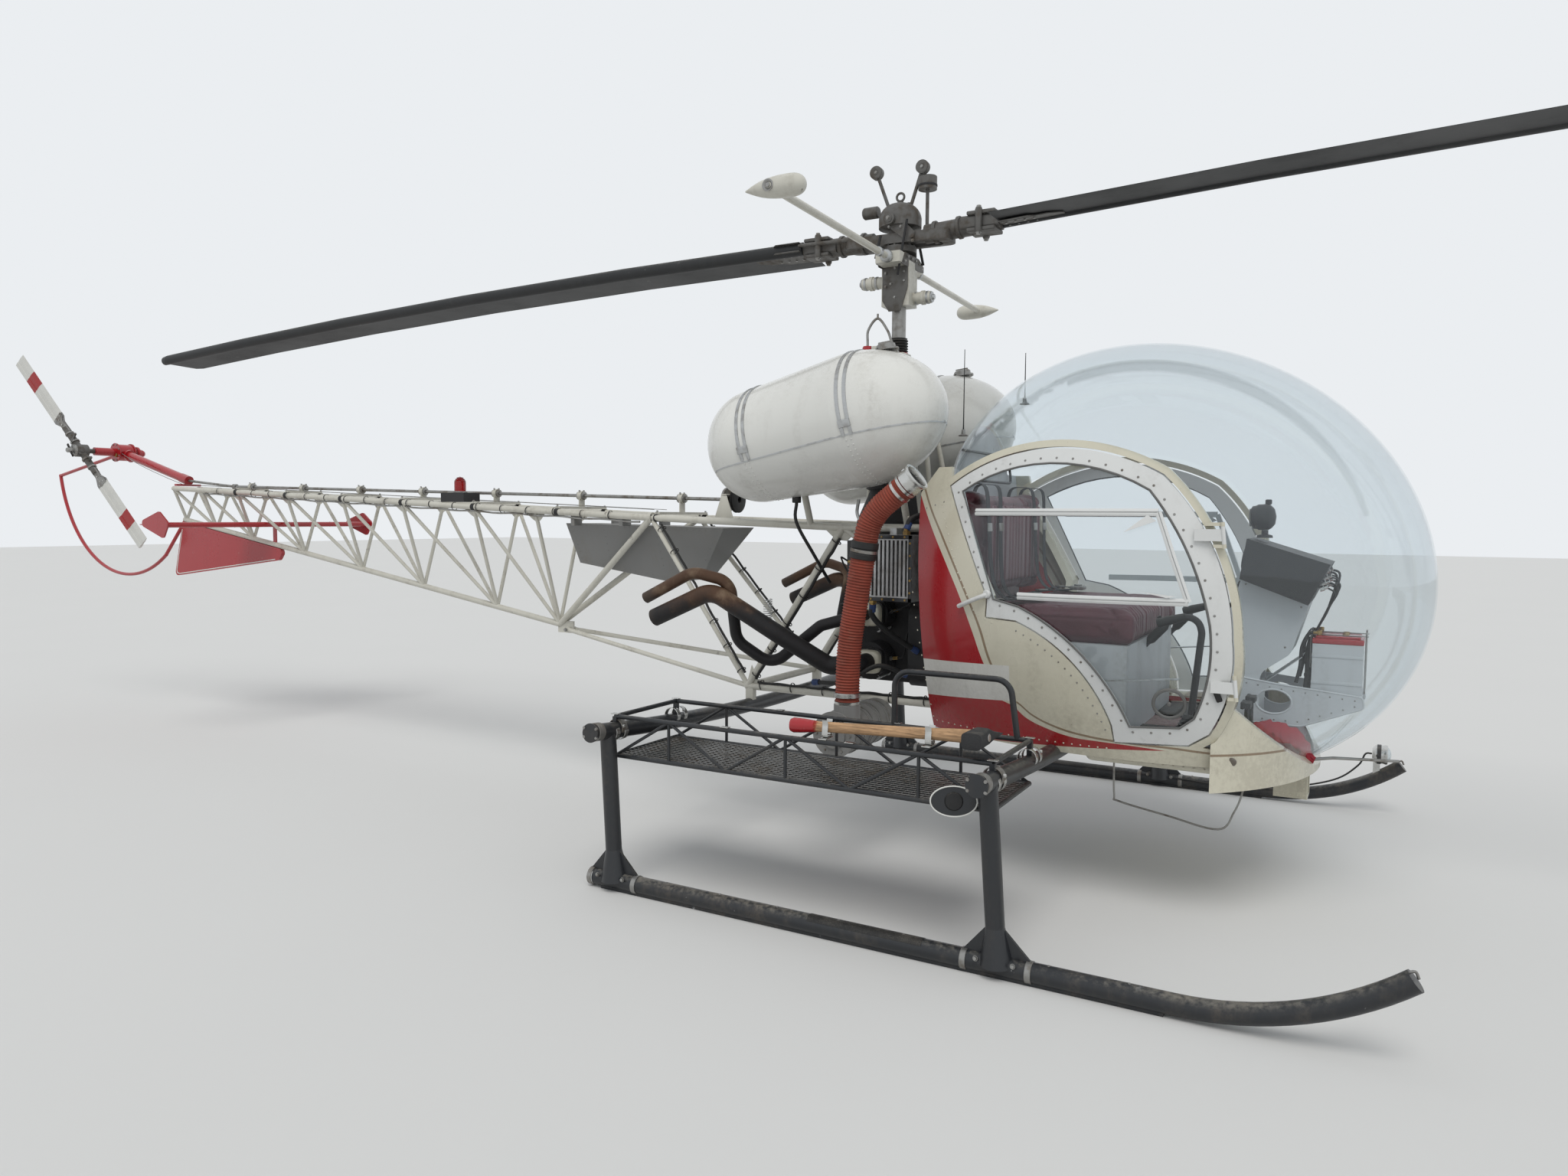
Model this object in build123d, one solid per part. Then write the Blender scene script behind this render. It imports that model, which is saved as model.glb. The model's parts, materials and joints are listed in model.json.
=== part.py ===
"""Light bubble-canopy helicopter with an open truss tail boom, parked on high skids.

Millimetres. X points forward, Y to the left, Z up. The sizes below are given from the mast axis
(X = 0, Y = 0) and from the ground (Z = 0). The finished model is moved along X so that its origin
is at the middle of its footprint.
"""
import os
from math import atan2, cos, radians, sin, sqrt, tan

from build123d import *

SEAT = 0.3                  # clearance between pieces that rest on each other
WELD = 2.0                  # how far a welded joint stands proud of its tubes

# Skid gear
TRACK = 2756.0              # between the two skid centrelines
SKID_D = 64.0
SHOE_T = 6.0                # wear shoe under each skid
SHOE_W = 34.0
SKID_REAR_X = -640.0
SKID_BEND_X = 1500.0        # where the nose of the skid starts to curve up
SKID_TIP_X = 2088.0
SKID_TIP_Z = 244.0
LEG_D = 62.0
LEG_FLARE_D = 112.0
LEG_FLARE_H = 120.0
GUSSET_REACH = 125.0
GUSSET_H = 150.0
GUSSET_T = 10.0
CROSS_D = 64.0
CROSS_BORE = 54.0
CROSS_OVERHANG = 100.0      # tube past the skid centreline
CROSS_END_Z = 624.0
CROSS_MID_Z = 552.0
CROSS_X = {"rear": -585.0, "front": 925.0}
FOOT_X = {"rear": -552.0, "front": 967.0}

# Tail boom, an inverted triangle of tubes
BOOM_TUBE_R = 17.0
BOOM_WEB_R = 10.5
BOOM_FRONT_X = -1250.0
BOOM_APEX_X = -2050.0
BOOM_END_X = -5600.0
BOOM_STUB = 25.0            # lower tube past the last frame, where the tail guard plugs on
BOOM_TOP_Z = (1428.0, 1612.0)       # at the front joint and at the end
BOOM_LOW_Z = (825.0, 1386.0)        # at the apex and at the end
BOOM_HALF_W = (215.0, 90.0)         # at the front joint and at the end
BOOM_FRAMES_X = [-2050.0, -2530.0, -3140.0, -3700.0, -4270.0, -4820.0, -5240.0, -5600.0]
APEX_LUG = (110.0, 12.0, 66.0)
FORK_FROM_APEX = (75.0, -25.0)     # X and Z from the apex to the fork pins
JOINT_DISC_T = 10.0
JOINT_DISC_R = 26.0

# Engine bay frame
FRAME_TUBE_R = 17.0
FRAME_WEB_R = 12.0
FRAME_HALF_W = 330.0
FRAME_TOP_Z = 1392.0
FRAME_LOW_Z = 612.0 + 32.0
FRAME_REAR_X = -600.0
FRAME_TOP_X = -110.0
FRAME_FRONT_X = 370.0

# Tail rotor drive
SHAFT_R = 9.0
SHAFT_BORE = 0.06           # radial running clearance in the hangers
SHAFT_FRONT = (-880.0, 1521.0)
SHAFT_REAR = (-5040.0, 1623.0)
BOX_LUGS_X = (-1450.0, -1780.0)
HANGERS_X = [-1211.0, -1887.0, -2527.0, -3136.0, -3704.0, -4271.0, -4823.0]
HANGER_R = 26.0
HANGER_T = 26.0
HANGER_POST_W = 44.0
SHAFT_DISC_R = 62.0
TAIL_TUBE_R = 30.0
TAIL_TUBE_FRONT = (-5560.0, 1668.0)
TAIL_AXIS = (-6400.0, 1890.0)       # X and Z of the tail rotor axis
TAIL_BOX_R = 62.0
TAIL_BOX_T = 120.0

# Tail rotor
TAIL_R = 865.0
TAIL_Y = -300.0
TAIL_ANGLE = 52.2           # front blade below the fuselage line
TAIL_FLAP = 9.0             # the blades rest leaning against their flapping stop
TAIL_CHORD = 118.0
TAIL_BLADE_T = 14.0
TAIL_SHAFT_R = 17.0
TAIL_GRIP_R = 215.0          # reach of the blade grips
TAIL_BLADE_ROOT = 170.0

# Tail guard, fin and stabilizer
GUARD_R = 12.5
GUARD_LOOP_R = 925.0
GUARD_TURN_X = -5880.0      # where the first straight run meets the loop
FIN_T = 26.0
STAB_X = (-4860.0, -4570.0)
STAB_Z = 1362.0
STAB_HALF_SPAN = 745.0
STAB_T = 34.0
STAB_ROOT_Y = 80.0          # the panels start outside the boom

# Beacon on the boom
BEACON = (-2700.0, -115.0, 1510.5)
BEACON_BOX_H = 52.0

# Main rotor
MAST_R = 32.0
MAST_BOTTOM_Z = 1660.0
HUB_Z = 2700.0
ROTOR_R = 5353.0
ROTOR_TURN = 2.57           # blade line from the fuselage line
ROTOR_TEETER = 2.3          # nose side high
BLADE_ROOT_R = 470.0
BLADE_CHORD = 280.0
BLADE_CONE = 0.035          # rise of the blade line from the hub, mm per mm
BLADE_DROOP = 204.0         # sag at the tip under its own weight
BLADE_THICK = 0.12
BLADE_PITCH = 6.0
BAR_HALF_SPAN = 1262.0
BAR_Z = 2592.0
BAR_R = 15.0
BAR_WEIGHT_R = 40.0
BAR_WEIGHT_X = (-110.0, 128.0)      # tail and nose of a streamlined weight, from the bar
DAMPERS = ((-112.0, 2509.0), (98.0, 2434.0))    # X and Z of the two damper cylinders
DAMPER_R = 27.0
HEAD_FLANGE_R = 75.0
HEAD_WAIST_R = 52.0
HEAD_DOME_R = 97.0
HEAD_LOW_Z = 2635.0
HEAD_TOP_Z = 2858.0
YOKE_LONG = 500.0
YOKE_WIDE = 150.0
YOKE_WALL = 26.0
YOKE_H = 44.0
GRIP_R = 42.0
GRIP_BLOCK = (300.0, 96.0, 60.0)    # where a blade's grip turns square, its width and height
HORNS = ((-45.0, -117.0, 3011.0), (42.0, 105.0, 3008.0))    # X at the dome, X and Z of each weight
HORN_R = 8.0
HORN_WEIGHT_R = 30.0
DRUM = (129.0, 2905.0, 42.0, 55.0)  # X, foot, radius and height of the drum on its stem

# Cabin
CANOPY_CENTRE = (1205.0, 0.0, 1284.0)
CANOPY_LONG = 970.0
CANOPY_TALL = 830.0
CANOPY_WIDE = 768.0
CANOPY_TILT = 26.6          # nose down
CANOPY_T = 6.0
CANOPY_REAR_X = 425.0
NOSE_PLAN_R = 896.0         # the nose skin in plan, a wide arc
NOSE_TIP_X = 1790.0
NOSE_PAN_Z = 494.0
NOSE_REAR_X = 1480.0
SHELF_Y = 120.3             # inner faces of the nose shelf plates, clear of the console
SHELF_Z = 790.0
NOSE_CUT = ((1500.0, 830.0), (1800.0, 500.0))   # lower edge of the canopy at the nose
SIDE_R = 1600.0             # the cabin sides bulge like a large ball
SIDE_CENTRE = (1150.0, 1150.0)
SIDE_MAX_Y = 765.0
SIDE_T = 22.0
JAMB_W = 32.0
JAMB_INNER_Y = 500.0
DOOR_GAP = 6.0
DOOR_HINGE_LOW = (1556.0, 712.0, 870.0)
DOOR_HINGE_TOP = (1506.0, 738.0, 1385.0)
HINGE_R = 7.0
HINGE_L = 60.0
HINGE_PIN_R = 3.0
HINGE_PLAY = 0.06
HINGE_LUG_L = 14.0
HINGE_LUG_DEEP = 40.0
HINGE_ARM_T = 14.0
HINGE_PADS = ((78.0, 46.0), (92.0, 66.0))   # how far behind the hinge axis the strap pads start and end
FLOOR_Z = (572.0, 604.0)
FLOOR_REAR_X = 415.3
BULKHEAD_X = (387.3, 415.0)
BELLY_X = (990.0, 1470.0)
BELLY_Z = 500.0
BELLY_HALF_W = 430.0
SCOOP = ((1633.0, 1750.0), (-60.0, 60.0), (366.0, 498.0))   # air box under the nose
SCOOP_T = 3.0
DIAL_R = 34.0
DIAL_DEEP = 5.0
DIALS = ((-142.0, 0.5), (-48.0, 0.5), (48.0, 0.5), (142.0, 0.5))     # Y and share of the panel's height

# Engine bay pieces
TANK_LONG = 1090.0
TANK_R = 285.0
TANK_WAIST_X = 160.0        # widest section, from the middle of the tank
TANK_TAIL_X = -330.0        # where the blunt tail starts
TANK_TAIL_R = 250.0
TANK_TAIL_LONG = 240.0
TANK_TILT = 11.0
TANK_CENTRE = (-130.0, 455.0, 1815.0)
TANK_POSTS = ((-280.0, 312.8, 1397.4), (200.0, 330.0, 1392.0))   # feet of the tank supports
DUCT_R = 50.0
DUCT_Y = -700.0
DUCT_END_Z = 680.0
ENGINE_Z = (700.0, 1330.0)
ENGINE_HALF = (190.0, 170.0, 45.0)      # half length, half width and how far the corners are cut back
ACCESSORY_X = 345.0
ACCESSORY_YZ = ((-290.0, 290.0), (700.0, 1060.0))
ACCESSORY_COVERS = ((-180.0, 820.0, 88.0), (180.0, 820.0, 88.0), (-100.0, 975.0, 62.0), (120.0, 975.0, 55.0))
MOUNT_BARS_X = (-70.0, 150.0)
BLOWER_R = 90.0
BLOWER_END_Y = -760.0
BLOWER_RIBS = 5
CYLINDERS_Z = (800.0, 1010.0, 1220.0)
CYLINDER_END_Y = 300.0
BARREL_R = 62.0
FIN_R = 84.0
COOLING_FINS = 8
ROCKER_COVER = (144.0, 18.0, 112.0)
LOOP_PIPE = ((-961, -640, 1062), (-700, -640, 1190), (-530, -600, 1150), (-545, -520, 880), (-400, -450, 770),
             (-170, -420, 960))
LOOP_PIPE_BENDS = (120, 75, 90, 90, 60, 40)
LOOP_PIPE_R = 26.0
LOW_PIPE = ((-905, -650, 975), (-600, -640, 1110), (-316, -560, 932), (-113, -450, 790))
LOW_PIPE_BENDS = (110, 150, 60, 40)
LOW_PIPE_R = 40.0
PIPE_WALL = 4.0
PIPE_BORE_DEEP = 60.0
CASE_PROFILE = ((200.0, ENGINE_Z[1] + SEAT), (200.0, 1362.0), (182.0, 1370.0), (182.0, 1420.0),
                (122.0, 1560.0), (140.0, 1568.0), (140.0, 1588.0), (108.0, 1600.0), (96.0, 1700.0),
                (90.0, 1880.0))     # radius and height up the gear case
COOLER = ((60.0, 300.0), (-520.0, -430.0), (1090.0, 1365.0))
COOLER_SLOTS = 11
COOLER_SLOT = (9.0, 30.0, 22.0)     # width, depth and margin of a slot between the cooler's fins

# Landing light
LIGHT_X = 1960.0
LIGHT_Z = 290.0
LIGHT_R = 45.0
LIGHT_LONG = 60.0

# Cargo rack on the right
RACK_FROM_SKID = (448.0, 48.0)      # from the right skid in to the inner and outer rails
RACK_Y = tuple(inset - TRACK / 2 for inset in RACK_FROM_SKID)
RACK_WEB_R = 6.0
RACK_X = (-585.0, 925.0)
RACK_TOP_Z = 664.0
RACK_LOW_Z = 512.0
RACK_ROD_R = 9.0
RACK_BAYS = 3
AXE_HEAD = ((-44, -92), (46, -92), (18, -26), (20, 22), (4, 96), (-10, 96), (-20, 22), (-18, -26))
RACK_DISC = (815.0, RACK_Y[1] - 50, 540.0)     # the oval plate at the rack's front corner
RACK_DISC_SIZE = (75.0, 49.0, 7.0)

PARTS = {}


def vec(p):
    return Vector(*p)


def rod(start, end, radius):
    """A round bar from one point to another."""
    start, end = vec(start), vec(end)
    return Solid.make_cylinder(radius, (end - start).length, Plane(origin=start, z_dir=end - start))


def ball(centre, radius):
    return Pos(*centre) * Sphere(radius)


def joined(shapes):
    """One body from shapes that meet."""
    return Part() + list(shapes)


def along(start, end, distance):
    """The point at a distance from start towards end."""
    start, end = vec(start), vec(end)
    return start + (end - start).normalized() * distance


def bent_tube(points, bend_r, radius):
    """A round tube along straight runs joined by arcs."""
    path = FilletPolyline(*points, radius=bend_r)
    return sweep(Plane(origin=path @ 0, z_dir=path % 0) * Circle(radius), path=path)


def line_at(x, x_pair, value_pair):
    """Value on the straight line through two stations."""
    (x0, x1), (v0, v1) = x_pair, value_pair
    return v0 + (v1 - v0) * (x - x0) / (x1 - x0)


def mirrored(shape):
    return mirror(shape, about=Plane.XZ)


def slab(face_xz, y0, y1):
    """Extrude a face drawn in X and Z from y0 to y1."""
    return Pos(0, y1, 0) * extrude(Plane.XZ * face_xz, amount=y1 - y0)


def block(x_pair, y_pair, z_pair):
    """A plain box between three pairs of limits."""
    size = [b - a for a, b in (x_pair, y_pair, z_pair)]
    mid = [(a + b) / 2 for a, b in (x_pair, y_pair, z_pair)]
    return Pos(*mid) * Box(*size)


def rounded_block(x_pair, y_pair, z_pair, radius):
    body = block(x_pair, y_pair, z_pair)
    return fillet(body.edges(), radius)


# Skid gear
def cross_z(y):
    """Height of a cross tube centreline at a distance from the middle."""
    half = TRACK / 2 + CROSS_OVERHANG
    rise = CROSS_END_Z - CROSS_MID_Z
    arc_r = (half ** 2 + rise ** 2) / (2 * rise)
    return CROSS_MID_Z + arc_r - sqrt(arc_r ** 2 - y ** 2)


def cross_path(end):
    x = CROSS_X[end]
    half = TRACK / 2 + CROSS_OVERHANG
    return ThreePointArc((x, -half, CROSS_END_Z), (x, 0, CROSS_MID_Z), (x, half, CROSS_END_Z))


def swept(path, radius):
    return sweep(Plane(origin=path @ 0, z_dir=path % 0) * Circle(radius), path=path)


def skid_path(side):
    y = side * TRACK / 2
    z = SHOE_T + SKID_D / 2
    rise = SKID_TIP_Z - z
    run = SKID_TIP_X - SKID_BEND_X
    nose_r = (run ** 2 + rise ** 2) / (2 * rise)
    mid_angle = atan2(run, nose_r - rise) / 2
    mid = (SKID_BEND_X + nose_r * sin(mid_angle), y, z + nose_r * (1 - cos(mid_angle)))
    return Line((SKID_REAR_X, y, z), (SKID_BEND_X, y, z)) + ThreePointArc(
        (SKID_BEND_X, y, z), mid, (SKID_TIP_X, y, SKID_TIP_Z))


def skid(side):
    y = side * TRACK / 2
    tube = sweep(Plane(origin=(SKID_REAR_X, y, SHOE_T + SKID_D / 2), z_dir=(1, 0, 0)) * Circle(SKID_D / 2),
                 path=skid_path(side))
    shoe = block((SKID_REAR_X + 30, SKID_BEND_X - 30), (y - SHOE_W / 2, y + SHOE_W / 2), (0, SHOE_T + 14))
    return joined([tube, shoe])


def gear_leg(end, side):
    """A post that saddles the skid and the cross tube."""
    y = side * TRACK / 2
    foot = vec((FOOT_X[end], y, SHOE_T + SKID_D / 2))
    top = vec((CROSS_X[end], y, cross_z(y)))
    axis = Plane(origin=foot, z_dir=top - foot)
    post = Solid.make_cylinder(LEG_D / 2, (top - foot).length, axis)
    flare = Solid.make_cone(LEG_FLARE_D / 2, LEG_D / 2, LEG_FLARE_H, axis)
    lean = (top - foot) * (GUSSET_H / (top - foot).length)
    low = foot.Z + SKID_D / 4
    gusset = make_face(Polyline((foot.X - GUSSET_REACH, low), (foot.X + GUSSET_REACH, low),
                                (foot.X + lean.X, foot.Z + GUSSET_H), close=True))
    gusset = slab(gusset, y - GUSSET_T / 2, y + GUSSET_T / 2)
    skid_room = rod((SKID_REAR_X, y, foot.Z), (SKID_TIP_X, y, foot.Z), SKID_D / 2 + SEAT)
    below = block((foot.X - 200, foot.X + 200), (y - 100, y + 100), (foot.Z - 200, foot.Z))
    return joined([post, flare, gusset]) - below - skid_room - swept(cross_path(end), CROSS_D / 2 + SEAT)


def gear_legs():
    return Compound([gear_leg(end, side) for end in CROSS_X for side in (1, -1)])


def tube_room():
    """The groove that the front cross tube takes out of the cabin."""
    return swept(cross_path("front"), CROSS_D / 2 + SEAT)


def cross_tubes():
    paths = [cross_path(end) for end in CROSS_X]
    return Compound([swept(path, CROSS_D / 2) - swept(path, CROSS_BORE / 2) for path in paths])


# Tail boom
def boom_nodes(x):
    """Left upper, right upper and lower tube centres at one station."""
    top = line_at(x, (BOOM_FRONT_X, BOOM_END_X), BOOM_TOP_Z)
    low = line_at(x, (BOOM_APEX_X, BOOM_END_X), BOOM_LOW_Z)
    half = line_at(x, (BOOM_FRONT_X, BOOM_END_X), BOOM_HALF_W)
    return (x, half, top), (x, -half, top), (x, 0, low)


def tail_boom():
    frames = [boom_nodes(x) for x in BOOM_FRAMES_X]
    front_left, front_right, _ = boom_nodes(BOOM_FRONT_X)
    last = frames[-1]
    apex = frames[0][2]
    rods = [rod(front_left, last[0], BOOM_TUBE_R), rod(front_right, last[1], BOOM_TUBE_R),
            rod(apex, lower_tube_end(), BOOM_TUBE_R), rod(front_left, front_right, BOOM_WEB_R),
            rod(front_left, apex, BOOM_TUBE_R), rod(front_right, apex, BOOM_TUBE_R),
            rod(front_left, frames[0][1], BOOM_WEB_R)]
    for left, right, low in frames:
        rods += [rod(left, low, BOOM_WEB_R), rod(right, low, BOOM_WEB_R), rod(left, right, BOOM_WEB_R)]
    for fore, aft in zip(frames, frames[1:]):
        rods += [rod(aft[0], fore[2], BOOM_WEB_R), rod(aft[1], fore[2], BOOM_WEB_R),
                 rod(fore[0], aft[1], BOOM_WEB_R)]
    for corner in (front_left, front_right):
        x, y, z = corner
        rods.append(rod((x - JOINT_DISC_T, y, z), (x, y, z), JOINT_DISC_R))
        rods.append(ball(corner, BOOM_TUBE_R + 1) & block((x - 60, x), (y - 40, y + 40), (z - 40, z + 40)))
    length, width, height = APEX_LUG
    rods.append(Pos(apex[0] + length / 2 - 10, 0, apex[2] + FORK_FROM_APEX[1] / 2) * Box(length, width, height))
    return joined(rods) - block((BOOM_FRONT_X, BOOM_FRONT_X + 100), (-300, 300), (1350, 1500))


def shaft_z(x):
    return line_at(x, (SHAFT_FRONT[0], SHAFT_REAR[0]), (SHAFT_FRONT[1], SHAFT_REAR[1]))


def boom_top_z(x):
    return boom_nodes(x)[0][2]


def upper_tube(side, radius):
    """The straight run of an upper boom tube."""
    index = 0 if side > 0 else 1
    return rod(boom_nodes(BOOM_FRONT_X)[index], boom_nodes(BOOM_END_X)[index], radius)


def lower_tube_end(extra=0.0):
    apex, last = boom_nodes(BOOM_APEX_X)[2], boom_nodes(BOOM_END_X)[2]
    return along(apex, last, (vec(last) - vec(apex)).length + BOOM_STUB + extra)


def lower_tube_room():
    return rod(boom_nodes(BOOM_APEX_X)[2], lower_tube_end(SEAT), BOOM_TUBE_R + SEAT)


def shaft_hangers():
    """Bearing stands on bridge bars between the upper tubes of the boom."""
    stands = []
    start, end = (SHAFT_FRONT[0], 0, SHAFT_FRONT[1]), (SHAFT_REAR[0], 0, SHAFT_REAR[1])
    direction = vec(end) - vec(start)
    for x in HANGERS_X:
        z = shaft_z(x)
        left, right, _ = boom_nodes(x)
        top = left[2]
        heights = (top + BOOM_TUBE_R + 3 * SEAT, top + BOOM_TUBE_R + 14)
        bridge = block((x - 14, x + 14), (right[1], left[1]), heights)
        post = block((x - 3, x + 3), (-HANGER_POST_W / 2, HANGER_POST_W / 2), (top + BOOM_TUBE_R + 4, z))
        housing_plane = Plane(origin=(x, 0, z), z_dir=direction)
        housing = Pos(0, 0, 0) * Solid.make_cylinder(HANGER_R, HANGER_T, housing_plane.offset(-HANGER_T / 2))
        stands.append(joined([bridge, post, housing]) - rod(start, end, SHAFT_R + SHAFT_BORE))
    return Compound(stands)


def drive_shaft():
    start, end = (SHAFT_FRONT[0], 0, SHAFT_FRONT[1]), (SHAFT_REAR[0], 0, SHAFT_REAR[1])
    tube_end = (TAIL_TUBE_FRONT[0], 0, TAIL_TUBE_FRONT[1])
    last_run = (vec(tube_end) - vec(end)).length - 2
    shaft = rod(start, end, SHAFT_R)
    tail_run = rod(end, along(end, tube_end, last_run), SHAFT_R)
    collars = [rod(along(start, end, d0), along(start, end, d0 + 34), 17) for d0 in (0, 4120)]
    disc = rod(along(start, end, 40), along(start, end, 52), SHAFT_DISC_R)
    return joined([shaft, disc, *collars, ball(end, SHAFT_R + WELD), tail_run])



# Tail end
def tail_gearbox():
    x, z = TAIL_AXIS
    front = (TAIL_TUBE_FRONT[0], 0, TAIL_TUBE_FRONT[1])
    tube = rod(front, (x, 0, z), TAIL_TUBE_R)
    root = rod(front, along(front, (x, 0, z), 90), TAIL_TUBE_R + 4)
    end_top = boom_nodes(BOOM_END_X)[0][2] + BOOM_TUBE_R + 3 * SEAT
    foot = block((BOOM_END_X + 10, front[0] - 4), (-BOOM_HALF_W[1], BOOM_HALF_W[1]), (end_top, end_top + 14))
    box = rod((x, TAIL_BOX_T / 2, z), (x, -TAIL_BOX_T / 2, z), TAIL_BOX_R)
    neck = rod((x, 0, z), (x, TAIL_Y + 92, z), 30)
    half = TAIL_BOX_T / 2
    flanges = [rod((x, side * half, z), (x, side * (half - 9), z), TAIL_BOX_R + 8) for side in (1, -1)]
    centre = (x, 0, z)
    collar = rod(along(centre, front, TAIL_BOX_R + 22), along(centre, front, TAIL_BOX_R + 36), TAIL_TUBE_R + 12)
    body = joined([tube, root, foot, box, neck, *flanges, collar])
    bore = rod((x, 0, z), (x, TAIL_Y, z), TAIL_SHAFT_R + 0.06)
    return body - bore


def guard_form(grow=0.0):
    """Bent tube round the tail rotor's lower half."""
    x, z = TAIL_AXIS
    radius = GUARD_R + grow
    turn_z = z - sqrt(GUARD_LOOP_R ** 2 - (GUARD_TURN_X - x) ** 2)
    start = (GUARD_TURN_X, 0, turn_z)
    low, end = radians(30), radians(170)
    arc = ThreePointArc(start, (x - GUARD_LOOP_R * sin(low), 0, z - GUARD_LOOP_R * cos(low)),
                        (x + GUARD_LOOP_R * cos(end), 0, z - GUARD_LOOP_R * sin(end)))
    tip = tuple(arc @ 1)
    first = rod((BOOM_END_X - BOOM_STUB + 8, 0, BOOM_LOW_Z[1] + 2), start, radius)
    back = rod(tip, (x - TAIL_BOX_R / 2, 0, z - 6), radius)
    return joined([first, ball(start, radius + 1), swept(arc, radius), ball(tip, radius + 1), back])


def tail_guard():
    x, z = TAIL_AXIS
    box_room = rod((x, TAIL_BOX_T / 2 + 1, z), (x, -TAIL_BOX_T / 2 - 1, z), TAIL_BOX_R + SEAT)
    return guard_form() - lower_tube_room() - box_room


def tail_fin():
    top = [(x, boom_nodes(x)[2][2] - BOOM_TUBE_R - SEAT) for x in (-4480.0, -5590.0)]
    outline = [(-5650, 1330), (-5752, 975), (-4540, 1120), *top]
    face = make_face(Polyline(*outline, close=True))
    face = fillet(face.vertices(), 28)
    return slab(face, -FIN_T / 2, FIN_T / 2) - guard_form(SEAT)


def stabilizer():
    nose, tail = STAB_X[1], STAB_X[0]
    spar_x = nose - STAB_T / 2
    longeron = boom_nodes(spar_x)[2][2]
    bracket = block((spar_x - 15, spar_x + 15), (-5, 5), (longeron, STAB_Z)) - lower_tube_room()
    edge_x = nose - STAB_T / 2
    edge = rod((edge_x, -STAB_HALF_SPAN, STAB_Z), (edge_x, STAB_HALF_SPAN, STAB_Z), STAB_T / 2)
    pieces = [edge, bracket]
    half_t = STAB_T / 2
    high, low = STAB_Z + half_t, STAB_Z - half_t
    section = make_face(ThreePointArc((spar_x, high), (nose, STAB_Z), (spar_x, low))
                        + Polyline((spar_x, low), (tail, STAB_Z - 2), (tail, STAB_Z + 2), (spar_x, high)))
    for side in (1, -1):
        inner, outer = sorted((side * STAB_ROOT_Y, side * STAB_HALF_SPAN))
        pieces.append(slab(section, inner, outer))
        plate = make_face(Polyline((tail - 10, STAB_Z + 10), (nose - 60, STAB_Z + 85), (nose + 40, STAB_Z + 10),
                                   (nose - 20, STAB_Z - 85), close=True))
        plate = fillet(plate.vertices(), 24)
        y = side * STAB_HALF_SPAN
        pieces.append(slab(plate, min(y, y + side * 10), max(y, y + side * 10)))
    return joined(pieces)


def boom_box():
    """Sheet-metal locker hung between the upper tubes of the boom."""
    face = make_face(Polyline((-1870, 1395), (-1836, 1180), (-1228, 1090), (-1050, 1120), (-860, 1380), close=True))
    wedge = Plane.YZ * make_face(Polyline((-40, 1080), (40, 1080), (150, 1400), (-150, 1400), close=True))
    locker = slab(face, -150, 150) & (Pos(-2000, 0, 0) * extrude(wedge, amount=1300))
    lugs, room = [], []
    for side in (1, -1):
        for x in BOX_LUGS_X:
            y_pair = sorted((side * 137, side * line_at(x, (BOOM_FRONT_X, BOOM_END_X), BOOM_HALF_W)))
            lugs.append(block((x - 12, x + 12), y_pair, (1384, boom_top_z(x))))
        room.append(upper_tube(side, BOOM_TUBE_R + SEAT))
    return joined([locker, *lugs]) - room


def beacon_box():
    x, y, base = BEACON
    return block((x - 92, x + 92), (y - 62, y + 62), (base, base + BEACON_BOX_H))


def beacon():
    x, y, base = BEACON
    foot = base + BEACON_BOX_H + SEAT
    return joined([Pos(x, y, foot + 30) * Cylinder(32, 60), ball((x, y, foot + 60), 32)])


# Main rotor
def rotor_line_z(r):
    """Height of the blade line at a signed distance from the mast."""
    tilt = tan(radians(ROTOR_TEETER)) * r
    return HUB_Z + tilt + BLADE_CONE * abs(r) - BLADE_DROOP * (r / ROTOR_R) ** 2


def blade_section(r, chord, direction):
    """Wing section at a distance from the mast, its nose on the side the blade turns towards."""
    half_t = chord * BLADE_THICK / 2
    nose, mid, tail = chord * 0.25, chord * 0.05, -chord * 0.75
    outline = (ThreePointArc((mid, half_t), (nose, 0), (mid, -half_t))
               + Polyline((mid, -half_t), (tail, -1), (tail, 1), (mid, half_t)))
    plane = Plane(origin=(0, 0, 0), x_dir=(0, direction, 0), z_dir=(direction, 0, 0))
    turned = plane * (Rot(0, 0, BLADE_PITCH) * make_face(outline))
    return Pos(direction * r, 0, rotor_line_z(direction * r)) * turned


def main_blade(direction):
    """A blade drooping under its own weight, with a rounded tip."""
    stations = [(BLADE_ROOT_R, 1.0), (1500.0, 1.0), (2600.0, 1.0), (3600.0, 1.0), (4500.0, 1.0),
                (ROTOR_R - 60, 1.0), (ROTOR_R - 14, 0.9), (ROTOR_R, 0.7)]
    sections = [blade_section(r, BLADE_CHORD * part, direction) for r, part in stations]
    return Rot(0, 0, ROTOR_TURN) * loft(sections, ruled=True)


def head_dome():
    """Flange, waist and helmet of the hub, turned about the mast."""
    low, top = HEAD_LOW_Z, HEAD_TOP_Z
    brim = top - HEAD_DOME_R - 13
    shoulder = (HEAD_DOME_R, brim + 42)
    outline = (Polyline((0, low), (HEAD_FLANGE_R, low), (HEAD_FLANGE_R, low + 27), (HEAD_WAIST_R, low + 37),
                        (HEAD_WAIST_R, brim - 8), (HEAD_DOME_R, brim), shoulder)
               + ThreePointArc(shoulder, (HEAD_DOME_R * 0.72, top - 18), (30, top))
               + Polyline((30, top), (0, top), (0, low)))
    return revolve(Plane.XZ * make_face(outline), Axis.Z)


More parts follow.
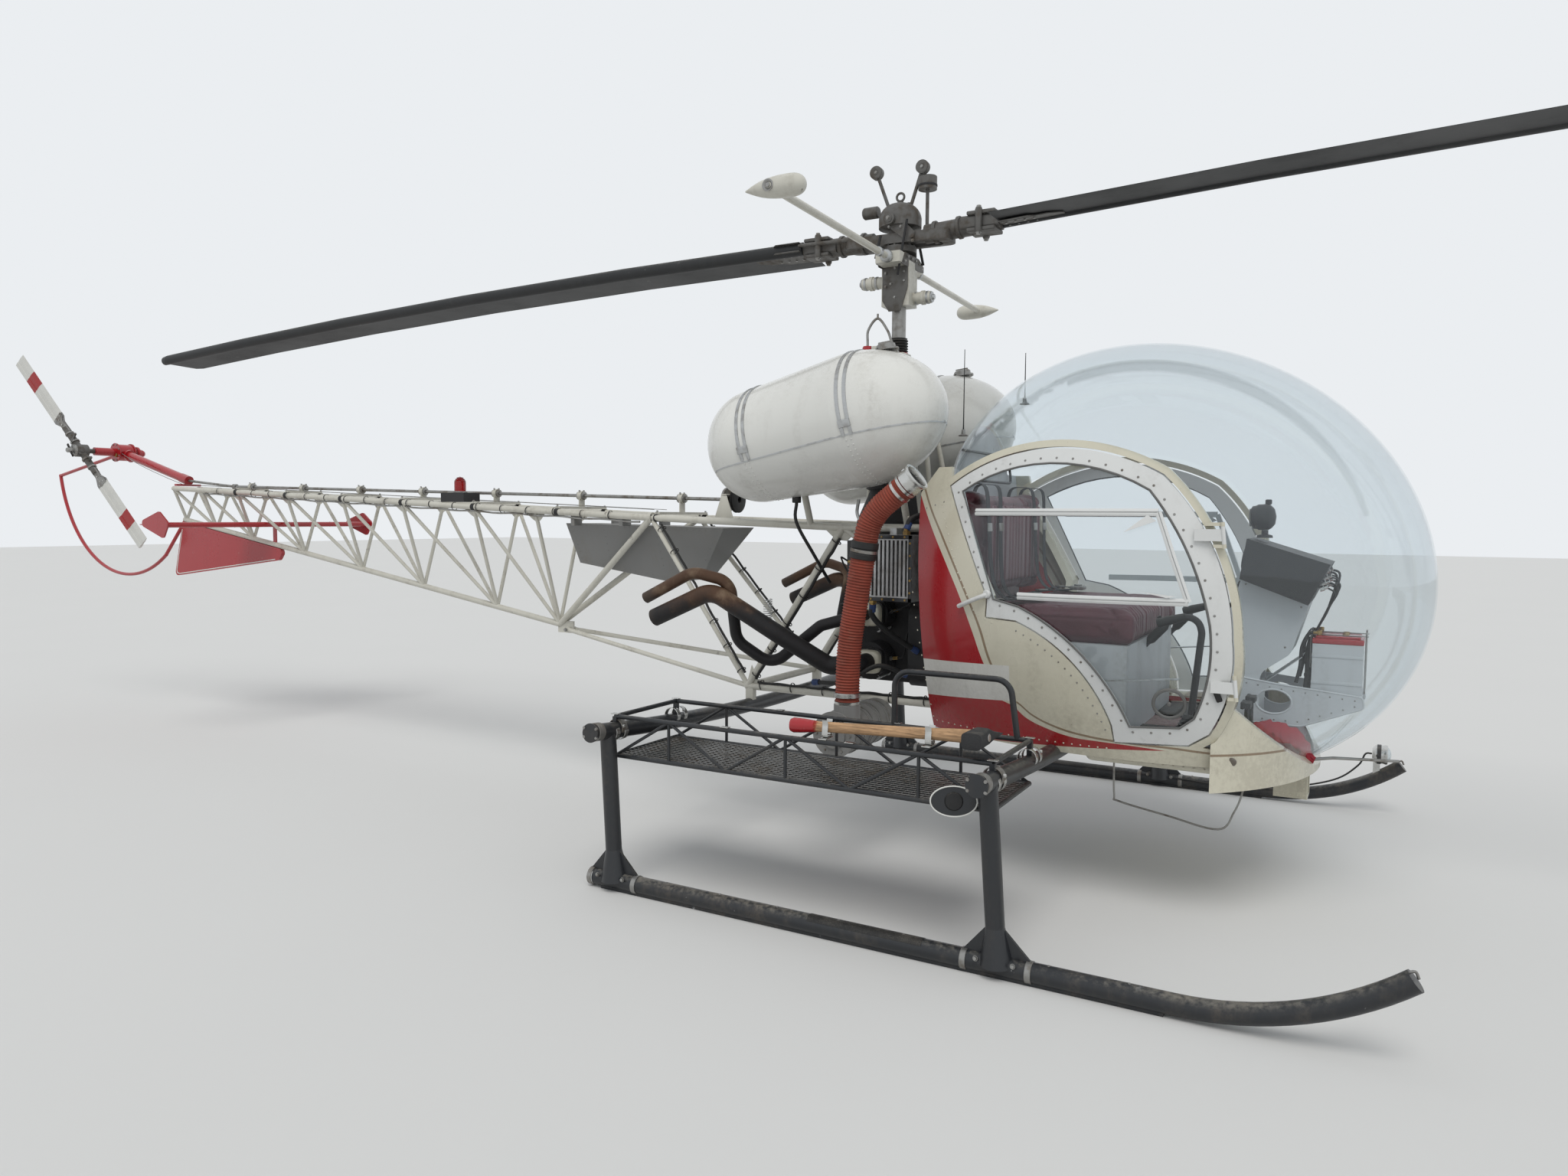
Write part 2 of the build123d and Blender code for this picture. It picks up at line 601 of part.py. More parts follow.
def blade_grip(s):
    """A round grip that turns square towards the blade's root."""
    square_r, wide, high = GRIP_BLOCK
    reach = BLADE_ROOT_R - SEAT
    near = (s * YOKE_LONG / 4, 0, rotor_line_z(s * YOKE_LONG / 4))
    far = (s * (square_r + 40), 0, rotor_line_z(s * square_r))
    end_z = rotor_line_z(s * (square_r + reach) / 2)
    across, heights = (-wide / 2, wide / 2), (end_z - high / 2, end_z + high / 2)
    end = block(sorted((s * square_r, s * reach)), across, heights)
    return [rod(near, far, GRIP_R), fillet(end.edges().filter_by(Axis.X), 14)]


def yoke():
    """The long ring that carries the grips."""
    inner = (YOKE_LONG - 4 * YOKE_WALL, YOKE_WIDE - 2 * YOKE_WALL)
    ring = RectangleRounded(YOKE_LONG, YOKE_WIDE, 40) - RectangleRounded(*inner, 25)
    return Pos(0, 0, HUB_Z - 10 - YOKE_H / 2) * extrude(ring, amount=YOKE_H)


def head_arm(s):
    """One side plate from the yoke up to its bolt on the dome."""
    low = HUB_Z - 30
    face = make_face(Polyline((-s * 100, low), (-s * 68, low - 5), (s * 32, low + 75), (s * 32, low + 118),
                              (-s * 8, low + 128), (-s * 100, low + 35), close=True))
    y = sorted((s * 58, s * 84))
    return [slab(face, *y), rod((s * 10, s * 40, low + 98), (s * 10, s * 112, low + 98), 25)]


def rotor_head():
    """Hub, yoke, arms, weights on their horns and the blade grips."""
    horns = []
    for foot_x, x, z in HORNS:
        horns.append(rod((foot_x, 0, HEAD_TOP_Z - 40), (x, 0, z), HORN_R))
        horns.append(rod((x, -14, z), (x, 14, z), HORN_WEIGHT_R))
    x, foot, radius, height = DRUM
    drum = [rod((x, 0, HUB_Z - 10), (x, 0, foot + 10), HORN_R),
            rod((x, 0, foot), (x, 0, foot + height), radius),
            block((HEAD_WAIST_R - 10, x + 12), (-14, 14), (HUB_Z - 24, HUB_Z + 4))]
    grips = [form for s in (1, -1) for form in blade_grip(s)]
    arms = [form for s in (1, -1) for form in head_arm(s)]
    return Rot(0, 0, ROTOR_TURN) * joined([head_dome(), yoke(), *grips, *arms, *horns, *drum])


def rotor_mast():
    top = HEAD_LOW_Z - SEAT
    return Pos(0, 0, (MAST_BOTTOM_Z + top) / 2) * Cylinder(MAST_R, top - MAST_BOTTOM_Z)


def bar_weight(s):
    """A streamlined weight, its blunt nose towards the side that the bar turns to."""
    tail, nose = BAR_WEIGHT_X
    radius = BAR_WEIGHT_R
    widest = nose - 1.6 * radius
    flank = Spline((tail, 3), (tail / 2, radius * 0.62), (widest, radius), tangents=[(1, 0.42), (1, 0)])
    front = Spline((widest, radius), (nose - 0.5 * radius, radius * 0.82), (nose, 0),
                   tangents=[(1, 0), (0, -1)])
    outline = Line((tail, 0), (tail, 3)) + flank + front + Line((nose, 0), (tail, 0))
    weight = revolve(make_face(outline), Axis.X)
    return Pos(0, s * (BAR_HALF_SPAN - radius / 2), BAR_Z) * (Rot(0, 0, 180 if s > 0 else 0) * weight)


def stabilizer_bar():
    """Bar with its weights, the frame that holds it round the mast and the two dampers under it."""
    ends = [(0, s * BAR_HALF_SPAN, BAR_Z) for s in (1, -1)]
    low_z = min(z for _, z in DAMPERS)
    frame = [block((-58, 58), (-150, 150), (BAR_Z - 24, BAR_Z + 24)),
             block((-66, 66), (-52, 52), (low_z - 40, BAR_Z))]
    dampers = []
    for s, (x, z) in zip((-1, 1), DAMPERS):
        dampers += [rod((x / 3, s * 20, z), (x * 1.5, s * 20, z), DAMPER_R),
                    rod((x * 1.05, s * 20, z), (x * 1.2, s * 20, z), DAMPER_R + 5)]
    shape = joined([rod(ends[0], ends[1], BAR_R), *frame, *dampers, bar_weight(1), bar_weight(-1)])
    return Rot(0, 0, ROTOR_TURN) * (shape - Pos(0, 0, BAR_Z - 60) * Cylinder(MAST_R + SEAT, 600))


def tail_placed(shape):
    x, z = TAIL_AXIS
    return Pos(x, TAIL_Y, z) * (Rot(0, TAIL_ANGLE, 0) * shape)


def tail_hub():
    """Shaft, hub and the two blade grips."""
    shaft = rod((0, 130, 0), (0, -40, 0), TAIL_SHAFT_R)
    hub = rod((0, 40, 0), (0, -40, 0), 46)
    yoke = Rot(0, 0, TAIL_FLAP) * rod((-TAIL_GRIP_R, 0, 0), (TAIL_GRIP_R, 0, 0), 24)
    room = [Rot(0, 0, TAIL_FLAP) * tail_blade_slot(s) for s in (1, -1)]
    return tail_placed(joined([shaft, hub, yoke]) - room)


def tail_blade_slot(s):
    reach = sorted((s * (TAIL_BLADE_ROOT - SEAT), s * (TAIL_GRIP_R + 50)))
    return block(reach, (-TAIL_BLADE_T / 2 - SEAT, TAIL_BLADE_T / 2 + SEAT), (-60, 60))


def tail_blade_section(s):
    """Wing section of a tail blade, drawn out from the hub to beyond the tip."""
    half, half_t = TAIL_CHORD / 2, TAIL_BLADE_T / 2
    nose = ThreePointArc((-half * 0.35, half_t), (-half, 0), (-half * 0.35, -half_t))
    flat = Polyline((-half * 0.35, -half_t), (half * 0.35, -half_t), (half, -1), (half, 1),
                    (half * 0.35, half_t), (-half * 0.35, half_t))
    plane = Plane(origin=(0, 0, 0), x_dir=(0, 0, 1), z_dir=(s, 0, 0))
    return extrude(plane * make_face(nose + flat), amount=TAIL_R + 10)


def tail_blades():
    blades = []
    for s in (1, -1):
        root, neck_end, full = TAIL_BLADE_ROOT, TAIL_BLADE_ROOT + 70, TAIL_BLADE_ROOT + 130
        half = TAIL_CHORD / 2
        outline = [(root, -20), (neck_end, -20), (full, -half), (TAIL_R, -half),
                   (TAIL_R, half), (full, half), (neck_end, 20), (root, 20)]
        face = make_face(Polyline(*[(s * x, z) for x, z in outline], close=True))
        blades.append(tail_placed(Rot(0, 0, TAIL_FLAP) * (slab(face, -10, 10) & tail_blade_section(s))))
    return Compound(blades)


# Cabin
def canopy_form(inset=0.0):
    ball_form = scale(Sphere(1), by=(CANOPY_LONG - inset, CANOPY_WIDE - inset, CANOPY_TALL - inset))
    return Pos(*CANOPY_CENTRE) * (Rot(0, CANOPY_TILT, 0) * ball_form)


def side_form(inset=0.0):
    x, z = SIDE_CENTRE
    offset = SIDE_R - SIDE_MAX_Y
    return (Pos(x, offset, z) * Sphere(SIDE_R - inset)) & (Pos(x, -offset, z) * Sphere(SIDE_R - inset))


def door_outline():
    arcs = (ThreePointArc((478, 1562), (905, 1694), (1300, 1588))
            + ThreePointArc((1300, 1588), (1457, 1374), (1540, 1032))
            + ThreePointArc((1540, 1032), (1533, 860), (1471, 697))
            + Line((1471, 697), (1405, 652)) + Line((1405, 652), (1160, 640)) + Line((1160, 640), (1153, 701))
            + ThreePointArc((1153, 701), (1040, 900), (799, 1061))
            + Line((799, 1061), (676, 1066)) + Line((676, 1066), (681, 1141)) + Line((681, 1141), (478, 1562)))
    return make_face(arcs)


def window_outline():
    arcs = (ThreePointArc((538, 1541), (905, 1640), (1262, 1538))
            + ThreePointArc((1262, 1538), (1405, 1304), (1473, 1079))
            + ThreePointArc((1473, 1079), (1470, 900), (1426, 750))
            + Line((1426, 750), (1379, 712)) + Line((1379, 712), (1213, 702))
            + ThreePointArc((1213, 702), (1085, 915), (811, 1112))
            + Line((811, 1112), (705, 1134)) + Line((705, 1134), (538, 1541)))
    return make_face(arcs)


def skin_band(outline, inset, thickness):
    """The stretch of the right cabin side that lies inside an outline."""
    shell = side_form(inset) - side_form(inset + thickness)
    return shell & slab(outline, -900, -300)


def door(side):
    frame = skin_band(door_outline(), 0, SIDE_T) - slab(window_outline(), -900, -300)
    straps = []
    low, top, axis = hinge_points()
    for point, gaps in zip((low, top), HINGE_PADS):
        pad = [point.X - gap for gap in gaps]
        straps.append(rod(point - axis * HINGE_L / 2, point + axis * HINGE_L / 2, HINGE_R))
        straps.append(block((pad[0], point.X), (point.Y - 3, point.Y + 3), (point.Z - 20, point.Z + 20)))
        straps.append(block(pad, (point.Y - 3, point.Y + 20), (point.Z - 20, point.Z + 20)))
    bore = rod(low - axis * HINGE_L, top + axis * HINGE_L, HINGE_PIN_R + HINGE_PLAY)
    shape = joined([frame, *straps]) - bore
    return shape if side < 0 else mirrored(shape)


def hinge_points():
    low = vec((DOOR_HINGE_LOW[0], -DOOR_HINGE_LOW[1], DOOR_HINGE_LOW[2]))
    top = vec((DOOR_HINGE_TOP[0], -DOOR_HINGE_TOP[1], DOOR_HINGE_TOP[2]))
    return low, top, (top - low).normalized()


def hinge_lugs():
    """Pins and lugs on the right jamb that carry the door's knuckles."""
    low, top, axis = hinge_points()
    band = offset(door_outline(), amount=JAMB_W) - offset(door_outline(), amount=DOOR_GAP)
    jamb_band = slab(band, -900, -300)
    opening = slab(offset(door_outline(), amount=DOOR_GAP), -900, -300)
    pieces = []
    for point in (low, top):
        reach = HINGE_L / 2 + HINGE_LUG_L
        pieces.append(rod(point - axis * reach, point + axis * reach, HINGE_PIN_R))
        for end in (-1, 1):
            near = point + axis * (end * (HINGE_L / 2 + SEAT))
            far = point + axis * (end * reach)
            z_pair = sorted((near.Z + end, far.Z - end))
            x_pair = (point.X - 60, point.X)
            arm = block(x_pair, (point.Y - 2, point.Y + HINGE_ARM_T), z_pair) - opening
            foot = block(x_pair, (point.Y, point.Y + HINGE_LUG_DEEP), z_pair) & jamb_band
            pieces += [rod(near, far, HINGE_R), arm, foot]
    return pieces


def door_window(side):
    pane = skin_band(offset(window_outline(), amount=-2 * SEAT), 6, 5)
    return pane if side < 0 else mirrored(pane)


def nose_below(drop=0.0):
    """Everything below the line of the canopy's front edge."""
    (x0, z0), (x1, z1) = [(x, z - drop) for x, z in NOSE_CUT]
    slope = (z1 - z0) / (x1 - x0)
    far_x, back_x = 2400.0, 1000.0
    face = make_face(Polyline((back_x, z0 + slope * (back_x - x0)), (far_x, z0 + slope * (far_x - x0)),
                              (far_x, -600), (back_x, -600), close=True))
    return slab(face, -1000, 1000)


def cabin_side(side):
    """Side skin behind and below the door, with the jamb that the canopy meets."""
    opening = offset(door_outline(), amount=DOOR_GAP)
    ring = offset(door_outline(), amount=JAMB_W) - opening
    low = FLOOR_Z[0]
    keep = make_face(Polyline((376, low), (NOSE_REAR_X - SEAT, low), (NOSE_REAR_X - SEAT, 640), (1153, 701),
                              (1040, 900), (799, 1061), (681, 1141), (478, 1562), (470, 1640), (400, 1640),
                              (318, 1540), close=True))
    skin = (side_form() - side_form(SIDE_T)) & slab(keep, -900, -300)
    jamb = (side_form() & slab(ring, -900, -JAMB_INNER_Y)) - canopy_form(CANOPY_T + 20)
    shell = joined([skin, jamb]) - slab(opening, -900, -300) - tube_room()
    shape = joined([shell, *hinge_lugs()])
    return shape if side < 0 else mirrored(shape)


def canopy():
    shell = canopy_form() - canopy_form(CANOPY_T)
    keep = block((CANOPY_REAR_X, 2400), (-1000, 1000), (400, 2400))
    opening = slab(offset(door_outline(), amount=JAMB_W + SEAT), -1000, 1000)
    behind = slab(make_face(Polyline((300, 400), (1000, 400), (1000, 1200), (560, 1560), (300, 1640), close=True)),
                  -1000, 1000)
    return (shell & keep) - opening - nose_below() - behind


def nose_plan(inset, z_pair):
    """The round plan of the nose between two heights."""
    centre_x = NOSE_TIP_X - NOSE_PLAN_R
    return Pos(centre_x, 0, sum(z_pair) / 2) * Cylinder(NOSE_PLAN_R - inset, z_pair[1] - z_pair[0])


def cabin_nose():
    """Skin and pan under the canopy's front edge."""
    heights = (NOSE_PAN_Z, 900.0)
    ring = nose_plan(0, heights) - nose_plan(SIDE_T, heights)
    pan = nose_plan(0, (NOSE_PAN_Z, NOSE_PAN_Z + 8))
    keep = block((NOSE_REAR_X, 2000), (-700, 700), heights)
    skin = (joined([ring, pan]) & keep & nose_below()) - slab(
        offset(door_outline(), amount=JAMB_W + SEAT), -1000, 1000)
    (x0, x1), (y0, y1), (z0, z1) = SCOOP
    hollow = block((x0 + SCOOP_T, x1 + 1), (y0 + SCOOP_T, y1 - SCOOP_T), (z0 + SCOOP_T, NOSE_PAN_Z - 1))
    return joined([skin, block(*SCOOP) - hollow])


def cabin_floor():
    plan = block((FLOOR_REAR_X, 1800), (-700, 700), FLOOR_Z)
    return (plan & nose_plan(SIDE_T + SEAT, FLOOR_Z) & side_form(SIDE_T + SEAT) & nose_below(8)) - tube_room()


def rear_bulkhead():
    panel = block(BULKHEAD_X, (-600, 600), (FLOOR_Z[0], 1900))
    upper = canopy_form(0) & block((300, 500), (-600, 600), (1630, 2000))
    lower = side_form(SIDE_T + SEAT) & block((300, 500), (-700, 700), (600, 1640))
    return panel & (lower + upper)


def belly_pan():
    return rounded_block(BELLY_X, (-BELLY_HALF_W, BELLY_HALF_W), (BELLY_Z, FLOOR_Z[0] - SEAT), 30)


# Seats and controls
def seat_base():
    return block((560, 1150), (-470, 470), (FLOOR_Z[1] + SEAT, 960))


def seat_cushion():
    return rounded_block((575, 1190), (-480, 480), (960 + SEAT, 1090), 30)


def seat_back():
    return rounded_block((BULKHEAD_X[1] + SEAT, 560), (-440, 440), (1100, 1560), 30)


def console():
    base = FLOOR_Z[1] + SEAT
    face = make_face(Polyline((1470, base), (1575, base), (1575, 850), (1680, 930), (1736, 1122), (1499, 1212),
                              (1461, 1084), close=True))
    front = [corner for corner in face.vertices() if 1500 < corner.X < 1700 and corner.Y > 700]
    return slab(fillet(front, 60), -120, 120)


def instrument_panel():
    low, top = (1499, 1212 + SEAT), (1520, 1366)
    face = make_face(Polyline((1736, 1122 + SEAT), (1805, 1275), top, low, close=True))
    wells = []
    for y, share in DIALS:
        x, z = low[0] + (top[0] - low[0]) * share, low[1] + (top[1] - low[1]) * share
        inward = vec((top[1] - low[1], 0, low[0] - top[0])).normalized()
        wells.append(rod(vec((x, y, z)) - inward * 10, vec((x, y, z)) + inward * DIAL_DEEP, DIAL_R))
    return slab(face, -190, 190) - wells


def nose_shelf():
    """Two side plates and a tray ahead of the console."""
    face = make_face(Polyline((1469, 835), (1648, 812), (1924, 786), (1930, 746), (1722, 659), (1538, 661),
                              (1469, 700), close=True))
    face -= Pos(1627, 745) * Ellipse(62, 46)
    plates = [slab(face, min(y), max(y)) for y in ((SHELF_Y, SHELF_Y + 5), (-SHELF_Y - 5, -SHELF_Y))]
    tray = block((1745, 1925), (-SHELF_Y - 2, SHELF_Y + 2), (SHELF_Z - 5, SHELF_Z))
    return joined([*plates, tray])


def battery_box():
    return block((1752, 1920), (-108, 108), (SHELF_Z + SEAT, 975))


def flight_controls():
    """Two cyclic sticks, two collective levers and two pairs of pedals standing on the floor."""
    pieces = []
    base = FLOOR_Z[1] + SEAT
    for seat_y in (300.0, -300.0):
        grip = [(1350, base + 2), (1388, 1010), (1371, 1078), (1230, 1040)]
        stick = bent_tube([(x, seat_y, z) for x, z in grip], [60, 50], 13)
        boot = Solid.make_cone(58, 20, 90, Plane(origin=(1352, seat_y, base), z_dir=(0, 0, 1)))
        pieces.append(joined([stick, boot]))
        for pedal_y in (seat_y - 75, seat_y + 75):
            post = rod((1560, pedal_y, base), (1560, pedal_y, 760), 8)
            pad = block((1545, 1575), (pedal_y - 35, pedal_y + 35), (755, 775))
            pieces.append(joined([post, pad]))
    return Compound(pieces)


# Engine bay
def accessory_room():
    (y0, y1), (z0, z1) = ACCESSORY_YZ
    return block((ENGINE_HALF[0], ENGINE_HALF[0] + 40), (y0 - 1, y1 + 1), (z0 - 1, z1 + 1))


def engine_block():
    """Upright engine body: a deep case with its corners cut back, ribbed between the cylinders."""
    half_x, half_y, cut = ENGINE_HALF
    low, top = ENGINE_Z
    corners = [(half_x - cut, half_y), (half_x, half_y - cut)]
    outline = corners + [(x, -y) for x, y in reversed(corners)]
    outline += [(-x, y) for x, y in reversed(outline)]
    body = Pos(0, 0, low) * extrude(make_face(Polyline(*outline, close=True)), amount=top - low)
    levels = [(a + b) / 2 for a, b in zip(CYLINDERS_Z, CYLINDERS_Z[1:])]
    bands = [block((-half_x - 8, half_x + 8), (-half_y + cut, half_y - cut), (z - 9, z + 9)) for z in levels]
    return joined([body, *bands]) - accessory_room()


def engine_cylinders():
    """Finned barrels with their rocker covers, three on each side of the engine."""
    barrels = []
    start = 170 + SEAT
    wide, deep, high = ROCKER_COVER
    step = (CYLINDER_END_Y - deep - start - 8) / COOLING_FINS
    for z in CYLINDERS_Z:
        for side in (1, -1):
            starts = [start + 8 + step * i for i in range(COOLING_FINS)]
            fins = [rod((0, side * y, z), (0, side * (y + 4), z), FIN_R) for y in starts]
            cover_y = sorted((side * (CYLINDER_END_Y - deep - 8), side * CYLINDER_END_Y))
            cover = block((-wide / 2, wide / 2), cover_y, (z - high / 2, z + high / 2))
            cover = fillet(cover.edges().filter_by(Axis.Y), 24)
            barrel = rod((0, side * start, z), (0, side * (CYLINDER_END_Y - deep), z), BARREL_R)
            barrels.append(joined([barrel, cover, *fins]))
    return Compound(barrels)


def transmission():
    """Gear case over the engine, with the bars that hang it between the frame tubes."""
    outline = [(0, CASE_PROFILE[0][1]), *CASE_PROFILE, (0, CASE_PROFILE[-1][1])]
    case = revolve(Plane.XZ * make_face(Polyline(*outline, close=True)), Axis.Z)
    reach = FRAME_HALF_W - FRAME_TUBE_R - SEAT
    bars = [rod((x, -reach, FRAME_TOP_Z), (x, reach, FRAME_TOP_Z), 15) for x in MOUNT_BARS_X]
    return joined([case, *bars]) - Pos(0, 0, 1900) * Cylinder(MAST_R + 0.06, 500)


def tank_form(side, grow=0.0):
    """A barrel that swells towards a round nose, with a blunt tail."""
    half = TANK_LONG / 2
    far = 2 * TANK_LONG
    waist_r, tail_r = TANK_R + grow, TANK_TAIL_R + grow
    nose = Pos(TANK_WAIST_X, 0, 0) * scale(Sphere(1), by=(half - TANK_WAIST_X + grow, waist_r, waist_r))
    tail = Pos(TANK_TAIL_X, 0, 0) * scale(Sphere(1), by=(TANK_TAIL_LONG + grow, tail_r, tail_r))
    barrel = Solid.make_cone(tail_r, waist_r, TANK_WAIST_X - TANK_TAIL_X,
                             Plane(origin=(TANK_TAIL_X, 0, 0), z_dir=(1, 0, 0)))
    body = joined([barrel, nose & block((TANK_WAIST_X, far), (-far, far), (-far, far)),
                   tail & block((-half, TANK_TAIL_X), (-far, far), (-far, far))])
    x, y, z = TANK_CENTRE
    return Pos(x, side * y, z) * (Rot(0, -TANK_TILT, 0) * body)


def fuel_tank(side):
    return tank_form(side)


def intake_duct():
    points = [(385, DUCT_Y, 1592), (190, DUCT_Y, 1440), (160, DUCT_Y, 1250), (104, DUCT_Y, 900),
              (100, DUCT_Y, DUCT_END_Z)]
    return open_pipe(points, [150, 400, 600], DUCT_R)


def blower():
    """Drum under the duct, held against the frame's low tube."""
    inner = -FRAME_HALF_W - FRAME_TUBE_R - SEAT
    drum = rod((70, BLOWER_END_Y, 560), (70, inner, 560), BLOWER_R)
    step = (inner - BLOWER_END_Y) / BLOWER_RIBS
    ribs = [rod((70, BLOWER_END_Y + step * i, 560), (70, BLOWER_END_Y + step * i + 8, 560), BLOWER_R + 4)
            for i in range(BLOWER_RIBS)]
    ribs.append(rod((70, BLOWER_END_Y - 10, 560), (70, BLOWER_END_Y, 560), BLOWER_R * 0.6))
    collar = rod((100, DUCT_Y, 600), (100, DUCT_Y, DUCT_END_Z - 4 * SEAT), DUCT_R + 4)
    return joined([drum, collar, *ribs])


def oil_cooler():
    core = block(*COOLER)
    (x0, x1), (y0, y1), (z0, z1) = COOLER
    wide, deep, margin = COOLER_SLOT
    step = (x1 - x0 - 2 * margin - wide) / (COOLER_SLOTS - 1)
    for i in range(COOLER_SLOTS):
        x = x0 + margin + step * i
        for y_pair in ((y0 - 1, y0 + deep), (y1 - deep, y1 + 1)):
            core -= block((x, x + wide), y_pair, (z0 + margin, z1 - margin))
    arm = block((165, 195), (-440, -FRAME_HALF_W), (1340, FRAME_TOP_Z))
    tube = rod((FRAME_TOP_X, -FRAME_HALF_W, FRAME_TOP_Z), (FRAME_FRONT_X, -FRAME_HALF_W, FRAME_TOP_Z),
               FRAME_TUBE_R + SEAT)
    return joined([core, arm]) - tube


def accessory_case():
    """Gear case at the front of the engine, with its round covers facing the cabin."""
    x0, x1 = ENGINE_HALF[0] + SEAT, ACCESSORY_X
    (y0, y1), (z0, z1) = ACCESSORY_YZ
    case = block((x0, x1 - 60), (y0, y1), (z0, z1))
    case = fillet(case.edges().filter_by(Axis.X), 60)
    covers = [rod((x1 - 70, y, z), (x1, y, z), radius) for y, z, radius in ACCESSORY_COVERS]
    return joined([case, *covers])


def open_pipe(points, bends, radius):
    """A bent pipe with an open mouth at its first point."""
    mouth = vec(points[0])
    way = (vec(points[1]) - mouth).normalized()
    bore = rod(mouth - way * 10, mouth + way * PIPE_BORE_DEEP, radius - PIPE_WALL)
    return bent_tube(points, bends, radius) - bore


def exhaust(side):
    """A looped pipe over a thicker one, both ending behind the engine bay."""
    head_y = -CYLINDER_END_Y - SEAT
    low_z, mid_z = CYLINDERS_Z[:2]
    upper = open_pipe([*LOOP_PIPE, (0, -400, mid_z), (0, head_y, mid_z)], LOOP_PIPE_BENDS, LOOP_PIPE_R)
    lower = open_pipe([*LOW_PIPE, (10, -420, low_z), (10, head_y, low_z)], LOW_PIPE_BENDS, LOW_PIPE_R)
    pair = Compound([upper, lower])
    return pair if side < 0 else mirrored(pair)


def frame_points(side):
    w = side * FRAME_HALF_W
    return {
        "boom": (BOOM_FRONT_X + SEAT, side * BOOM_HALF_W[0], BOOM_TOP_Z[0]),
        "top": (FRAME_TOP_X, w, FRAME_TOP_Z),
        "low": (FRAME_REAR_X, w, FRAME_LOW_Z),
        "front_low": (FRAME_FRONT_X, w, FRAME_LOW_Z),
        "front_mid": (FRAME_FRONT_X, w, 1060.0),
        "front_top": (FRAME_FRONT_X, w, FRAME_TOP_Z),
        "apex": (BOOM_APEX_X + FORK_FROM_APEX[0], side * (APEX_LUG[1] / 2 + SEAT + FRAME_WEB_R + WELD),
                 BOOM_LOW_Z[0] + FORK_FROM_APEX[1]),
        "hang_aft": (-330.0, side * 308.0, 1399.0),
        "hang_fore": (260.0, w, FRAME_TOP_Z),
    }


def centre_frame():
    rods = []
    sides = [frame_points(1), frame_points(-1)]
    for p in sides:
        rods += [rod(p["boom"], p["top"], FRAME_TUBE_R), rod(p["top"], p["front_top"], FRAME_TUBE_R),
                 rod(p["top"], p["low"], FRAME_TUBE_R), rod(p["low"], p["front_low"], FRAME_TUBE_R),
                 rod(p["boom"], p["low"], FRAME_WEB_R), rod(p["apex"], p["low"], FRAME_WEB_R),
                 rod(p["top"], p["front_mid"], FRAME_WEB_R), rod(p["front_low"], p["front_top"], FRAME_WEB_R)]
        rods += [ball(p["apex"], FRAME_WEB_R + WELD), ball(p["low"], FRAME_TUBE_R + WELD),
                 ball(p["top"], FRAME_TUBE_R + WELD)]
        x, y, z = p["boom"]
        rods.append(rod((x, y, z), (x + JOINT_DISC_T, y, z), JOINT_DISC_R))
    for key in ("hang_aft", "hang_fore", "low", "front_low", "front_top"):
        rods.append(rod(sides[0][key], sides[1][key], FRAME_TUBE_R))
    rear = block((BOOM_FRONT_X - 200, BOOM_FRONT_X + SEAT), (-400, 400), (1300, 1500))
    saddle_x = CROSS_X["rear"]
    for side in (1, -1):
        w = side * FRAME_HALF_W
        rods.append(block((saddle_x - 20, saddle_x + 20), (w - 15, w + 15), (cross_z(w), FRAME_LOW_Z)))
        for x, y, z in TANK_POSTS:
            rods.append(rod((x, side * y, z), (x, side * (y + 110), z + 240), 15))
    cross_room = swept(cross_path("rear"), CROSS_D / 2 + SEAT)
    return joined(rods) - rear - cross_room - tank_form(1, SEAT) - tank_form(-1, SEAT)


# Cargo rack
def cargo_rack():
    rods = []
    x0, x1 = RACK_X
    for y in RACK_Y:
        rods += [rod((x0, y, RACK_TOP_Z), (x1, y, RACK_TOP_Z), RACK_ROD_R),
                 rod((x0, y, RACK_LOW_Z), (x1, y, RACK_LOW_Z), RACK_ROD_R)]
        step = (x1 - x0) / RACK_BAYS
        for bay in range(RACK_BAYS):
            left, mid, right = x0 + bay * step, x0 + (bay + 0.5) * step, x0 + (bay + 1) * step
            rods += [rod((left, y, RACK_LOW_Z), (mid, y, RACK_TOP_Z), RACK_WEB_R),
                     rod((mid, y, RACK_TOP_Z), (right, y, RACK_LOW_Z), RACK_WEB_R),
                     rod((mid, y, RACK_LOW_Z), (mid, y, RACK_TOP_Z), RACK_WEB_R)]
    for x in (x0, x1):
        for z in (RACK_TOP_Z, RACK_LOW_Z):
            rods.append(rod((x, RACK_Y[0], z), (x, RACK_Y[1], z), RACK_ROD_R))
    tray = block((x0, x1), (RACK_Y[1], RACK_Y[0]), (RACK_LOW_Z - 3, RACK_LOW_Z + 1))
    for end in CROSS_X:
        for y in RACK_Y:
            x = CROSS_X[end]
            rods.append(block((x - 9, x + 9), (y - 9, y + 9), (cross_z(y), RACK_TOP_Z)))
    x, y, z = RACK_DISC
    wide, high, thick = RACK_DISC_SIZE
    facing = Plane(origin=RACK_DISC, x_dir=(1, 0.45, 0), z_dir=(0.45, -1, 0.1))
    rods.append(extrude(facing * Ellipse(wide, high), amount=thick))
    rods.append(rod((x, RACK_Y[1], RACK_LOW_Z), (x, y, z), RACK_WEB_R))
    room = [swept(cross_path(end), CROSS_D / 2 + SEAT) for end in CROSS_X]
    return joined([*rods, tray]) - room


def rack_hoop():
    """Bent bar standing on the inner top rail."""
    y = RACK_Y[0]
    rail = rod((RACK_X[0], y, RACK_TOP_Z), (RACK_X[1], y, RACK_TOP_Z), RACK_ROD_R + SEAT)
    hoop = [(410, y, RACK_TOP_Z), (410, y, 870), (850, y, 870), (880, y, RACK_TOP_Z)]
    return bent_tube(hoop, [60, 60], 11) - rail


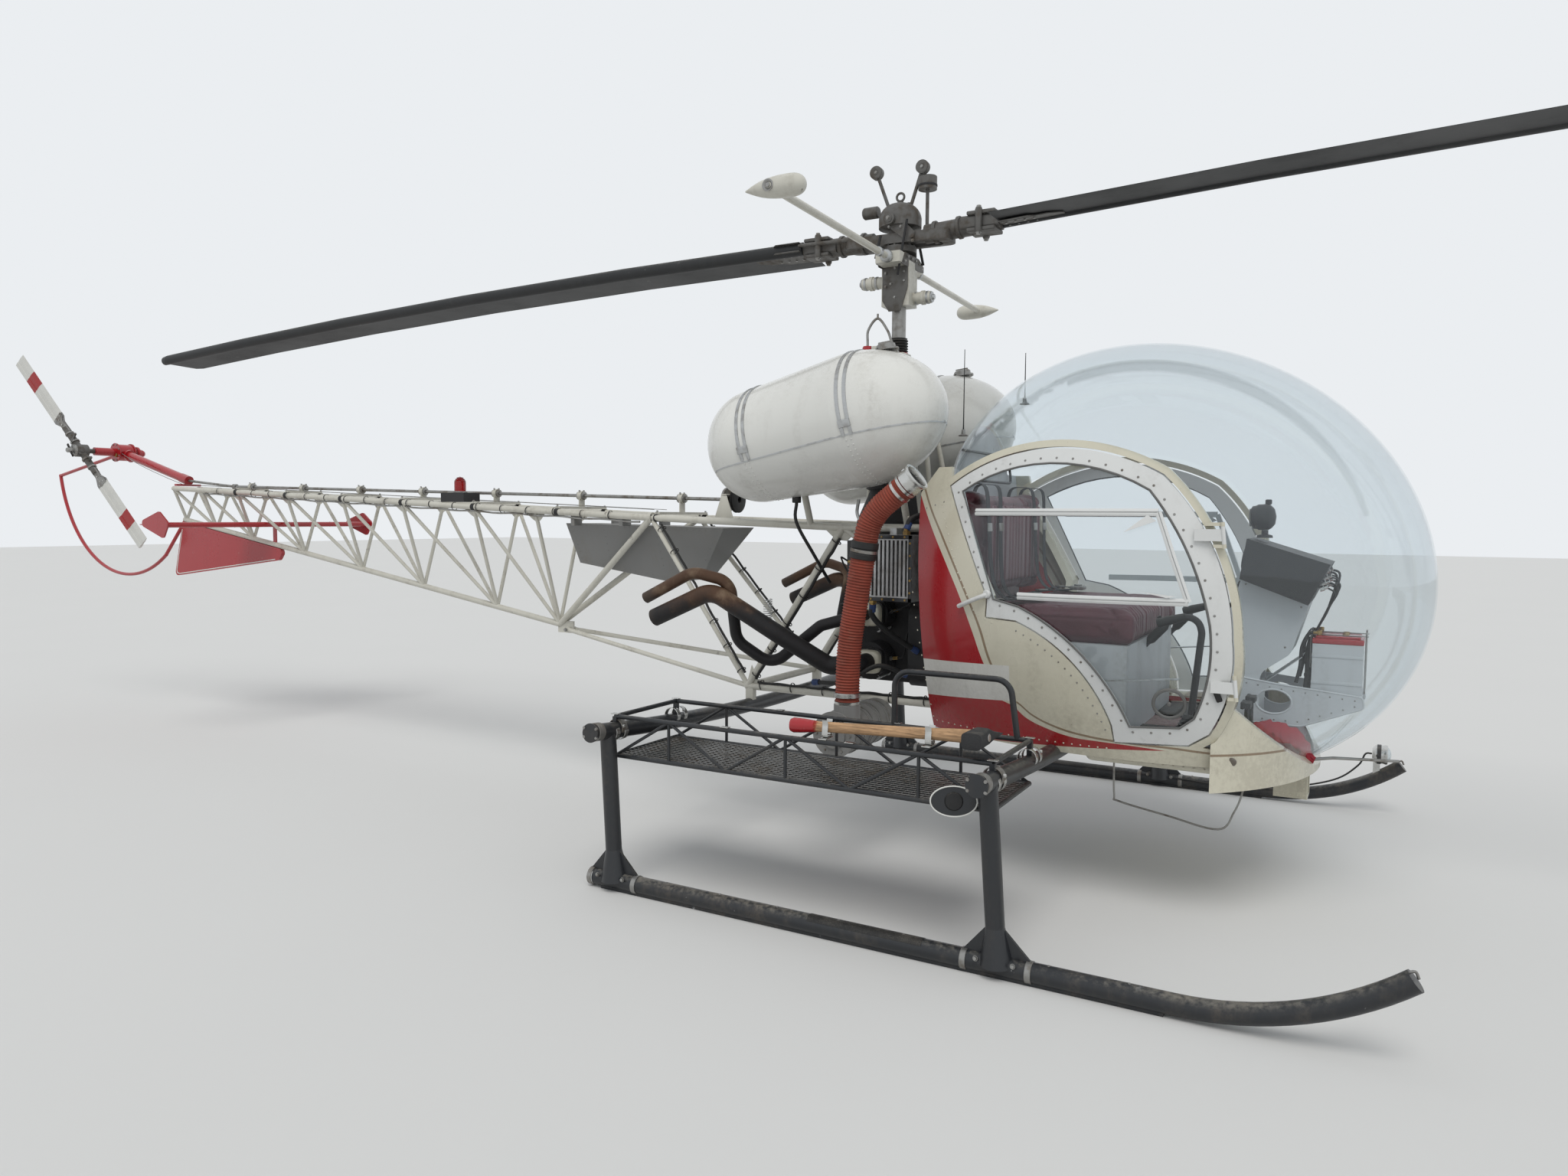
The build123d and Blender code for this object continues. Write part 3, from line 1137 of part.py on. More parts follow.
def rack_axe():
    """Rescue axe in two clips on the outer top rail."""
    y = RACK_Y[1] + 30
    handle = rod((180, y, 705), (880, y, 738), 18)
    head = extrude(Pos(870, y, 720) * make_face(Polyline(*AXE_HEAD, close=True)), amount=36)
    clips = [block((x - 8, x + 8), (RACK_Y[1] - 12, y + 12), (RACK_TOP_Z - 2, 722)) for x in (320, 700)]
    rail = rod((RACK_X[0], RACK_Y[1], RACK_TOP_Z), (RACK_X[1], RACK_Y[1], RACK_TOP_Z), RACK_ROD_R + SEAT)
    return joined([handle, head, *clips]) - rail


def landing_light():
    """Lamp on a bracket that saddles the left skid's tip."""
    y = TRACK / 2
    front = LIGHT_X + LIGHT_LONG
    bowl_at = Plane(origin=(front - 28, y, LIGHT_Z), z_dir=(1, 0, 0))
    back_at = Plane(origin=(LIGHT_X, y, LIGHT_Z), z_dir=(1, 0, 0))
    shell = joined([rod((LIGHT_X + 15, y, LIGHT_Z), (front, y, LIGHT_Z), LIGHT_R),
                    Solid.make_cone(LIGHT_R * 0.6, LIGHT_R, 15, back_at)])
    lamp = shell - Solid.make_cone(LIGHT_R / 2, LIGHT_R - 4, 30, bowl_at)
    bracket = block((LIGHT_X + 5, LIGHT_X + 35), (y - 14, y + 14), (LIGHT_Z - 95, LIGHT_Z - 30))
    return joined([lamp, bracket]) - swept(skid_path(1), SKID_D / 2 + SEAT)


def build_all():
    sides = ((1, "left"), (-1, "right"))
    for side, tag in sides:
        PARTS[f"skid_{tag}"] = skid(side)
        PARTS[f"cabin_side_{tag}"] = cabin_side(side)
        PARTS[f"door_{tag}"] = door(side)
        PARTS[f"door_window_{tag}"] = door_window(side)
        PARTS[f"exhaust_{tag}"] = exhaust(side)
        PARTS[f"fuel_tank_{tag}"] = fuel_tank(side)
    for maker in (gear_legs, cross_tubes, tail_boom, shaft_hangers, drive_shaft, tail_gearbox, tail_guard, tail_fin,
                  stabilizer, boom_box, beacon_box, beacon, rotor_mast, rotor_head, stabilizer_bar, tail_hub,
                  tail_blades, canopy, cabin_nose, cabin_floor, rear_bulkhead, belly_pan, seat_base, seat_cushion,
                  seat_back, console, instrument_panel, nose_shelf, battery_box, flight_controls, engine_block,
                  engine_cylinders, transmission, intake_duct, blower, oil_cooler, accessory_case, centre_frame,
                  cargo_rack, rack_hoop, rack_axe, landing_light):
        PARTS[maker.__name__] = maker()
    for direction, tag in ((1, "front"), (-1, "rear")):
        PARTS[f"main_blade_{tag}"] = main_blade(direction)


build_all()
box = Compound([Compound(shape.solids()) for shape in PARTS.values()]).bounding_box()
SHIFT_X = -(box.min.X + box.max.X) / 2
print("shift", round(SHIFT_X, 4), "box", box)
os.makedirs("parts", exist_ok=True)
for name, shape in PARTS.items():
    export_step(Pos(SHIFT_X, 0, 0) * Compound(shape.solids()), f"parts/{name}.step")
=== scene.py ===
"""Dresses the solid model of a light bubble-canopy helicopter: finishes, trim and the finer pieces.

Lengths are in metres. Places are given from the mast axis (X = 0, Y = 0) and the ground (Z = 0),
and at() moves them into the frame of the solid model. Turned profiles are pairs of a radius and a
height, and forms stand on Z = 0 or about it until they are placed.
"""

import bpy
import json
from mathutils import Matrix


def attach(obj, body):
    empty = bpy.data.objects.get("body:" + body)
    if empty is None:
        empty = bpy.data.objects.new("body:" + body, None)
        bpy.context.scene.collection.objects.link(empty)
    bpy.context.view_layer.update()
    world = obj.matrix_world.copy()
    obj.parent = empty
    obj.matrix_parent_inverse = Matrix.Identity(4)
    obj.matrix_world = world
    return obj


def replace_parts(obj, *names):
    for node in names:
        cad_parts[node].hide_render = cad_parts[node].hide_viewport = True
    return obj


bl_info = {
    "name": "Bubble canopy helicopter",
    "version": (1, 0, 0),
    "blender": (4, 5, 0),
    "location": "View3D > Sidebar > Helicopter",
    "description": "Dresses the solid model of a light helicopter with finishes and finer pieces",
    "category": "Object",
}

import json
from math import atan2, copysign, cos, exp, pi, radians, sin, sqrt, tan, tau

import bmesh
import bpy
from bpy.props import FloatProperty, FloatVectorProperty, IntProperty, PointerProperty
from mathutils import Matrix, Vector
from mathutils.bvhtree import BVHTree

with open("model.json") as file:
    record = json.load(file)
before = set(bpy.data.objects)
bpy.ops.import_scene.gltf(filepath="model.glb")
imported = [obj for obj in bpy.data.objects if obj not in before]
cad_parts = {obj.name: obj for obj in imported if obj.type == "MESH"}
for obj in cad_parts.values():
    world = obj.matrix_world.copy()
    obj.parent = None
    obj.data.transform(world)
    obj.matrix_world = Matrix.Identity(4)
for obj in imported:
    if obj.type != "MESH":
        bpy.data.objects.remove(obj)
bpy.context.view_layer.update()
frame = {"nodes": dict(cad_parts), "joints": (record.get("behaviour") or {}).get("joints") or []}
JOINTS = {joint["name"]: joint for joint in frame["joints"]}
MAST_X = JOINTS["main_rotor_spin"]["pos_m"][0]
UP = Vector((0, 0, 1))
SIDES = (1, -1)

# Places that several pieces share
CYLINDERS = (0.8, 1.01, 1.22)
FRAME_Y, FRAME_FRONT, FRAME_LOW, FRAME_TOP = 0.33, 0.37, 0.644, 1.392
SKID_Y = 1.378
FOOT_X = (-0.552, 0.967)
RACK_X = (-0.585, 0.925)
RACK_Y = (-0.93, -1.33)
HOOP_Y = -0.12
AXE_Y = -1.3
AXE_FOOT, AXE_HEAD = (0.18, 0.705), (0.88, 0.738)
LAMP_Z = 0.29
ROCKER_Y = 0.3003
CASE_X = 0.345
SHAFT_START, SHAFT_END = (-0.88, 1.521), (-5.04, 1.623)


def at(x, y, z):
    """A place given from the mast axis, in the frame of the solid model."""
    return Vector((x + MAST_X, y, z))


def opaque(colour):
    """A colour with its alpha of 1, or a socket as it is."""
    return colour if isinstance(colour, Value) else (*colour[:3], 1.0)


# Shader maths
class Value:
    """A shader socket that takes part in sums and products."""

    def __init__(self, shader, socket):
        self.shader, self.socket = shader, socket

    def __add__(self, other):
        return self.shader.math("ADD", self, other)

    __radd__ = __add__

    def __sub__(self, other):
        return self.shader.math("SUBTRACT", self, other)

    def __rsub__(self, other):
        return self.shader.math("SUBTRACT", other, self)

    def __mul__(self, other):
        return self.shader.math("MULTIPLY", self, other)

    __rmul__ = __mul__


class Shader:
    """The node graph of one finish, or of the sky."""

    def __init__(self, name, world=None):
        self.material = world or bpy.data.materials.new(name)
        self.material.use_nodes = True
        self.tree = self.material.node_tree
        self.tree.nodes.clear()
        self.place = None if world else self.value("ShaderNodeTexCoord", "Object")

    def node(self, kind, settings=None, sockets=None):
        node = self.tree.nodes.new(kind)
        for key, value in (settings or {}).items():
            if key == "points":
                curve = node.mapping.curves[0]
                for spot, (x, y) in zip(curve.points, (value[0], value[-1])):
                    spot.location = (x, y)
                for x, y in value[1:-1]:
                    curve.points.new(x, y)
                node.mapping.update()
            else:
                setattr(node, key, value)
        for key, value in (sockets or {}).items():
            if isinstance(value, Value):
                self.tree.links.new(value.socket, node.inputs[key])
            else:
                node.inputs[key].default_value = value
        return node

    def value(self, kind, output, settings=None, sockets=None):
        return Value(self, self.node(kind, settings, sockets).outputs[output])

    def math(self, operation, a, b=0.0):
        return self.value("ShaderNodeMath", 0, {"operation": operation}, {0: a, 1: b})

    def mix(self, factor, a, b, blend="MIX"):
        return self.value("ShaderNodeMix", 2, {"data_type": "RGBA", "blend_type": blend},
            {0: factor, 6: opaque(a), 7: opaque(b)})

    def scaled(self, x, y, z, turn=(0.0, 0.0, 0.0)):
        return self.value("ShaderNodeMapping", 0, None, {"Vector": self.place, "Scale": (x, y, z),
            "Rotation": turn})

    def noise(self, scale, detail=4.0, rough=0.5, vector=None):
        return self.value("ShaderNodeTexNoise", 0, None,
            {"Vector": vector or self.place, "Scale": scale, "Detail": detail, "Roughness": rough})

    def cells(self, scale, vector=None, feature="F1"):
        return self.value("ShaderNodeTexVoronoi", 0, {"feature": feature},
            {"Vector": vector or self.place, "Scale": scale})

    def ramp(self, value, low, high):
        return self.value("ShaderNodeMapRange", 0, {"interpolation_type": "SMOOTHSTEP"},
            {0: value, 1: low, 2: high})

    def curve(self, value, points):
        return self.value("ShaderNodeFloatCurve", 0, {"points": points}, {1: value})

    def axes(self):
        split = self.node("ShaderNodeSeparateXYZ", None, {0: self.place})
        return [Value(self, split.outputs[i]) for i in range(3)]

    def facing_up(self):
        split = self.node("ShaderNodeSeparateXYZ", None,
            {0: self.value("ShaderNodeTexCoord", "Normal")})
        return Value(self, split.outputs[2])

    def bump(self, height, distance, strength=1.0, normal=None):
        sockets = {"Height": height, "Distance": distance, "Strength": strength}
        if normal:
            sockets["Normal"] = normal
        return self.value("ShaderNodeBump", 0, None, sockets)

    def finish(self, **sockets):
        named = {key.replace("_", " ").title().replace("Ior", "IOR"): value for key,
            value in sockets.items()}
        surface = self.value("ShaderNodeBsdfPrincipled", 0, None, named)
        self.node("ShaderNodeOutputMaterial", None, {0: surface})
        return self.material


def paint(name, colour, rough=0.32, grime=0.4, dirt=(0.18, 0.15, 0.11), chips=0.0,
        under=(0.32, 0.32, 0.31), coat=0.25):
    """Sprayed paint with faded patches, dirt that runs down, dust on top and chips."""
    s = Shader(name)
    broad = s.noise(2.1, 5.0, 0.55)
    runs = s.noise(1.0, 6.0, 0.6, s.scaled(9.0, 9.0, 1.1))
    fine = s.noise(55.0, 6.0, 0.6)
    dust = s.ramp(s.facing_up(), 0.35, 1.0) * s.ramp(fine + broad, 0.85, 1.25) * (0.35 * grime)
    stain = s.ramp(runs + broad * 0.5, 0.68, 1.02) * s.ramp(fine, 0.25, 0.75) * grime
    worn = s.ramp(s.noise(17.0, 8.0, 0.68), 0.64, 0.68) * s.ramp(s.noise(2.8, 3.0), 0.5,
        0.62) * chips
    shade = s.mix(broad * 0.16, colour, [0.82 * c for c in colour])
    shade = s.mix(stain * 0.55, shade, dirt)
    shade = s.mix(dust, shade, (0.42, 0.39, 0.33))
    shade = s.mix(worn, shade, under)
    normal = s.bump(fine * 0.5 - worn * 1.5 + s.noise(420.0, 2.0) * 0.35, 0.00025)
    return s.finish(base_color=shade, roughness=s.ramp(broad + stain, 0.1, 1.6) * 0.34
        + (rough - 0.06) + worn * 0.15, coat_weight=coat, coat_roughness=0.12, normal=normal)


def bare_metal(name, colour, rough=0.34, stain=(0.12, 0.09, 0.06), dirt=0.5,
        brushed=(3.0, 3.0, 60.0), metallic=0.9):
    """Metal with fine machining lines, blotches and oil."""
    s = Shader(name)
    lines = s.noise(6.0, 4.0, 0.6, s.scaled(*brushed))
    broad = s.noise(7.0, 5.0, 0.6)
    oily = s.ramp(broad * 0.7 + s.noise(31.0, 5.0) * 0.5, 0.55, 0.78) * dirt
    shade = s.mix(lines * 0.35, colour, [0.7 * c for c in colour])
    shade = s.mix(oily, shade, stain)
    return s.finish(base_color=shade, metallic=metallic - oily * 0.45, roughness=lines * 0.2
        + (rough - 0.08) + oily * 0.22, normal=s.bump(lines * 0.6 + s.noise(160.0, 3.0) * 0.4,
        0.00018))


def cast(name, colour, rough=0.62, metallic=0.35, grease=0.5):
    """Cast alloy with a pebbled skin, oil and dust."""
    s = Shader(name)
    pits = s.noise(190.0, 5.0, 0.7)
    broad = s.noise(9.0, 5.0, 0.6)
    oily = s.ramp(broad, 0.48, 0.68) * grease
    shade = s.mix(s.ramp(pits, 0.3, 0.7) * 0.35, colour, [1.5 * c + 0.01 for c in colour])
    shade = s.mix(oily, shade, (0.02, 0.016, 0.012))
    shade = s.mix(s.ramp(s.facing_up(), 0.3, 1.0) * s.ramp(s.noise(23.0, 5.0), 0.4, 0.8) * 0.35,
        shade, (0.3, 0.27, 0.22))
    return s.finish(base_color=shade, metallic=metallic, roughness=rough + 0.1 - oily * 0.35,
        normal=s.bump(pits + broad * 0.8, 0.0006))


def heated(name):
    """Exhaust steel: brown where it runs hot and clean, sooty at the ends."""
    s = Shader(name)
    x, _, z = s.axes()
    broad = s.noise(6.0, 6.0, 0.62)
    flakes = s.noise(70.0, 6.0, 0.7)
    hot = s.ramp(z + broad * 0.25, 1.12, 1.24)
    shade = s.mix(hot, (0.017, 0.016, 0.017), (0.085, 0.045, 0.026))
    shade = s.mix(s.ramp(broad, 0.5, 0.72) * hot, shade, (0.21, 0.145, 0.095))
    shade = s.mix(s.ramp(flakes, 0.6, 0.72) * 0.5, shade, (0.13, 0.07, 0.04))
    soot = s.ramp(MAST_X - 0.86 - x, 0.0, 0.08)
    shade = s.mix(soot * 0.8, shade, (0.06, 0.045, 0.035))
    return s.finish(base_color=shade, metallic=0.35, roughness=0.45 + flakes * 0.25,
        normal=s.bump(flakes + broad, 0.0007))


def rubber(name, colour, rough=0.6):
    """Moulded rubber or plastic, dusty on top."""
    s = Shader(name)
    broad = s.noise(11.0, 5.0, 0.6)
    fine = s.noise(260.0, 4.0, 0.6)
    shade = s.mix(s.ramp(broad, 0.35, 0.75) * 0.5, colour, [0.45 * c + 0.004 for c in colour])
    shade = s.mix(s.ramp(s.facing_up(), 0.2, 1.0) * s.ramp(fine + broad, 0.8, 1.3) * 0.22, shade,
        (0.3, 0.27, 0.23))
    return s.finish(base_color=shade, roughness=rough + broad * 0.2 - 0.1,
        normal=s.bump(fine, 0.0005))


def vinyl(name, colour):
    """Seat covering with grain, creases darkened as painted shade, and a worn shine."""
    s = Shader(name)
    broad = s.noise(5.5, 6.0, 0.6)
    grain = s.cells(420.0, feature="DISTANCE_TO_EDGE")
    creases = s.noise(14.0, 6.0, 0.7, s.scaled(1.0, 2.4, 1.0))
    shade = s.mix(s.ramp(broad, 0.3, 0.75) * 0.55, colour, [2.1 * c + 0.012 for c in colour])
    # Painted shade: the colour darkens in the creases.
    shade = s.mix(s.ramp(creases, 0.55, 0.75) * 0.4, shade, [0.45 * c for c in colour])
    return s.finish(base_color=shade, roughness=0.33 + broad * 0.28, sheen_weight=0.15,
        normal=s.bump(grain * 0.5 + creases * 3.0, 0.0011))


def webbing(name, colour):
    """Woven belt or cloth."""
    s = Shader(name)
    weave = s.noise(900.0, 2.0, 0.5, s.scaled(1.0, 0.25, 1.0))
    shade = s.mix(s.noise(24.0, 4.0) * 0.6, colour, [1.9 * c + 0.01 for c in colour])
    return s.finish(base_color=shade, roughness=0.82, normal=s.bump(weave, 0.0006))


def acrylic(name, glints=1.0):
    """Clear sheet: it lets the view through and mirrors the sky, more where it is seen edge-on."""
    s = Shader(name)
    haze = s.noise(3.0, 6.0, 0.6)
    scratches = s.ramp(s.noise(30.0, 8.0, 0.75, s.scaled(1.0, 1.0, 0.25)), 0.62, 0.66)
    through = s.value("ShaderNodeBsdfTransparent", 0, None, {0: (0.945, 0.965, 0.972, 1.0)})
    glint = s.value("ShaderNodeBsdfPrincipled", 0, None, {"Base Color": (0.86, 0.89, 0.92, 1.0),
        "Metallic": 1.0, "Roughness": haze * 0.04 + 0.012 + scratches * 0.15})
    edge = s.value("ShaderNodeLayerWeight", 1, None, {0: 0.5})
    film = s.math("MINIMUM", s.math("POWER", edge, 3.2) * 0.55 + (haze * 0.012 + scratches * 0.012
        + 0.03) * glints, 0.6)
    surface = s.value("ShaderNodeMixShader", 0, None, {0: film, 1: through, 2: glint})
    s.node("ShaderNodeOutputMaterial", None, {0: surface})
    return s.material


def lens(name, colour):
    """Moulded clear plastic of a lamp."""
    s = Shader(name)
    ribs = s.noise(90.0, 2.0, 0.4, s.scaled(1.0, 1.0, 0.3))
    shade = s.mix(ribs * 0.6, colour, [0.55 * c for c in colour])
    return s.finish(base_color=shade, roughness=ribs * 0.06 + 0.05, transmission_weight=0.55,
        ior=1.49, normal=s.bump(ribs, 0.0008))


# X of the red panel's front edge and of the pinstripe against height, and the height of the low
# sweep and its pinstripe against X, all halved so that they fit a curve node
RED_EDGE = [(0.43, 0.337), (0.4415, 0.3305), (0.506, 0.3045), (0.5665, 0.277), (0.627, 0.243),
    (0.6835, 0.208), (0.742, 0.1725), (0.82, 0.128)]
STRIPE_EDGE = [(0.43, 0.354), (0.445, 0.3455), (0.5135, 0.3215), (0.5675, 0.2945), (0.628, 0.261),
    (0.687, 0.225), (0.742, 0.189), (0.82, 0.147)]
SWEEP = [(0.0, 0.375), (0.382, 0.3685), (0.4165, 0.3445), (0.4565, 0.3295), (0.5005, 0.3195),
    (0.554, 0.317), (0.6055, 0.3155), (0.749, 0.306), (0.95, 0.3)]
SWEEP_STRIPE = [(0.0, 0.385), (0.392, 0.376), (0.429, 0.352), (0.474, 0.335), (0.528, 0.325),
    (0.6055, 0.32), (0.679, 0.3175), (0.726, 0.314), (0.95, 0.307)]
BAND_TOP = (0.8476, 0.0508)
BAND_LOW = (0.6838, 0.0854)
RED_FOOT = (0.526, 0.073)


def livery(name, paints):
    """Cream cabin skin with red panels, a bare white band and a brown pinstripe."""
    s = Shader(name)
    x, _, z = s.axes()
    x = x - MAST_X
    soft = 0.0009

    def beyond(value):
        return s.ramp(value, -soft, soft)

    above = beyond(z - (x * BAND_TOP[1] + BAND_TOP[0]))
    below = 1 - beyond(z - (x * BAND_LOW[1] + BAND_LOW[0]))
    upper = above * beyond(s.curve(z * 0.5, RED_EDGE) * 2 - x)
    lower = below * beyond(s.curve(x * 0.5, SWEEP) * 2 - z) * beyond(z
        - (x * RED_FOOT[1] + RED_FOOT[0]))
    red = s.math("MAXIMUM", upper, lower)
    stripe_gap = s.math("ABSOLUTE", x - s.curve(z * 0.5, STRIPE_EDGE) * 2)
    sweep_gap = s.math("ABSOLUTE", z - s.curve(x * 0.5, SWEEP_STRIPE) * 2)
    stripe = s.math("MAXIMUM", above * beyond(0.0055 - stripe_gap),
        below * beyond(0.0042 - sweep_gap) * beyond(x - 0.77))
    band = (1 - above) * (1 - below) * beyond(0.77 - x)
    broad = s.noise(2.3, 5.0, 0.55)
    fine = s.noise(60.0, 6.0, 0.6)
    runs = s.noise(1.0, 6.0, 0.6, s.scaled(11.0, 11.0, 1.0))
    shade = s.mix(band, paints.cream, paints.white)
    shade = s.mix(red, shade, paints.red)
    shade = s.mix(stripe, shade, paints.pinstripe)
    shade = s.mix(broad * 0.25, shade, (0.42, 0.36, 0.27), "MULTIPLY")
    stain = s.ramp(runs + broad * 0.5, 0.72, 1.05) * s.ramp(fine, 0.3, 0.75)
    low = s.ramp(0.95 - z, 0.0, 0.4) * s.ramp(fine + broad, 0.85, 1.2)
    shade = s.mix(stain * 0.25 + low * 0.18, shade, (0.14, 0.11, 0.075))
    specks = s.ramp(s.noise(130.0, 3.0, 0.6), 0.7, 0.735)
    shade = s.mix(specks * 0.6, shade, (0.2, 0.14, 0.08))
    dents = s.noise(7.5, 2.0, 0.4)
    normal = s.bump(dents, 0.0022, 0.6, s.bump(fine * 0.4 + s.noise(400.0, 2.0) * 0.3 + stripe
        * 0.8, 0.0003))
    return s.finish(base_color=shade, roughness=0.2 + broad * 0.14 + stain * 0.2, coat_weight=0.35,
        coat_roughness=0.1, normal=normal)


def red_ribbed(name, colour):
    """Silicone hose with darker and dusty patches, and the cloth inside showing as fine threads."""
    s = Shader(name)
    broad = s.noise(8.0, 6.0, 0.6)
    threads = s.noise(300.0, 3.0, 0.5, s.scaled(1.0, 1.0, 0.3))
    shade = s.mix(s.ramp(broad, 0.35, 0.7) * 0.6, colour, [0.5 * c + 0.006 for c in colour])
    shade = s.mix(s.ramp(s.noise(28.0, 6.0, 0.7), 0.5, 0.75) * 0.45, shade, (0.27, 0.12, 0.085))
    return s.finish(base_color=shade, roughness=0.58 + broad * 0.2, normal=s.bump(threads, 0.0007))


def timber(name, colour):
    """Ash handle with a worn red end."""
    s = Shader(name)
    grain = s.noise(6.0, 8.0, 0.65, s.scaled(1.2, 26.0, 26.0))
    pores = s.ramp(s.noise(24.0, 4.0, 0.6, s.scaled(1.0, 30.0, 30.0)), 0.55, 0.7)
    shade = s.mix(s.ramp(grain, 0.3, 0.72), colour, [0.45 * c for c in colour])
    shade = s.mix(pores * 0.45, shade, (0.12, 0.06, 0.03))
    shade = s.mix(s.ramp(s.noise(9.0, 5.0), 0.5, 0.75) * 0.4, shade, (0.2, 0.12, 0.07))
    x, _, _ = s.axes()
    worn_red = s.ramp(MAST_X + 0.285 - x + s.noise(45.0, 6.0, 0.7) * 0.035, 0.012, 0.03)
    scuffs = s.ramp(s.noise(60.0, 7.0, 0.7), 0.55, 0.62)
    shade = s.mix(worn_red * (1 - scuffs * 0.75), shade, (0.29, 0.022, 0.012))
    return s.finish(base_color=shade, roughness=0.52 + grain * 0.2,
        normal=s.bump(grain + pores, 0.0006))


def mesh_floor(name, colour):
    """Painted expanded-metal sheet seen from afar, its holes near-black as painted shade."""
    s = Shader(name)
    holes = s.cells(95.0, s.scaled(0.6, 1.0, 1.0), "DISTANCE_TO_EDGE")
    # Painted shade: the holes are near-black, for the shade seen through them; the strands are
    # lighter.
    shade = s.mix(s.ramp(holes, 0.05, 0.14), [2.2 * c + 0.01 for c in colour],
        (0.008, 0.008, 0.008))
    shade = s.mix(s.ramp(s.noise(5.0, 6.0), 0.5, 0.75) * 0.35, shade, (0.12, 0.1, 0.08))
    return s.finish(base_color=shade, roughness=0.6, normal=s.bump(s.ramp(holes, 0.05, 0.14),
        0.001))


def banded(name, paints):
    """White tail rotor blade with a red band, by distance from its axis."""
    s = Shader(name)
    pivot = Vector(JOINTS["tail_rotor_spin"]["pos_m"])
    x, _, z = s.axes()
    dx, dz = x - pivot.x, z - pivot.z
    reach = s.math("SQRT", dx * dx + dz * dz)
    ring = s.ramp(reach, 0.584, 0.586) * (1 - s.ramp(reach, 0.698, 0.7))
    root = s.ramp(0.32 - reach, 0.0, 0.002)
    broad = s.noise(9.0, 5.0, 0.6)
    flecks = s.ramp(s.noise(80.0, 5.0, 0.7), 0.62, 0.68)
    shade = s.mix(ring, paints.white, paints.red)
    shade = s.mix(root, shade, (0.24, 0.24, 0.24))
    shade = s.mix(broad * 0.3 + flecks * 0.25, shade, (0.16, 0.14, 0.11))
    return s.finish(base_color=shade, roughness=0.35 + broad * 0.2,
        normal=s.bump(s.noise(210.0, 3.0), 0.0002))


FINISHES = {}


def make_finishes(paints):
    """Every finish of the machine, by name."""
    black = tuple(paints.black)
    FINISHES.update({
        "white": paint("white_gloss", paints.white, 0.26, 0.5, coat=0.4),
        "frame_white": paint("frame_white", (0.56, 0.545, 0.48), 0.4, 0.95, chips=0.75,
            under=(0.12, 0.1, 0.08)),
        "door_white": paint("door_white", (0.68, 0.69, 0.68), 0.3, 0.35, coat=0.3, chips=0.2),
        "cream": paint("cream_gloss", paints.cream, 0.28, 0.5, coat=0.35),
        "livery": livery("cabin_livery", paints),
        "red": paint("red_gloss", paints.red, 0.26, 0.35, dirt=(0.08, 0.02, 0.015), coat=0.4,
            chips=0.35, under=(0.5, 0.42, 0.4)),
        "grey": paint("grey_sheet", (0.2, 0.2, 0.195), 0.42, 0.7, coat=0.05),
        "pale_grey": paint("pale_grey_sheet", (0.56, 0.58, 0.6), 0.42, 0.6, coat=0.05, chips=0.3,
            under=(0.15, 0.15, 0.15)),
        "floor": paint("cabin_floor_paint", (0.1, 0.035, 0.04), 0.55, 0.8, coat=0.0, chips=0.4),
        "black": paint("black_enamel", black, 0.38, 0.55, dirt=(0.1, 0.08, 0.06), chips=0.55,
            under=(0.14, 0.14, 0.14), coat=0.15),
        "skid": paint("black_skid", black, 0.42, 0.9, dirt=(0.16, 0.13, 0.1), chips=1.0,
            under=(0.3, 0.3, 0.3), coat=0.1),
        "blade": paint("matt_blade", (0.017, 0.018, 0.019), 0.55, 0.5, dirt=(0.1, 0.1, 0.1),
            chips=0.25, coat=0.0),
        "plastic": rubber("black_moulding", (0.018, 0.018, 0.019), 0.5),
        "rubber": rubber("black_rubber", (0.012, 0.012, 0.012), 0.55),
        "seal": rubber("grey_seal", (0.14, 0.14, 0.135), 0.6),
        "hose": red_ribbed("red_hose", paints.hose),
        "steel": bare_metal("worn_steel", (0.36, 0.355, 0.34), 0.4, dirt=0.75),
        "bright": bare_metal("bright_metal", (0.62, 0.62, 0.6), 0.24, dirt=0.25, metallic=1.0),
        "aluminium": bare_metal("dull_aluminium", (0.52, 0.53, 0.53), 0.42, dirt=0.5),
        "rotor": bare_metal("rotor_metal", (0.15, 0.145, 0.137), 0.5, (0.07, 0.055, 0.04), 0.85,
            (7.0, 7.0, 7.0), 0.6),
        "cast": cast("dark_casting", (0.035, 0.035, 0.036)),
        "pale_cast": cast("pale_casting", (0.42, 0.41, 0.38), 0.5, 0.2, 0.35),
        "heated": heated("heated_steel"),
        "vinyl": vinyl("burgundy_vinyl", paints.vinyl),
        "webbing": webbing("black_webbing", (0.012, 0.012, 0.014)),
        "red_cloth": webbing("red_cloth", (0.25, 0.012, 0.022)),
        "clear": acrylic("clear_acrylic"),
        "bubble": acrylic("bubble_acrylic", 1.3),
        "beacon": lens("beacon_red", (0.42, 0.008, 0.008)),
        "lamp_glass": lens("lamp_glass", (0.75, 0.78, 0.8)),
        "timber": timber("handle_timber", (0.6, 0.37, 0.2)),
        "mesh": mesh_floor("mesh_sheet", black),
        "tail_blade": banded("tail_blade", paints),
        "brass": bare_metal("brass_fitting", (0.42, 0.28, 0.1), 0.35),
        "blue": rubber("blue_sleeve", (0.02, 0.05, 0.16), 0.45),
    })


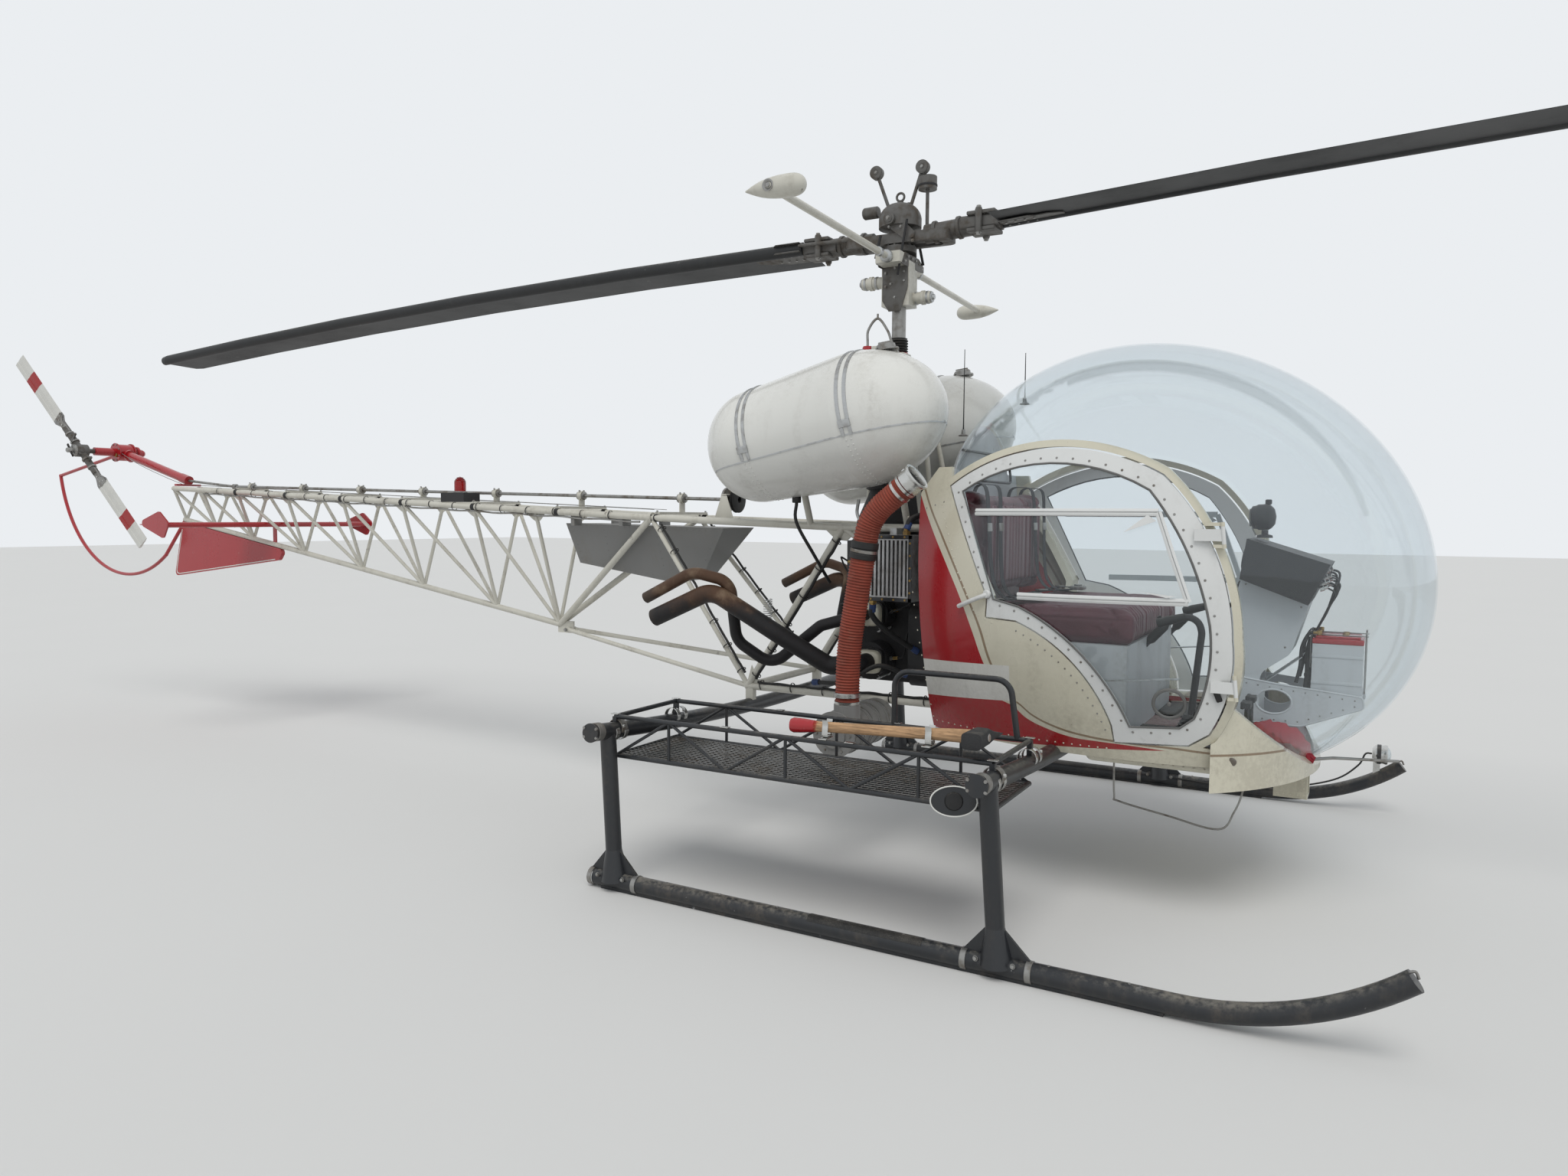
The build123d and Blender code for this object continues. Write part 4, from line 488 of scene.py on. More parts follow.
NODE_FINISHES = {
    "skid": ("skid_left", "skid_right"),
    "black": ("gear_legs", "cross_tubes", "rack_hoop", "cargo_rack"),
    "frame_white": ("tail_boom", "shaft_hangers", "centre_frame", "stabilizer_bar"),
    "white": ("fuel_tank_left", "fuel_tank_right"),
    "door_white": ("door_left", "door_right"),
    "livery": ("cabin_side_left", "cabin_side_right", "cabin_nose"),
    "cream": ("belly_pan",),
    "pale_grey": ("rear_bulkhead", "seat_base", "console", "nose_shelf", "battery_box"),
    "red": ("tail_gearbox", "tail_guard", "tail_fin", "stabilizer"),
    "grey": ("boom_box", "blower"),
    "floor": ("cabin_floor",),
    "blade": ("main_blade_front", "main_blade_rear"),
    "plastic": ("instrument_panel", "beacon_box", "flight_controls", "accessory_case"),
    "hose": ("intake_duct",),
    "steel": ("drive_shaft", "rotor_mast"),
    "rotor": ("rotor_head", "tail_hub"),
    "aluminium": ("oil_cooler",),
    "cast": ("engine_block", "engine_cylinders", "transmission"),
    "heated": ("exhaust_left", "exhaust_right"),
    "vinyl": ("seat_cushion", "seat_back"),
    "clear": ("door_window_left", "door_window_right"),
    "bubble": ("canopy",),
    "beacon": ("beacon",),
    "tail_blade": ("tail_blades",),
    "timber": ("rack_axe",),
    "bright": ("landing_light",),
}


# Forms: small meshes that pieces are gathered from
def as_form(bm):
    """A mesh from a bmesh, its faces turned outwards."""
    bmesh.ops.recalc_face_normals(bm, faces=bm.faces)
    form = bpy.data.meshes.new("form")
    bm.to_mesh(form)
    bm.free()
    return form


def turned(profile, steps=24):
    """A form turned about Z from points of radius and height."""
    bm = bmesh.new()
    knots = [bm.verts.new((r, 0, z)) for r, z in profile]
    edges = [bm.edges.new(pair) for pair in zip(knots, knots[1:])]
    bmesh.ops.spin(bm, geom=knots + edges, cent=(0, 0, 0), axis=(0, 0, 1), angle=tau, steps=steps,
        use_merge=True)
    bmesh.ops.remove_doubles(bm, verts=bm.verts, dist=1e-6)
    return as_form(bm)


def hollow(profile, steps=24):
    """A ring or a cup: a turned form whose outline ends where it starts."""
    return turned([*profile, profile[0]], steps)


def rimmed(radius, height, edge, steps=24):
    """A round slug with softened rims, standing on Z = 0."""
    return turned([(0, 0), (radius - edge, 0), (radius, edge), (radius, height - edge),
        (radius - edge, height), (0, height)], steps)


def plate(outline, depth, bevel=0.0, segments=2):
    """A flat form cut to an outline in X and Y, its middle at Z = 0."""
    bm = bmesh.new()
    face = bm.faces.new([bm.verts.new((x, y, -depth / 2)) for x, y in outline])
    raised = bmesh.ops.extrude_face_region(bm, geom=[face])["geom"]
    bmesh.ops.translate(bm, vec=(0, 0, depth),
        verts=[v for v in raised if isinstance(v, bmesh.types.BMVert)])
    if bevel:
        bmesh.ops.bevel(bm, geom=bm.edges[:], offset=bevel, offset_type="OFFSET", affect="EDGES",
            segments=segments, profile=0.5, material=-1)
    return as_form(bm)


def brick(size, bevel, segments=3):
    """A softened block about its middle."""
    bm = bmesh.new()
    bmesh.ops.create_cube(bm, size=1.0, matrix=Matrix.Diagonal((*size, 1.0)))
    bmesh.ops.bevel(bm, geom=bm.edges[:], offset=bevel, offset_type="OFFSET", affect="EDGES",
        segments=segments, profile=0.5, material=-1)
    return as_form(bm)


def skinned(loops):
    """A skin stretched over a row of closed loops of points, with its ends filled."""
    bm = bmesh.new()
    rings = []
    for loop in loops:
        knots = [bm.verts.new(point) for point in loop]
        rings.append([bm.edges.new(pair) for pair in zip(knots, knots[1:] + knots[:1])])
    for near, far in zip(rings, rings[1:]):
        bmesh.ops.bridge_loops(bm, edges=near + far)
    for ring in (rings[0], rings[-1]):
        bmesh.ops.contextual_create(bm, geom=ring)
    return as_form(bm)


def tubes(runs, resolution=3, cyclic=False, caps=True):
    """Round bars and wires, each given by its points and a radius or a list of radii."""
    curve = bpy.data.curves.new("runs", "CURVE")
    curve.dimensions = "3D"
    curve.bevel_depth = 1.0
    curve.bevel_resolution = resolution
    curve.use_fill_caps = caps
    for points, radius in runs:
        spline = curve.splines.new("POLY")
        spline.points.add(len(points) - 1)
        radii = radius if isinstance(radius, (list, tuple)) else [radius] * len(points)
        for knot, point, r in zip(spline.points, points, radii):
            knot.co = (*point, 1.0)
            knot.radius = r
        spline.use_cyclic_u = cyclic
    holder = bpy.data.objects.new("runs", curve)
    bpy.context.scene.collection.objects.link(holder)
    graph = bpy.context.evaluated_depsgraph_get()
    form = bpy.data.meshes.new_from_object(holder.evaluated_get(graph))
    bpy.data.objects.remove(holder)
    return form


def rounded(points, bend, steps=6):
    """The path through some points with each corner turned on a curve."""
    points = [Vector(p) for p in points]
    path = [points[0]]
    for before, corner, after in zip(points, points[1:], points[2:]):
        pull = min(bend, 0.45 * (before - corner).length, 0.45 * (after - corner).length)
        start = corner + (before - corner).normalized() * pull
        end = corner + (after - corner).normalized() * pull
        for i in range(steps + 1):
            u = i / steps
            path.append(start.lerp(corner, u).lerp(corner.lerp(end, u), u))
    return path + [points[-1]]


def flowing(points, steps=6):
    """A smooth path through every one of some points."""
    points = [Vector(p) for p in points]
    ends = [2 * points[0] - points[1], *points, 2 * points[-1] - points[-2]]
    path = []
    for a, b, c, d in zip(ends, ends[1:], ends[2:], ends[3:]):
        for i in range(steps):
            u = i / steps
            path.append(0.5 * (2 * b + (c - a) * u + (2 * a - 5 * b + 4 * c - d) * u ** 2
                + (3 * b - a - 3 * c + d) * u ** 3))
    return path + [points[-1]]


def spaced(points, step, closed=False):
    """Places at even steps along a path, each with the path's direction there."""
    points = [Vector(p) for p in points]
    if closed:
        points.append(points[0])
    lengths = [(b - a).length for a, b in zip(points, points[1:])]
    total = sum(lengths)
    count = max(1, round(total / step))
    spots = []
    for i in range(count if closed else count + 1):
        left = total * i / count
        for a, b, length in zip(points, points[1:], lengths):
            if left <= length + 1e-9:
                break
            left -= length
        spots.append((a + (b - a) * (left / max(length, 1e-9)), (b - a).normalized()))
    return spots


def placed(origin, up=UP, along=(1, 0, 0)):
    """The place that turns a form's Z to up and its X towards along."""
    up = Vector(up).normalized()
    along = Vector(along)
    along = along - up * along.dot(up)
    if along.length < 1e-6:
        along = up.orthogonal()
    along.normalize()
    turn = Matrix((along, up.cross(along), up)).transposed().to_4x4()
    return Matrix.Translation(Vector(origin)) @ turn


def spot_at(x, y, z, up=UP, along=(1, 0, 0)):
    """The same, for a place from the mast axis."""
    return placed(at(x, y, z), up, along)


class Piece:
    """A mesh gathered from forms, then given a finish and fixed to a body."""

    def __init__(self):
        self.bm = bmesh.new()

    def add(self, form, *places):
        for place in places or (Matrix.Identity(4),):
            first = len(self.bm.verts)
            self.bm.from_mesh(form)
            self.bm.verts.ensure_lookup_table()
            bmesh.ops.transform(self.bm, matrix=place, verts=self.bm.verts[first:])
        return self

    def bar(self, path, radius, resolution=3, closed=False):
        """A round bar along a path."""
        return self.add(tubes([(path, radius)], resolution, closed))

    def wire(self, points, radius, resolution=3, steps=6):
        """A round line that flows through some points."""
        return self.bar(flowing(points, steps), radius, resolution)

    def done(self, name, finish, body="airframe", crease=38.0):
        mesh = bpy.data.meshes.new(name)
        self.bm.to_mesh(mesh)
        self.bm.free()
        mesh.shade_smooth()
        mesh.set_sharp_from_angle(angle=radians(crease))
        return dressed(name, mesh, finish, body)


def dressed(name, mesh, finish, body="airframe"):
    """An object for a finished mesh, with its finish and the body that it moves with."""
    mesh.materials.clear()
    mesh.materials.append(FINISHES[finish])
    obj = bpy.data.objects.new(name, mesh)
    bpy.context.scene.collection.objects.link(obj)
    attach(obj, body)
    return obj


def pieces(count):
    """Some pieces, still empty."""
    return [Piece() for _ in range(count)]


def turns(count, phase=0.0):
    """Cosine and sine of even turns round a circle."""
    angles = [tau * (k + phase) / count for k in range(count)]
    return [(cos(angle), sin(angle)) for angle in angles]


def row(piece, form, points, step, out):
    """Forms at even steps along a path given from the mast axis, each standing towards out."""
    for spot, _ in spaced([at(*point) for point in points], step):
        piece.add(form, placed(spot, out))


def rivet(radius, height=0.35, steps=8):
    """A domed head that stands on Z = 0."""
    return turned([(0, -radius * 0.2), (radius, -radius * 0.2),
        (radius * 0.94, height * radius * 0.5), (radius * 0.6, height * radius * 0.9),
        (0, height * radius)], steps)


def bolt(radius, height):
    """A hexagon head on a washer."""
    bm = bmesh.new()
    bm.from_mesh(turned([(0, 0), (1.25 * radius, 0), (1.25 * radius, 0.15 * height),
        (0, 0.15 * height)], 12))
    bm.from_mesh(turned([(0, 0.15 * height), (radius, 0.15 * height), (radius, 0.85 * height),
        (0.85 * radius, height), (0, height)], 6))
    return as_form(bm)


# The cabin's surfaces
SIDE_BALL_R = 1.6
SIDE_BALL = (1.15, 1.15)
SIDE_OFFSET = 0.835


def side_y(x, z, proud=0.0):
    """Half width of the cabin side at a place."""
    return sqrt((SIDE_BALL_R + proud) ** 2 - (x - SIDE_BALL[0]) ** 2
        - (z - SIDE_BALL[1]) ** 2) - SIDE_OFFSET


def on_side(x, z, side, proud=0.0):
    """A place on the cabin side."""
    return at(x, side * side_y(x, z, proud), z)


def off_side(x, z, side):
    """The way out of the cabin side."""
    return Vector((x - SIDE_BALL[0], side * (side_y(x, z) + SIDE_OFFSET),
        z - SIDE_BALL[1])).normalized()


def arc(start, through, end, steps=12):
    """Points on the circle through three places in a plane."""
    (ax, ay), (bx, by), (cx, cy) = start, through, end
    d = 2 * (ax * (by - cy) + bx * (cy - ay) + cx * (ay - by))
    ux = ((ax ** 2 + ay ** 2) * (by - cy) + (bx ** 2 + by ** 2) * (cy - ay) + (cx ** 2 + cy ** 2)
        * (ay - by)) / d
    uy = ((ax ** 2 + ay ** 2) * (cx - bx) + (bx ** 2 + by ** 2) * (ax - cx) + (cx ** 2 + cy ** 2)
        * (bx - ax)) / d
    first, middle, last = [atan2(y - uy, x - ux) for x, y in (start, through, end)]
    sweep = (last - first) % tau
    if (middle - first) % tau > sweep:
        sweep -= tau
    r = sqrt((ax - ux) ** 2 + (ay - uy) ** 2)
    return [(ux + r * cos(first + sweep * i / steps), uy + r * sin(first + sweep * i / steps))
        for i in range(steps + 1)]


WINDOW = (arc((0.538, 1.541), (0.905, 1.64), (1.262, 1.538)) + arc((1.262, 1.538), (1.405, 1.304),
    (1.473, 1.079))[1:] + arc((1.473, 1.079), (1.47, 0.9), (1.426, 0.75))[1:]
    + [(1.379, 0.712), (1.213, 0.702)] + arc((1.213, 0.702), (1.085, 0.915), (0.811, 1.112))[1:]
    + [(0.705, 1.134)])


def beside(path, gap, closed=True):
    """A flat path moved sideways, outwards on one that runs clockwise."""
    moved = []
    count = len(path)
    for i, (x, z) in enumerate(path):
        before = path[(i - 1) % count] if closed or i else path[i]
        after = path[(i + 1) % count] if closed or i < count - 1 else path[i]
        direction = Vector((after[0] - before[0], after[1] - before[1])).normalized()
        moved.append((x - direction.y * gap, z + direction.x * gap))
    return moved


def side_row(piece, form, path, step, side, closed=False):
    """Forms along a path on the cabin side, standing on it."""
    for spot, way in spaced([(x, 0, z) for x, z in path], step, closed):
        piece.add(form, placed(on_side(spot.x, spot.z, side), off_side(spot.x, spot.z, side), way))


# Sizes and colours that a user would change
class PaintLook(bpy.types.PropertyGroup):
    """Colours of the machine."""
    cream: FloatVectorProperty(name="Cream", description="Cabin skin", subtype="COLOR",
        default=(0.64, 0.615, 0.5), min=0, max=1)
    white: FloatVectorProperty(name="White", description="Tanks and band", subtype="COLOR",
        default=(0.7, 0.7, 0.665), min=0, max=1)
    red: FloatVectorProperty(name="Red", description="Panels, fin and tail", subtype="COLOR",
        default=(0.36, 0.008, 0.014), min=0, max=1)
    pinstripe: FloatVectorProperty(name="Pinstripe", description="Line beside the red panels",
        subtype="COLOR", default=(0.27, 0.2, 0.13), min=0, max=1)
    black: FloatVectorProperty(name="Black", description="Skid gear and rack", subtype="COLOR",
        default=(0.016, 0.018, 0.021), min=0, max=1)
    vinyl: FloatVectorProperty(name="Seat vinyl", description="Seat covering", subtype="COLOR",
        default=(0.075, 0.014, 0.022), min=0, max=1)
    hose: FloatVectorProperty(name="Hose", description="Intake hose", subtype="COLOR",
        default=(0.26, 0.052, 0.03), min=0, max=1)


class CabinLook(bpy.types.PropertyGroup):
    """Trim of the cabin and its doors."""
    screw_radius: FloatProperty(name="Screw radius", description="Heads round the windows",
        default=0.0046, unit="LENGTH")
    screw_step: FloatProperty(name="Screw spacing", description="Between the window screws",
        default=0.062, unit="LENGTH")
    rivet_radius: FloatProperty(name="Rivet radius", description="Heads on the skin",
        default=0.0034, unit="LENGTH")
    rivet_step: FloatProperty(name="Rivet spacing", description="Between the skin rivets",
        default=0.032, unit="LENGTH")
    bead: FloatProperty(name="Bead radius", description="Seal round each window", default=0.0042,
        unit="LENGTH")


class HoseLook(bpy.types.PropertyGroup):
    """The ribbed intake hose."""
    radius: FloatProperty(name="Radius", description="Over the ribs", default=0.0505, unit="LENGTH")
    pitch: FloatProperty(name="Rib spacing", description="From rib to rib", default=0.0118,
        unit="LENGTH")
    rib: FloatProperty(name="Rib height", description="Crest above groove", default=0.0042,
        unit="LENGTH")


class SeatLook(bpy.types.PropertyGroup):
    """The bench of three places."""
    places: IntProperty(name="Places", description="Pads side by side", default=3, min=1, max=4)
    pleat_step: FloatProperty(name="Pleat spacing", description="Between sewn channels",
        default=0.042, unit="LENGTH")
    pleat_depth: FloatProperty(name="Pleat depth", description="Of a sewn channel", default=0.0105,
        unit="LENGTH")


class StageLook(bpy.types.PropertyGroup):
    """Floor and light."""
    floor: FloatProperty(name="Floor size", description="Side of the floor", default=90.0,
        unit="LENGTH")
    sky: FloatProperty(name="Sky strength", description="Even light from all round", default=0.62)
    key: FloatProperty(name="Key strength", description="Soft light from above", default=1.5)


class HELI_OT_finishes(bpy.types.Operator):
    """Give every node of the solid model its finish"""
    bl_idname = "heli.finishes"
    bl_label = "Finishes"

    def execute(self, context):
        make_finishes(context.scene.heli_paint)
        for finish, nodes in NODE_FINISHES.items():
            for name in nodes:
                node = frame["nodes"][name]
                for socket in node.material_slots:
                    socket.material = FINISHES[finish]
                if not node.material_slots:
                    node.data.materials.append(FINISHES[finish])
        return {"FINISHED"}


def door_trim(side, tag, body, look, screw):
    """What sits on one door's frame and pane."""
    bead = [on_side(x, z, side, 0.0006) for x, z in beside(WINDOW, -0.001)]
    Piece().add(tubes([(bead, look.bead)], 2, True)).done(f"window_seal_{tag}", "seal", body)
    screws = Piece()
    side_row(screws, screw, beside(WINDOW, 0.019), look.screw_step, side, True)
    screws.done(f"frame_screws_{tag}", "steel", body)
    rails = Piece()
    top = [(0.615 + 0.68 * i / 12, 1.459) for i in range(13)]
    slant = [(1.295, 1.459), (1.322, 1.385), (1.348, 1.31), (1.376, 1.233), (1.403, 1.156)]
    low = [(1.403 - 0.593 * i / 12, 1.156 - 0.003 * i / 12) for i in range(13)]
    for line, width in ((top, 0.026), (slant, 0.022), (low, 0.026)):
        loops = []
        for i, (x, z) in enumerate(line):
            way = Vector((line[min(i + 1, len(line) - 1)][0] - line[max(i - 1, 0)][0],
                line[min(i + 1, len(line) - 1)][1] - line[max(i - 1, 0)][1])).normalized()
            out = off_side(x, z, side)
            across = Vector((-way.y, 0, way.x))
            across = (across - out * across.dot(out)).normalized()
            section = [(-0.5, -0.003), (-0.5, 0.009), (-0.28, 0.012), (-0.08, 0.012),
                (-0.04, 0.007), (0.04, 0.007), (0.08, 0.012), (0.28, 0.012), (0.5, 0.009),
                (0.5, -0.003)]
            loops.append([on_side(x, z, side) + across * (a * width) + out * b for a, b in section])
        rails.add(skinned(loops))
    for corner, spread in (((1.262, 1.452), (-0.075, -0.06)), ((1.337, 1.17), (-0.085, 0.018))):
        x, z = corner
        wing = [(x, z), (x + spread[0], z + spread[1]), (x + 0.03, z + spread[1] * 0.35)]
        rails.add(skinned([[on_side(px, pz, side, lift) for px, pz in wing]
            for lift in (0.01, 0.016)]))
    rails.done(f"sliding_rails_{tag}", "door_white", body)
    vent = Piece()
    middle, out = on_side(1.347, 0.801, side, 0.0), off_side(1.347, 0.801, side)
    vent.add(hollow([(0.047, 0.0), (0.056, 0.0), (0.058, 0.004), (0.055, 0.009), (0.049, 0.01),
        (0.046, 0.006)], 40), placed(middle, out))
    vent.add(rimmed(0.007, 0.012, 0.002, 12), placed(middle, out))
    vent.done(f"vent_ring_{tag}", "seal", body)
    clips = Piece()
    for x, z in ((1.482, 1.385), (1.548, 0.87)):
        out = off_side(x, z, side)
        clips.add(brick((0.05, 0.03, 0.005), 0.0015), placed(on_side(x - 0.035, z, side, 0.003),
            out, (1, 0, -0.2)))
        for shift in (-0.052, -0.02):
            clips.add(bolt(0.0045, 0.005), placed(on_side(x + shift, z, side, 0.005), out))
    clips.done(f"hinge_straps_{tag}", "aluminium", body)


class HELI_OT_cabin_trim(bpy.types.Operator):
    """Screws, rivets, seals, sliding rails and handles of the cabin sides and doors"""
    bl_idname = "heli.cabin_trim"
    bl_label = "Cabin trim"

    def execute(self, context):
        look = context.scene.heli_cabin
        screw = rivet(look.screw_radius, 0.45, 10)
        head = rivet(look.rivet_radius, 0.4, 8)
        for side, tag in ((1, "left"), (-1, "right")):
            body = f"{tag}_door"
            door_trim(side, tag, body, look, screw)
            skin = Piece()
            rear = [(0.254, 1.44), (0.302, 1.16), (0.352, 0.865), (0.383, 0.62)]
            side_row(skin, head, rear, 0.052, side)
            side_row(skin, head, [(0.44, 1.49), (0.545, 1.22), (0.625, 1.075), (0.7, 1.045)],
                look.rivet_step, side)
            side_row(skin, head, [(0.4, 0.606), (0.8, 0.609), (1.13, 0.612)], look.rivet_step, side)
            skin.done(f"skin_rivets_{tag}", "cream")
            arch = Piece()
            side_row(arch, head, beside(arc((1.124, 0.68), (1.005, 0.875), (0.8, 1.018)), -0.005,
                False), look.rivet_step, side)
            side_row(arch, head, [(0.36, 1.476), (0.4, 1.487), (0.45, 1.5)], 0.04, side)
            arch.done(f"panel_rivets_{tag}", "steel")
            lever = Piece()
            reach = [on_side(0.556, 1.098, side, 0.012), on_side(0.6, 1.117, side, 0.022),
                on_side(0.655, 1.14, side, 0.02), on_side(0.683, 1.152, side, 0.006)]
            lever.wire(reach, 0.009)
            lever.add(rimmed(0.016, 0.016, 0.004), placed(on_side(0.683, 1.152, side, -0.001),
                off_side(0.683, 1.152, side)))
            lever.done(f"door_handle_{tag}", "door_white", body)
        return {"FINISHED"}


class HELI_OT_intake_hose(bpy.types.Operator):
    """The ribbed red hose with its mouth, clamps and the cuff at its middle"""
    bl_idname = "heli.intake_hose"
    bl_label = "Intake hose"

    def execute(self, context):
        look = context.scene.heli_hose
        y = -0.7
        path = rounded([at(0.385, y, 1.592), at(0.19, y, 1.44), at(0.16, y, 1.25),
            at(0.104, y, 0.9), at(0.1, y, 0.68)], 0.16, 10)
        spots = spaced(path, look.pitch / 4)
        points = [spot for spot, _ in spots]
        radii = [look.radius - look.rib * (0.5 - 0.5 * cos(tau * i / 4))
            for i in range(len(points))]
        hose = Piece().add(tubes([(points, radii)], 9, False, False)).done("hose_ribs", "hose",
            crease=60.0)
        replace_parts(hose, "intake_duct")
        mouth, way = path[0], (path[0] - path[1]).normalized()
        lips = Piece()
        lips.add(hollow([(0.047, -0.045), (0.0535, -0.045), (0.0545, -0.03), (0.0525, -0.024),
            (0.0525, -0.006), (0.0585, -0.003), (0.0605, 0.004), (0.058, 0.01), (0.049, 0.008),
            (0.046, 0.0)], 48), placed(mouth, way))
        for i in (0.055, 0.086):
            lips.add(hollow([(0.0515, -0.006), (0.0535, -0.006), (0.0535, 0.006), (0.0515, 0.006)],
                40), placed(mouth - way * i, way))
        lips.add(brick((0.022, 0.012, 0.014), 0.002), placed(mouth - way * 0.06 + UP * 0.06, way))
        foot = at(0.1, y, 0.68)
        lips.add(hollow([(0.046, 0.0), (0.055, 0.0), (0.055, 0.016), (0.053, 0.018),
            (0.046, 0.018)], 40), placed(foot + UP * 0.03))
        lips.add(hollow([(0.03, -0.055), (0.05, -0.004), (0.052, 0.012), (0.046, 0.012),
            (0.03, -0.045)], 40), placed(foot))
        lips.done("hose_clamps", "bright")
        # Painted shade: a black disc set inside the mouth stands for the shaded inside of the hose.
        Piece().add(turned([(0.0, -0.04), (0.0475, -0.04), (0.0475, -0.01), (0.0, -0.036)], 32),
            placed(mouth, way)).done("hose_mouth_shade", "rubber")
        cuff_at = [i for i, point in enumerate(points) if point.z > 1.305][-1]
        cuff, lean = points[cuff_at], (points[cuff_at - 4] - points[cuff_at + 4]).normalized()
        band = Piece().add(turned([(0.048, -0.036), (0.0545, -0.034), (0.0555, -0.016),
            (0.0525, -0.012), (0.0525, 0.006), (0.056, 0.01), (0.055, 0.034), (0.048, 0.036)], 40),
            placed(cuff, lean))
        band.done("hose_cuff", "rubber")
        Piece().add(hollow([(0.0525, -0.009), (0.0548, -0.009), (0.0548, 0.003), (0.0525, 0.003)],
            40), placed(cuff, lean)).done("hose_cuff_clamp", "steel")
        return {"FINISHED"}


# The fuel tanks' outline, from the middle of each tank
TANK_MIDDLE = (-0.13, 0.455, 1.815)
TANK_TILT = radians(11.0)
# Where each round end starts on the axis, its radius and its length
TANK_FRONT = (0.16, 0.285, 0.385)
TANK_REAR = (-0.33, 0.25, 0.24)


def tank_radius(x):
    """Half the width of a tank along its axis: two round ends with a cone between them."""
    for way, (start, radius, length) in ((1, TANK_FRONT), (-1, TANK_REAR)):
        if (x - start) * way > 0:
            return radius * sqrt(max(0.0, 1 - ((x - start) / length) ** 2))
    (rear, small, _), (front, big, _) = TANK_REAR, TANK_FRONT
    return small + (big - small) * (x - rear) / (front - rear)


def in_tank(x, y, z, side):
    """A place given from a tank's middle: along its axis, outwards and up."""
    mx, my, mz = TANK_MIDDLE
    return at(mx + x * cos(TANK_TILT) - z * sin(TANK_TILT), side * (my + y), mz + x * sin(TANK_TILT)
        + z * cos(TANK_TILT))


def on_tank(x, angle, side, proud=0.0):
    """A place on a tank: along its axis, and round it from the outer side (0) over the top (90)."""
    r = tank_radius(x) + proud
    return in_tank(x, r * cos(angle), r * sin(angle), side)


class HELI_OT_tanks(bpy.types.Operator):
    """Straps, beading, rivets, caps and fittings of the two fuel tanks"""
    bl_idname = "heli.tanks"
    bl_label = "Fuel tanks"

    def execute(self, context):
        head = rivet(0.0042, 0.5)
        drop = radians(-20.0)
        for side, tag in ((1, "left"), (-1, "right")):
            straps, rivets, beads = pieces(3)
            for x in (-0.285, 0.215):
                for shift in (-0.017, 0.017):
                    loops = []
                    for i in range(41):
                        angle = drop + (pi - 2 * drop) * i / 40
                        section = ((-0.0075, -0.001), (-0.0075, 0.003), (-0.003, 0.0045),
                            (0.003, 0.0045), (0.0075, 0.003), (0.0075, -0.001))
                        loops.append([on_tank(x + shift + a, angle, side, b) for a, b in section])
                    straps.add(skinned(loops))
                for angle in (drop + 0.18, pi - drop - 0.18):
                    spot = on_tank(x, angle, side, 0.004)
                    out = spot - on_tank(x, angle, side, -0.05)
                    straps.add(brick((0.052, 0.03, 0.01), 0.002), placed(spot, out, (1, 0, 0.2)))
                for i in range(15):
                    angle = drop - 0.06 - 0.085 * i
                    for shift in (-0.011, 0.011):
                        spot = on_tank(x + shift, angle, side)
                        rivets.add(head, placed(spot, spot - on_tank(x + shift, angle, side,
                            -0.05)))
            straps.done(f"tank_straps_{tag}", "aluminium")
            rivets.done(f"tank_rivets_{tag}", "white")
            height = -0.09
            ring = []
            for u, v in turns(72):
                x = 0.5 * (0.53 - 0.5) + 0.5 * (0.53 + 0.5) * u * 0.995
                r = tank_radius(x)
                y = sqrt(max(r * r - height * height, 0.0)) * (1 if v >= 0 else -1)
                ring.append(in_tank(x, y, height, side))
            beads.bar(ring, 0.0055, 2, True)
            beads.done(f"tank_bead_{tag}", "aluminium")
            cap = Piece()
            spot = on_tank(0.33, pi / 2, side, -0.004)
            out = spot - on_tank(0.33, pi / 2, side, -0.05)
            cap.add(turned([(0, 0), (0.052, 0), (0.052, 0.008), (0.04, 0.01), (0.04, 0.026),
                (0.034, 0.031), (0.0, 0.031)], 28), placed(spot, out))
            cap.add(brick((0.06, 0.01, 0.012), 0.003), placed(spot + out.normalized() * 0.036, out,
                (1, 0.4, 0)))
            for u, v in turns(8):
                cap.add(bolt(0.0045, 0.005), placed(spot + Vector((0.046 * u, 0.046 * v, 0.006)),
                    out))
            cap.done(f"tank_cap_{tag}", "steel")
            tap = Piece()
            low = on_tank(-0.2, -pi / 2, side)
            tap.add(rimmed(0.02, 0.03, 0.003, 16), placed(low - UP * 0.024))
            tap.wire([low - UP * 0.02, low + Vector((0.0, 0, -0.11)),
                low + Vector((0.05, -side * 0.08, -0.26)),
                low + Vector((0.08, -side * 0.17, -0.38))], 0.0075)
            tap.done(f"tank_tap_{tag}", "rubber")
        return {"FINISHED"}


# The rotor's own places
BOOM_END_X = -5.6
ROTOR_TURN = radians(2.57)
ROTOR_TILT = radians(2.3)
BAR_HEIGHT = 2.592
TAIL_HUB = (-6.4, -0.3, 1.89)
TAIL_TURN = radians(52.2)
TAIL_FLAP = radians(9.0)


def spun(x, y, z):
    """A place on the rotor, from the mast along and across the blades."""
    return at(x * cos(ROTOR_TURN) - y * sin(ROTOR_TURN), x * sin(ROTOR_TURN) + y * cos(ROTOR_TURN),
        z)


def blade_line(r):
    """Height of the main blades' middle, at a distance along them."""
    return 2.7 + tan(ROTOR_TILT) * r + 0.035 * abs(r) - 0.204 * (r / 5.353) ** 2


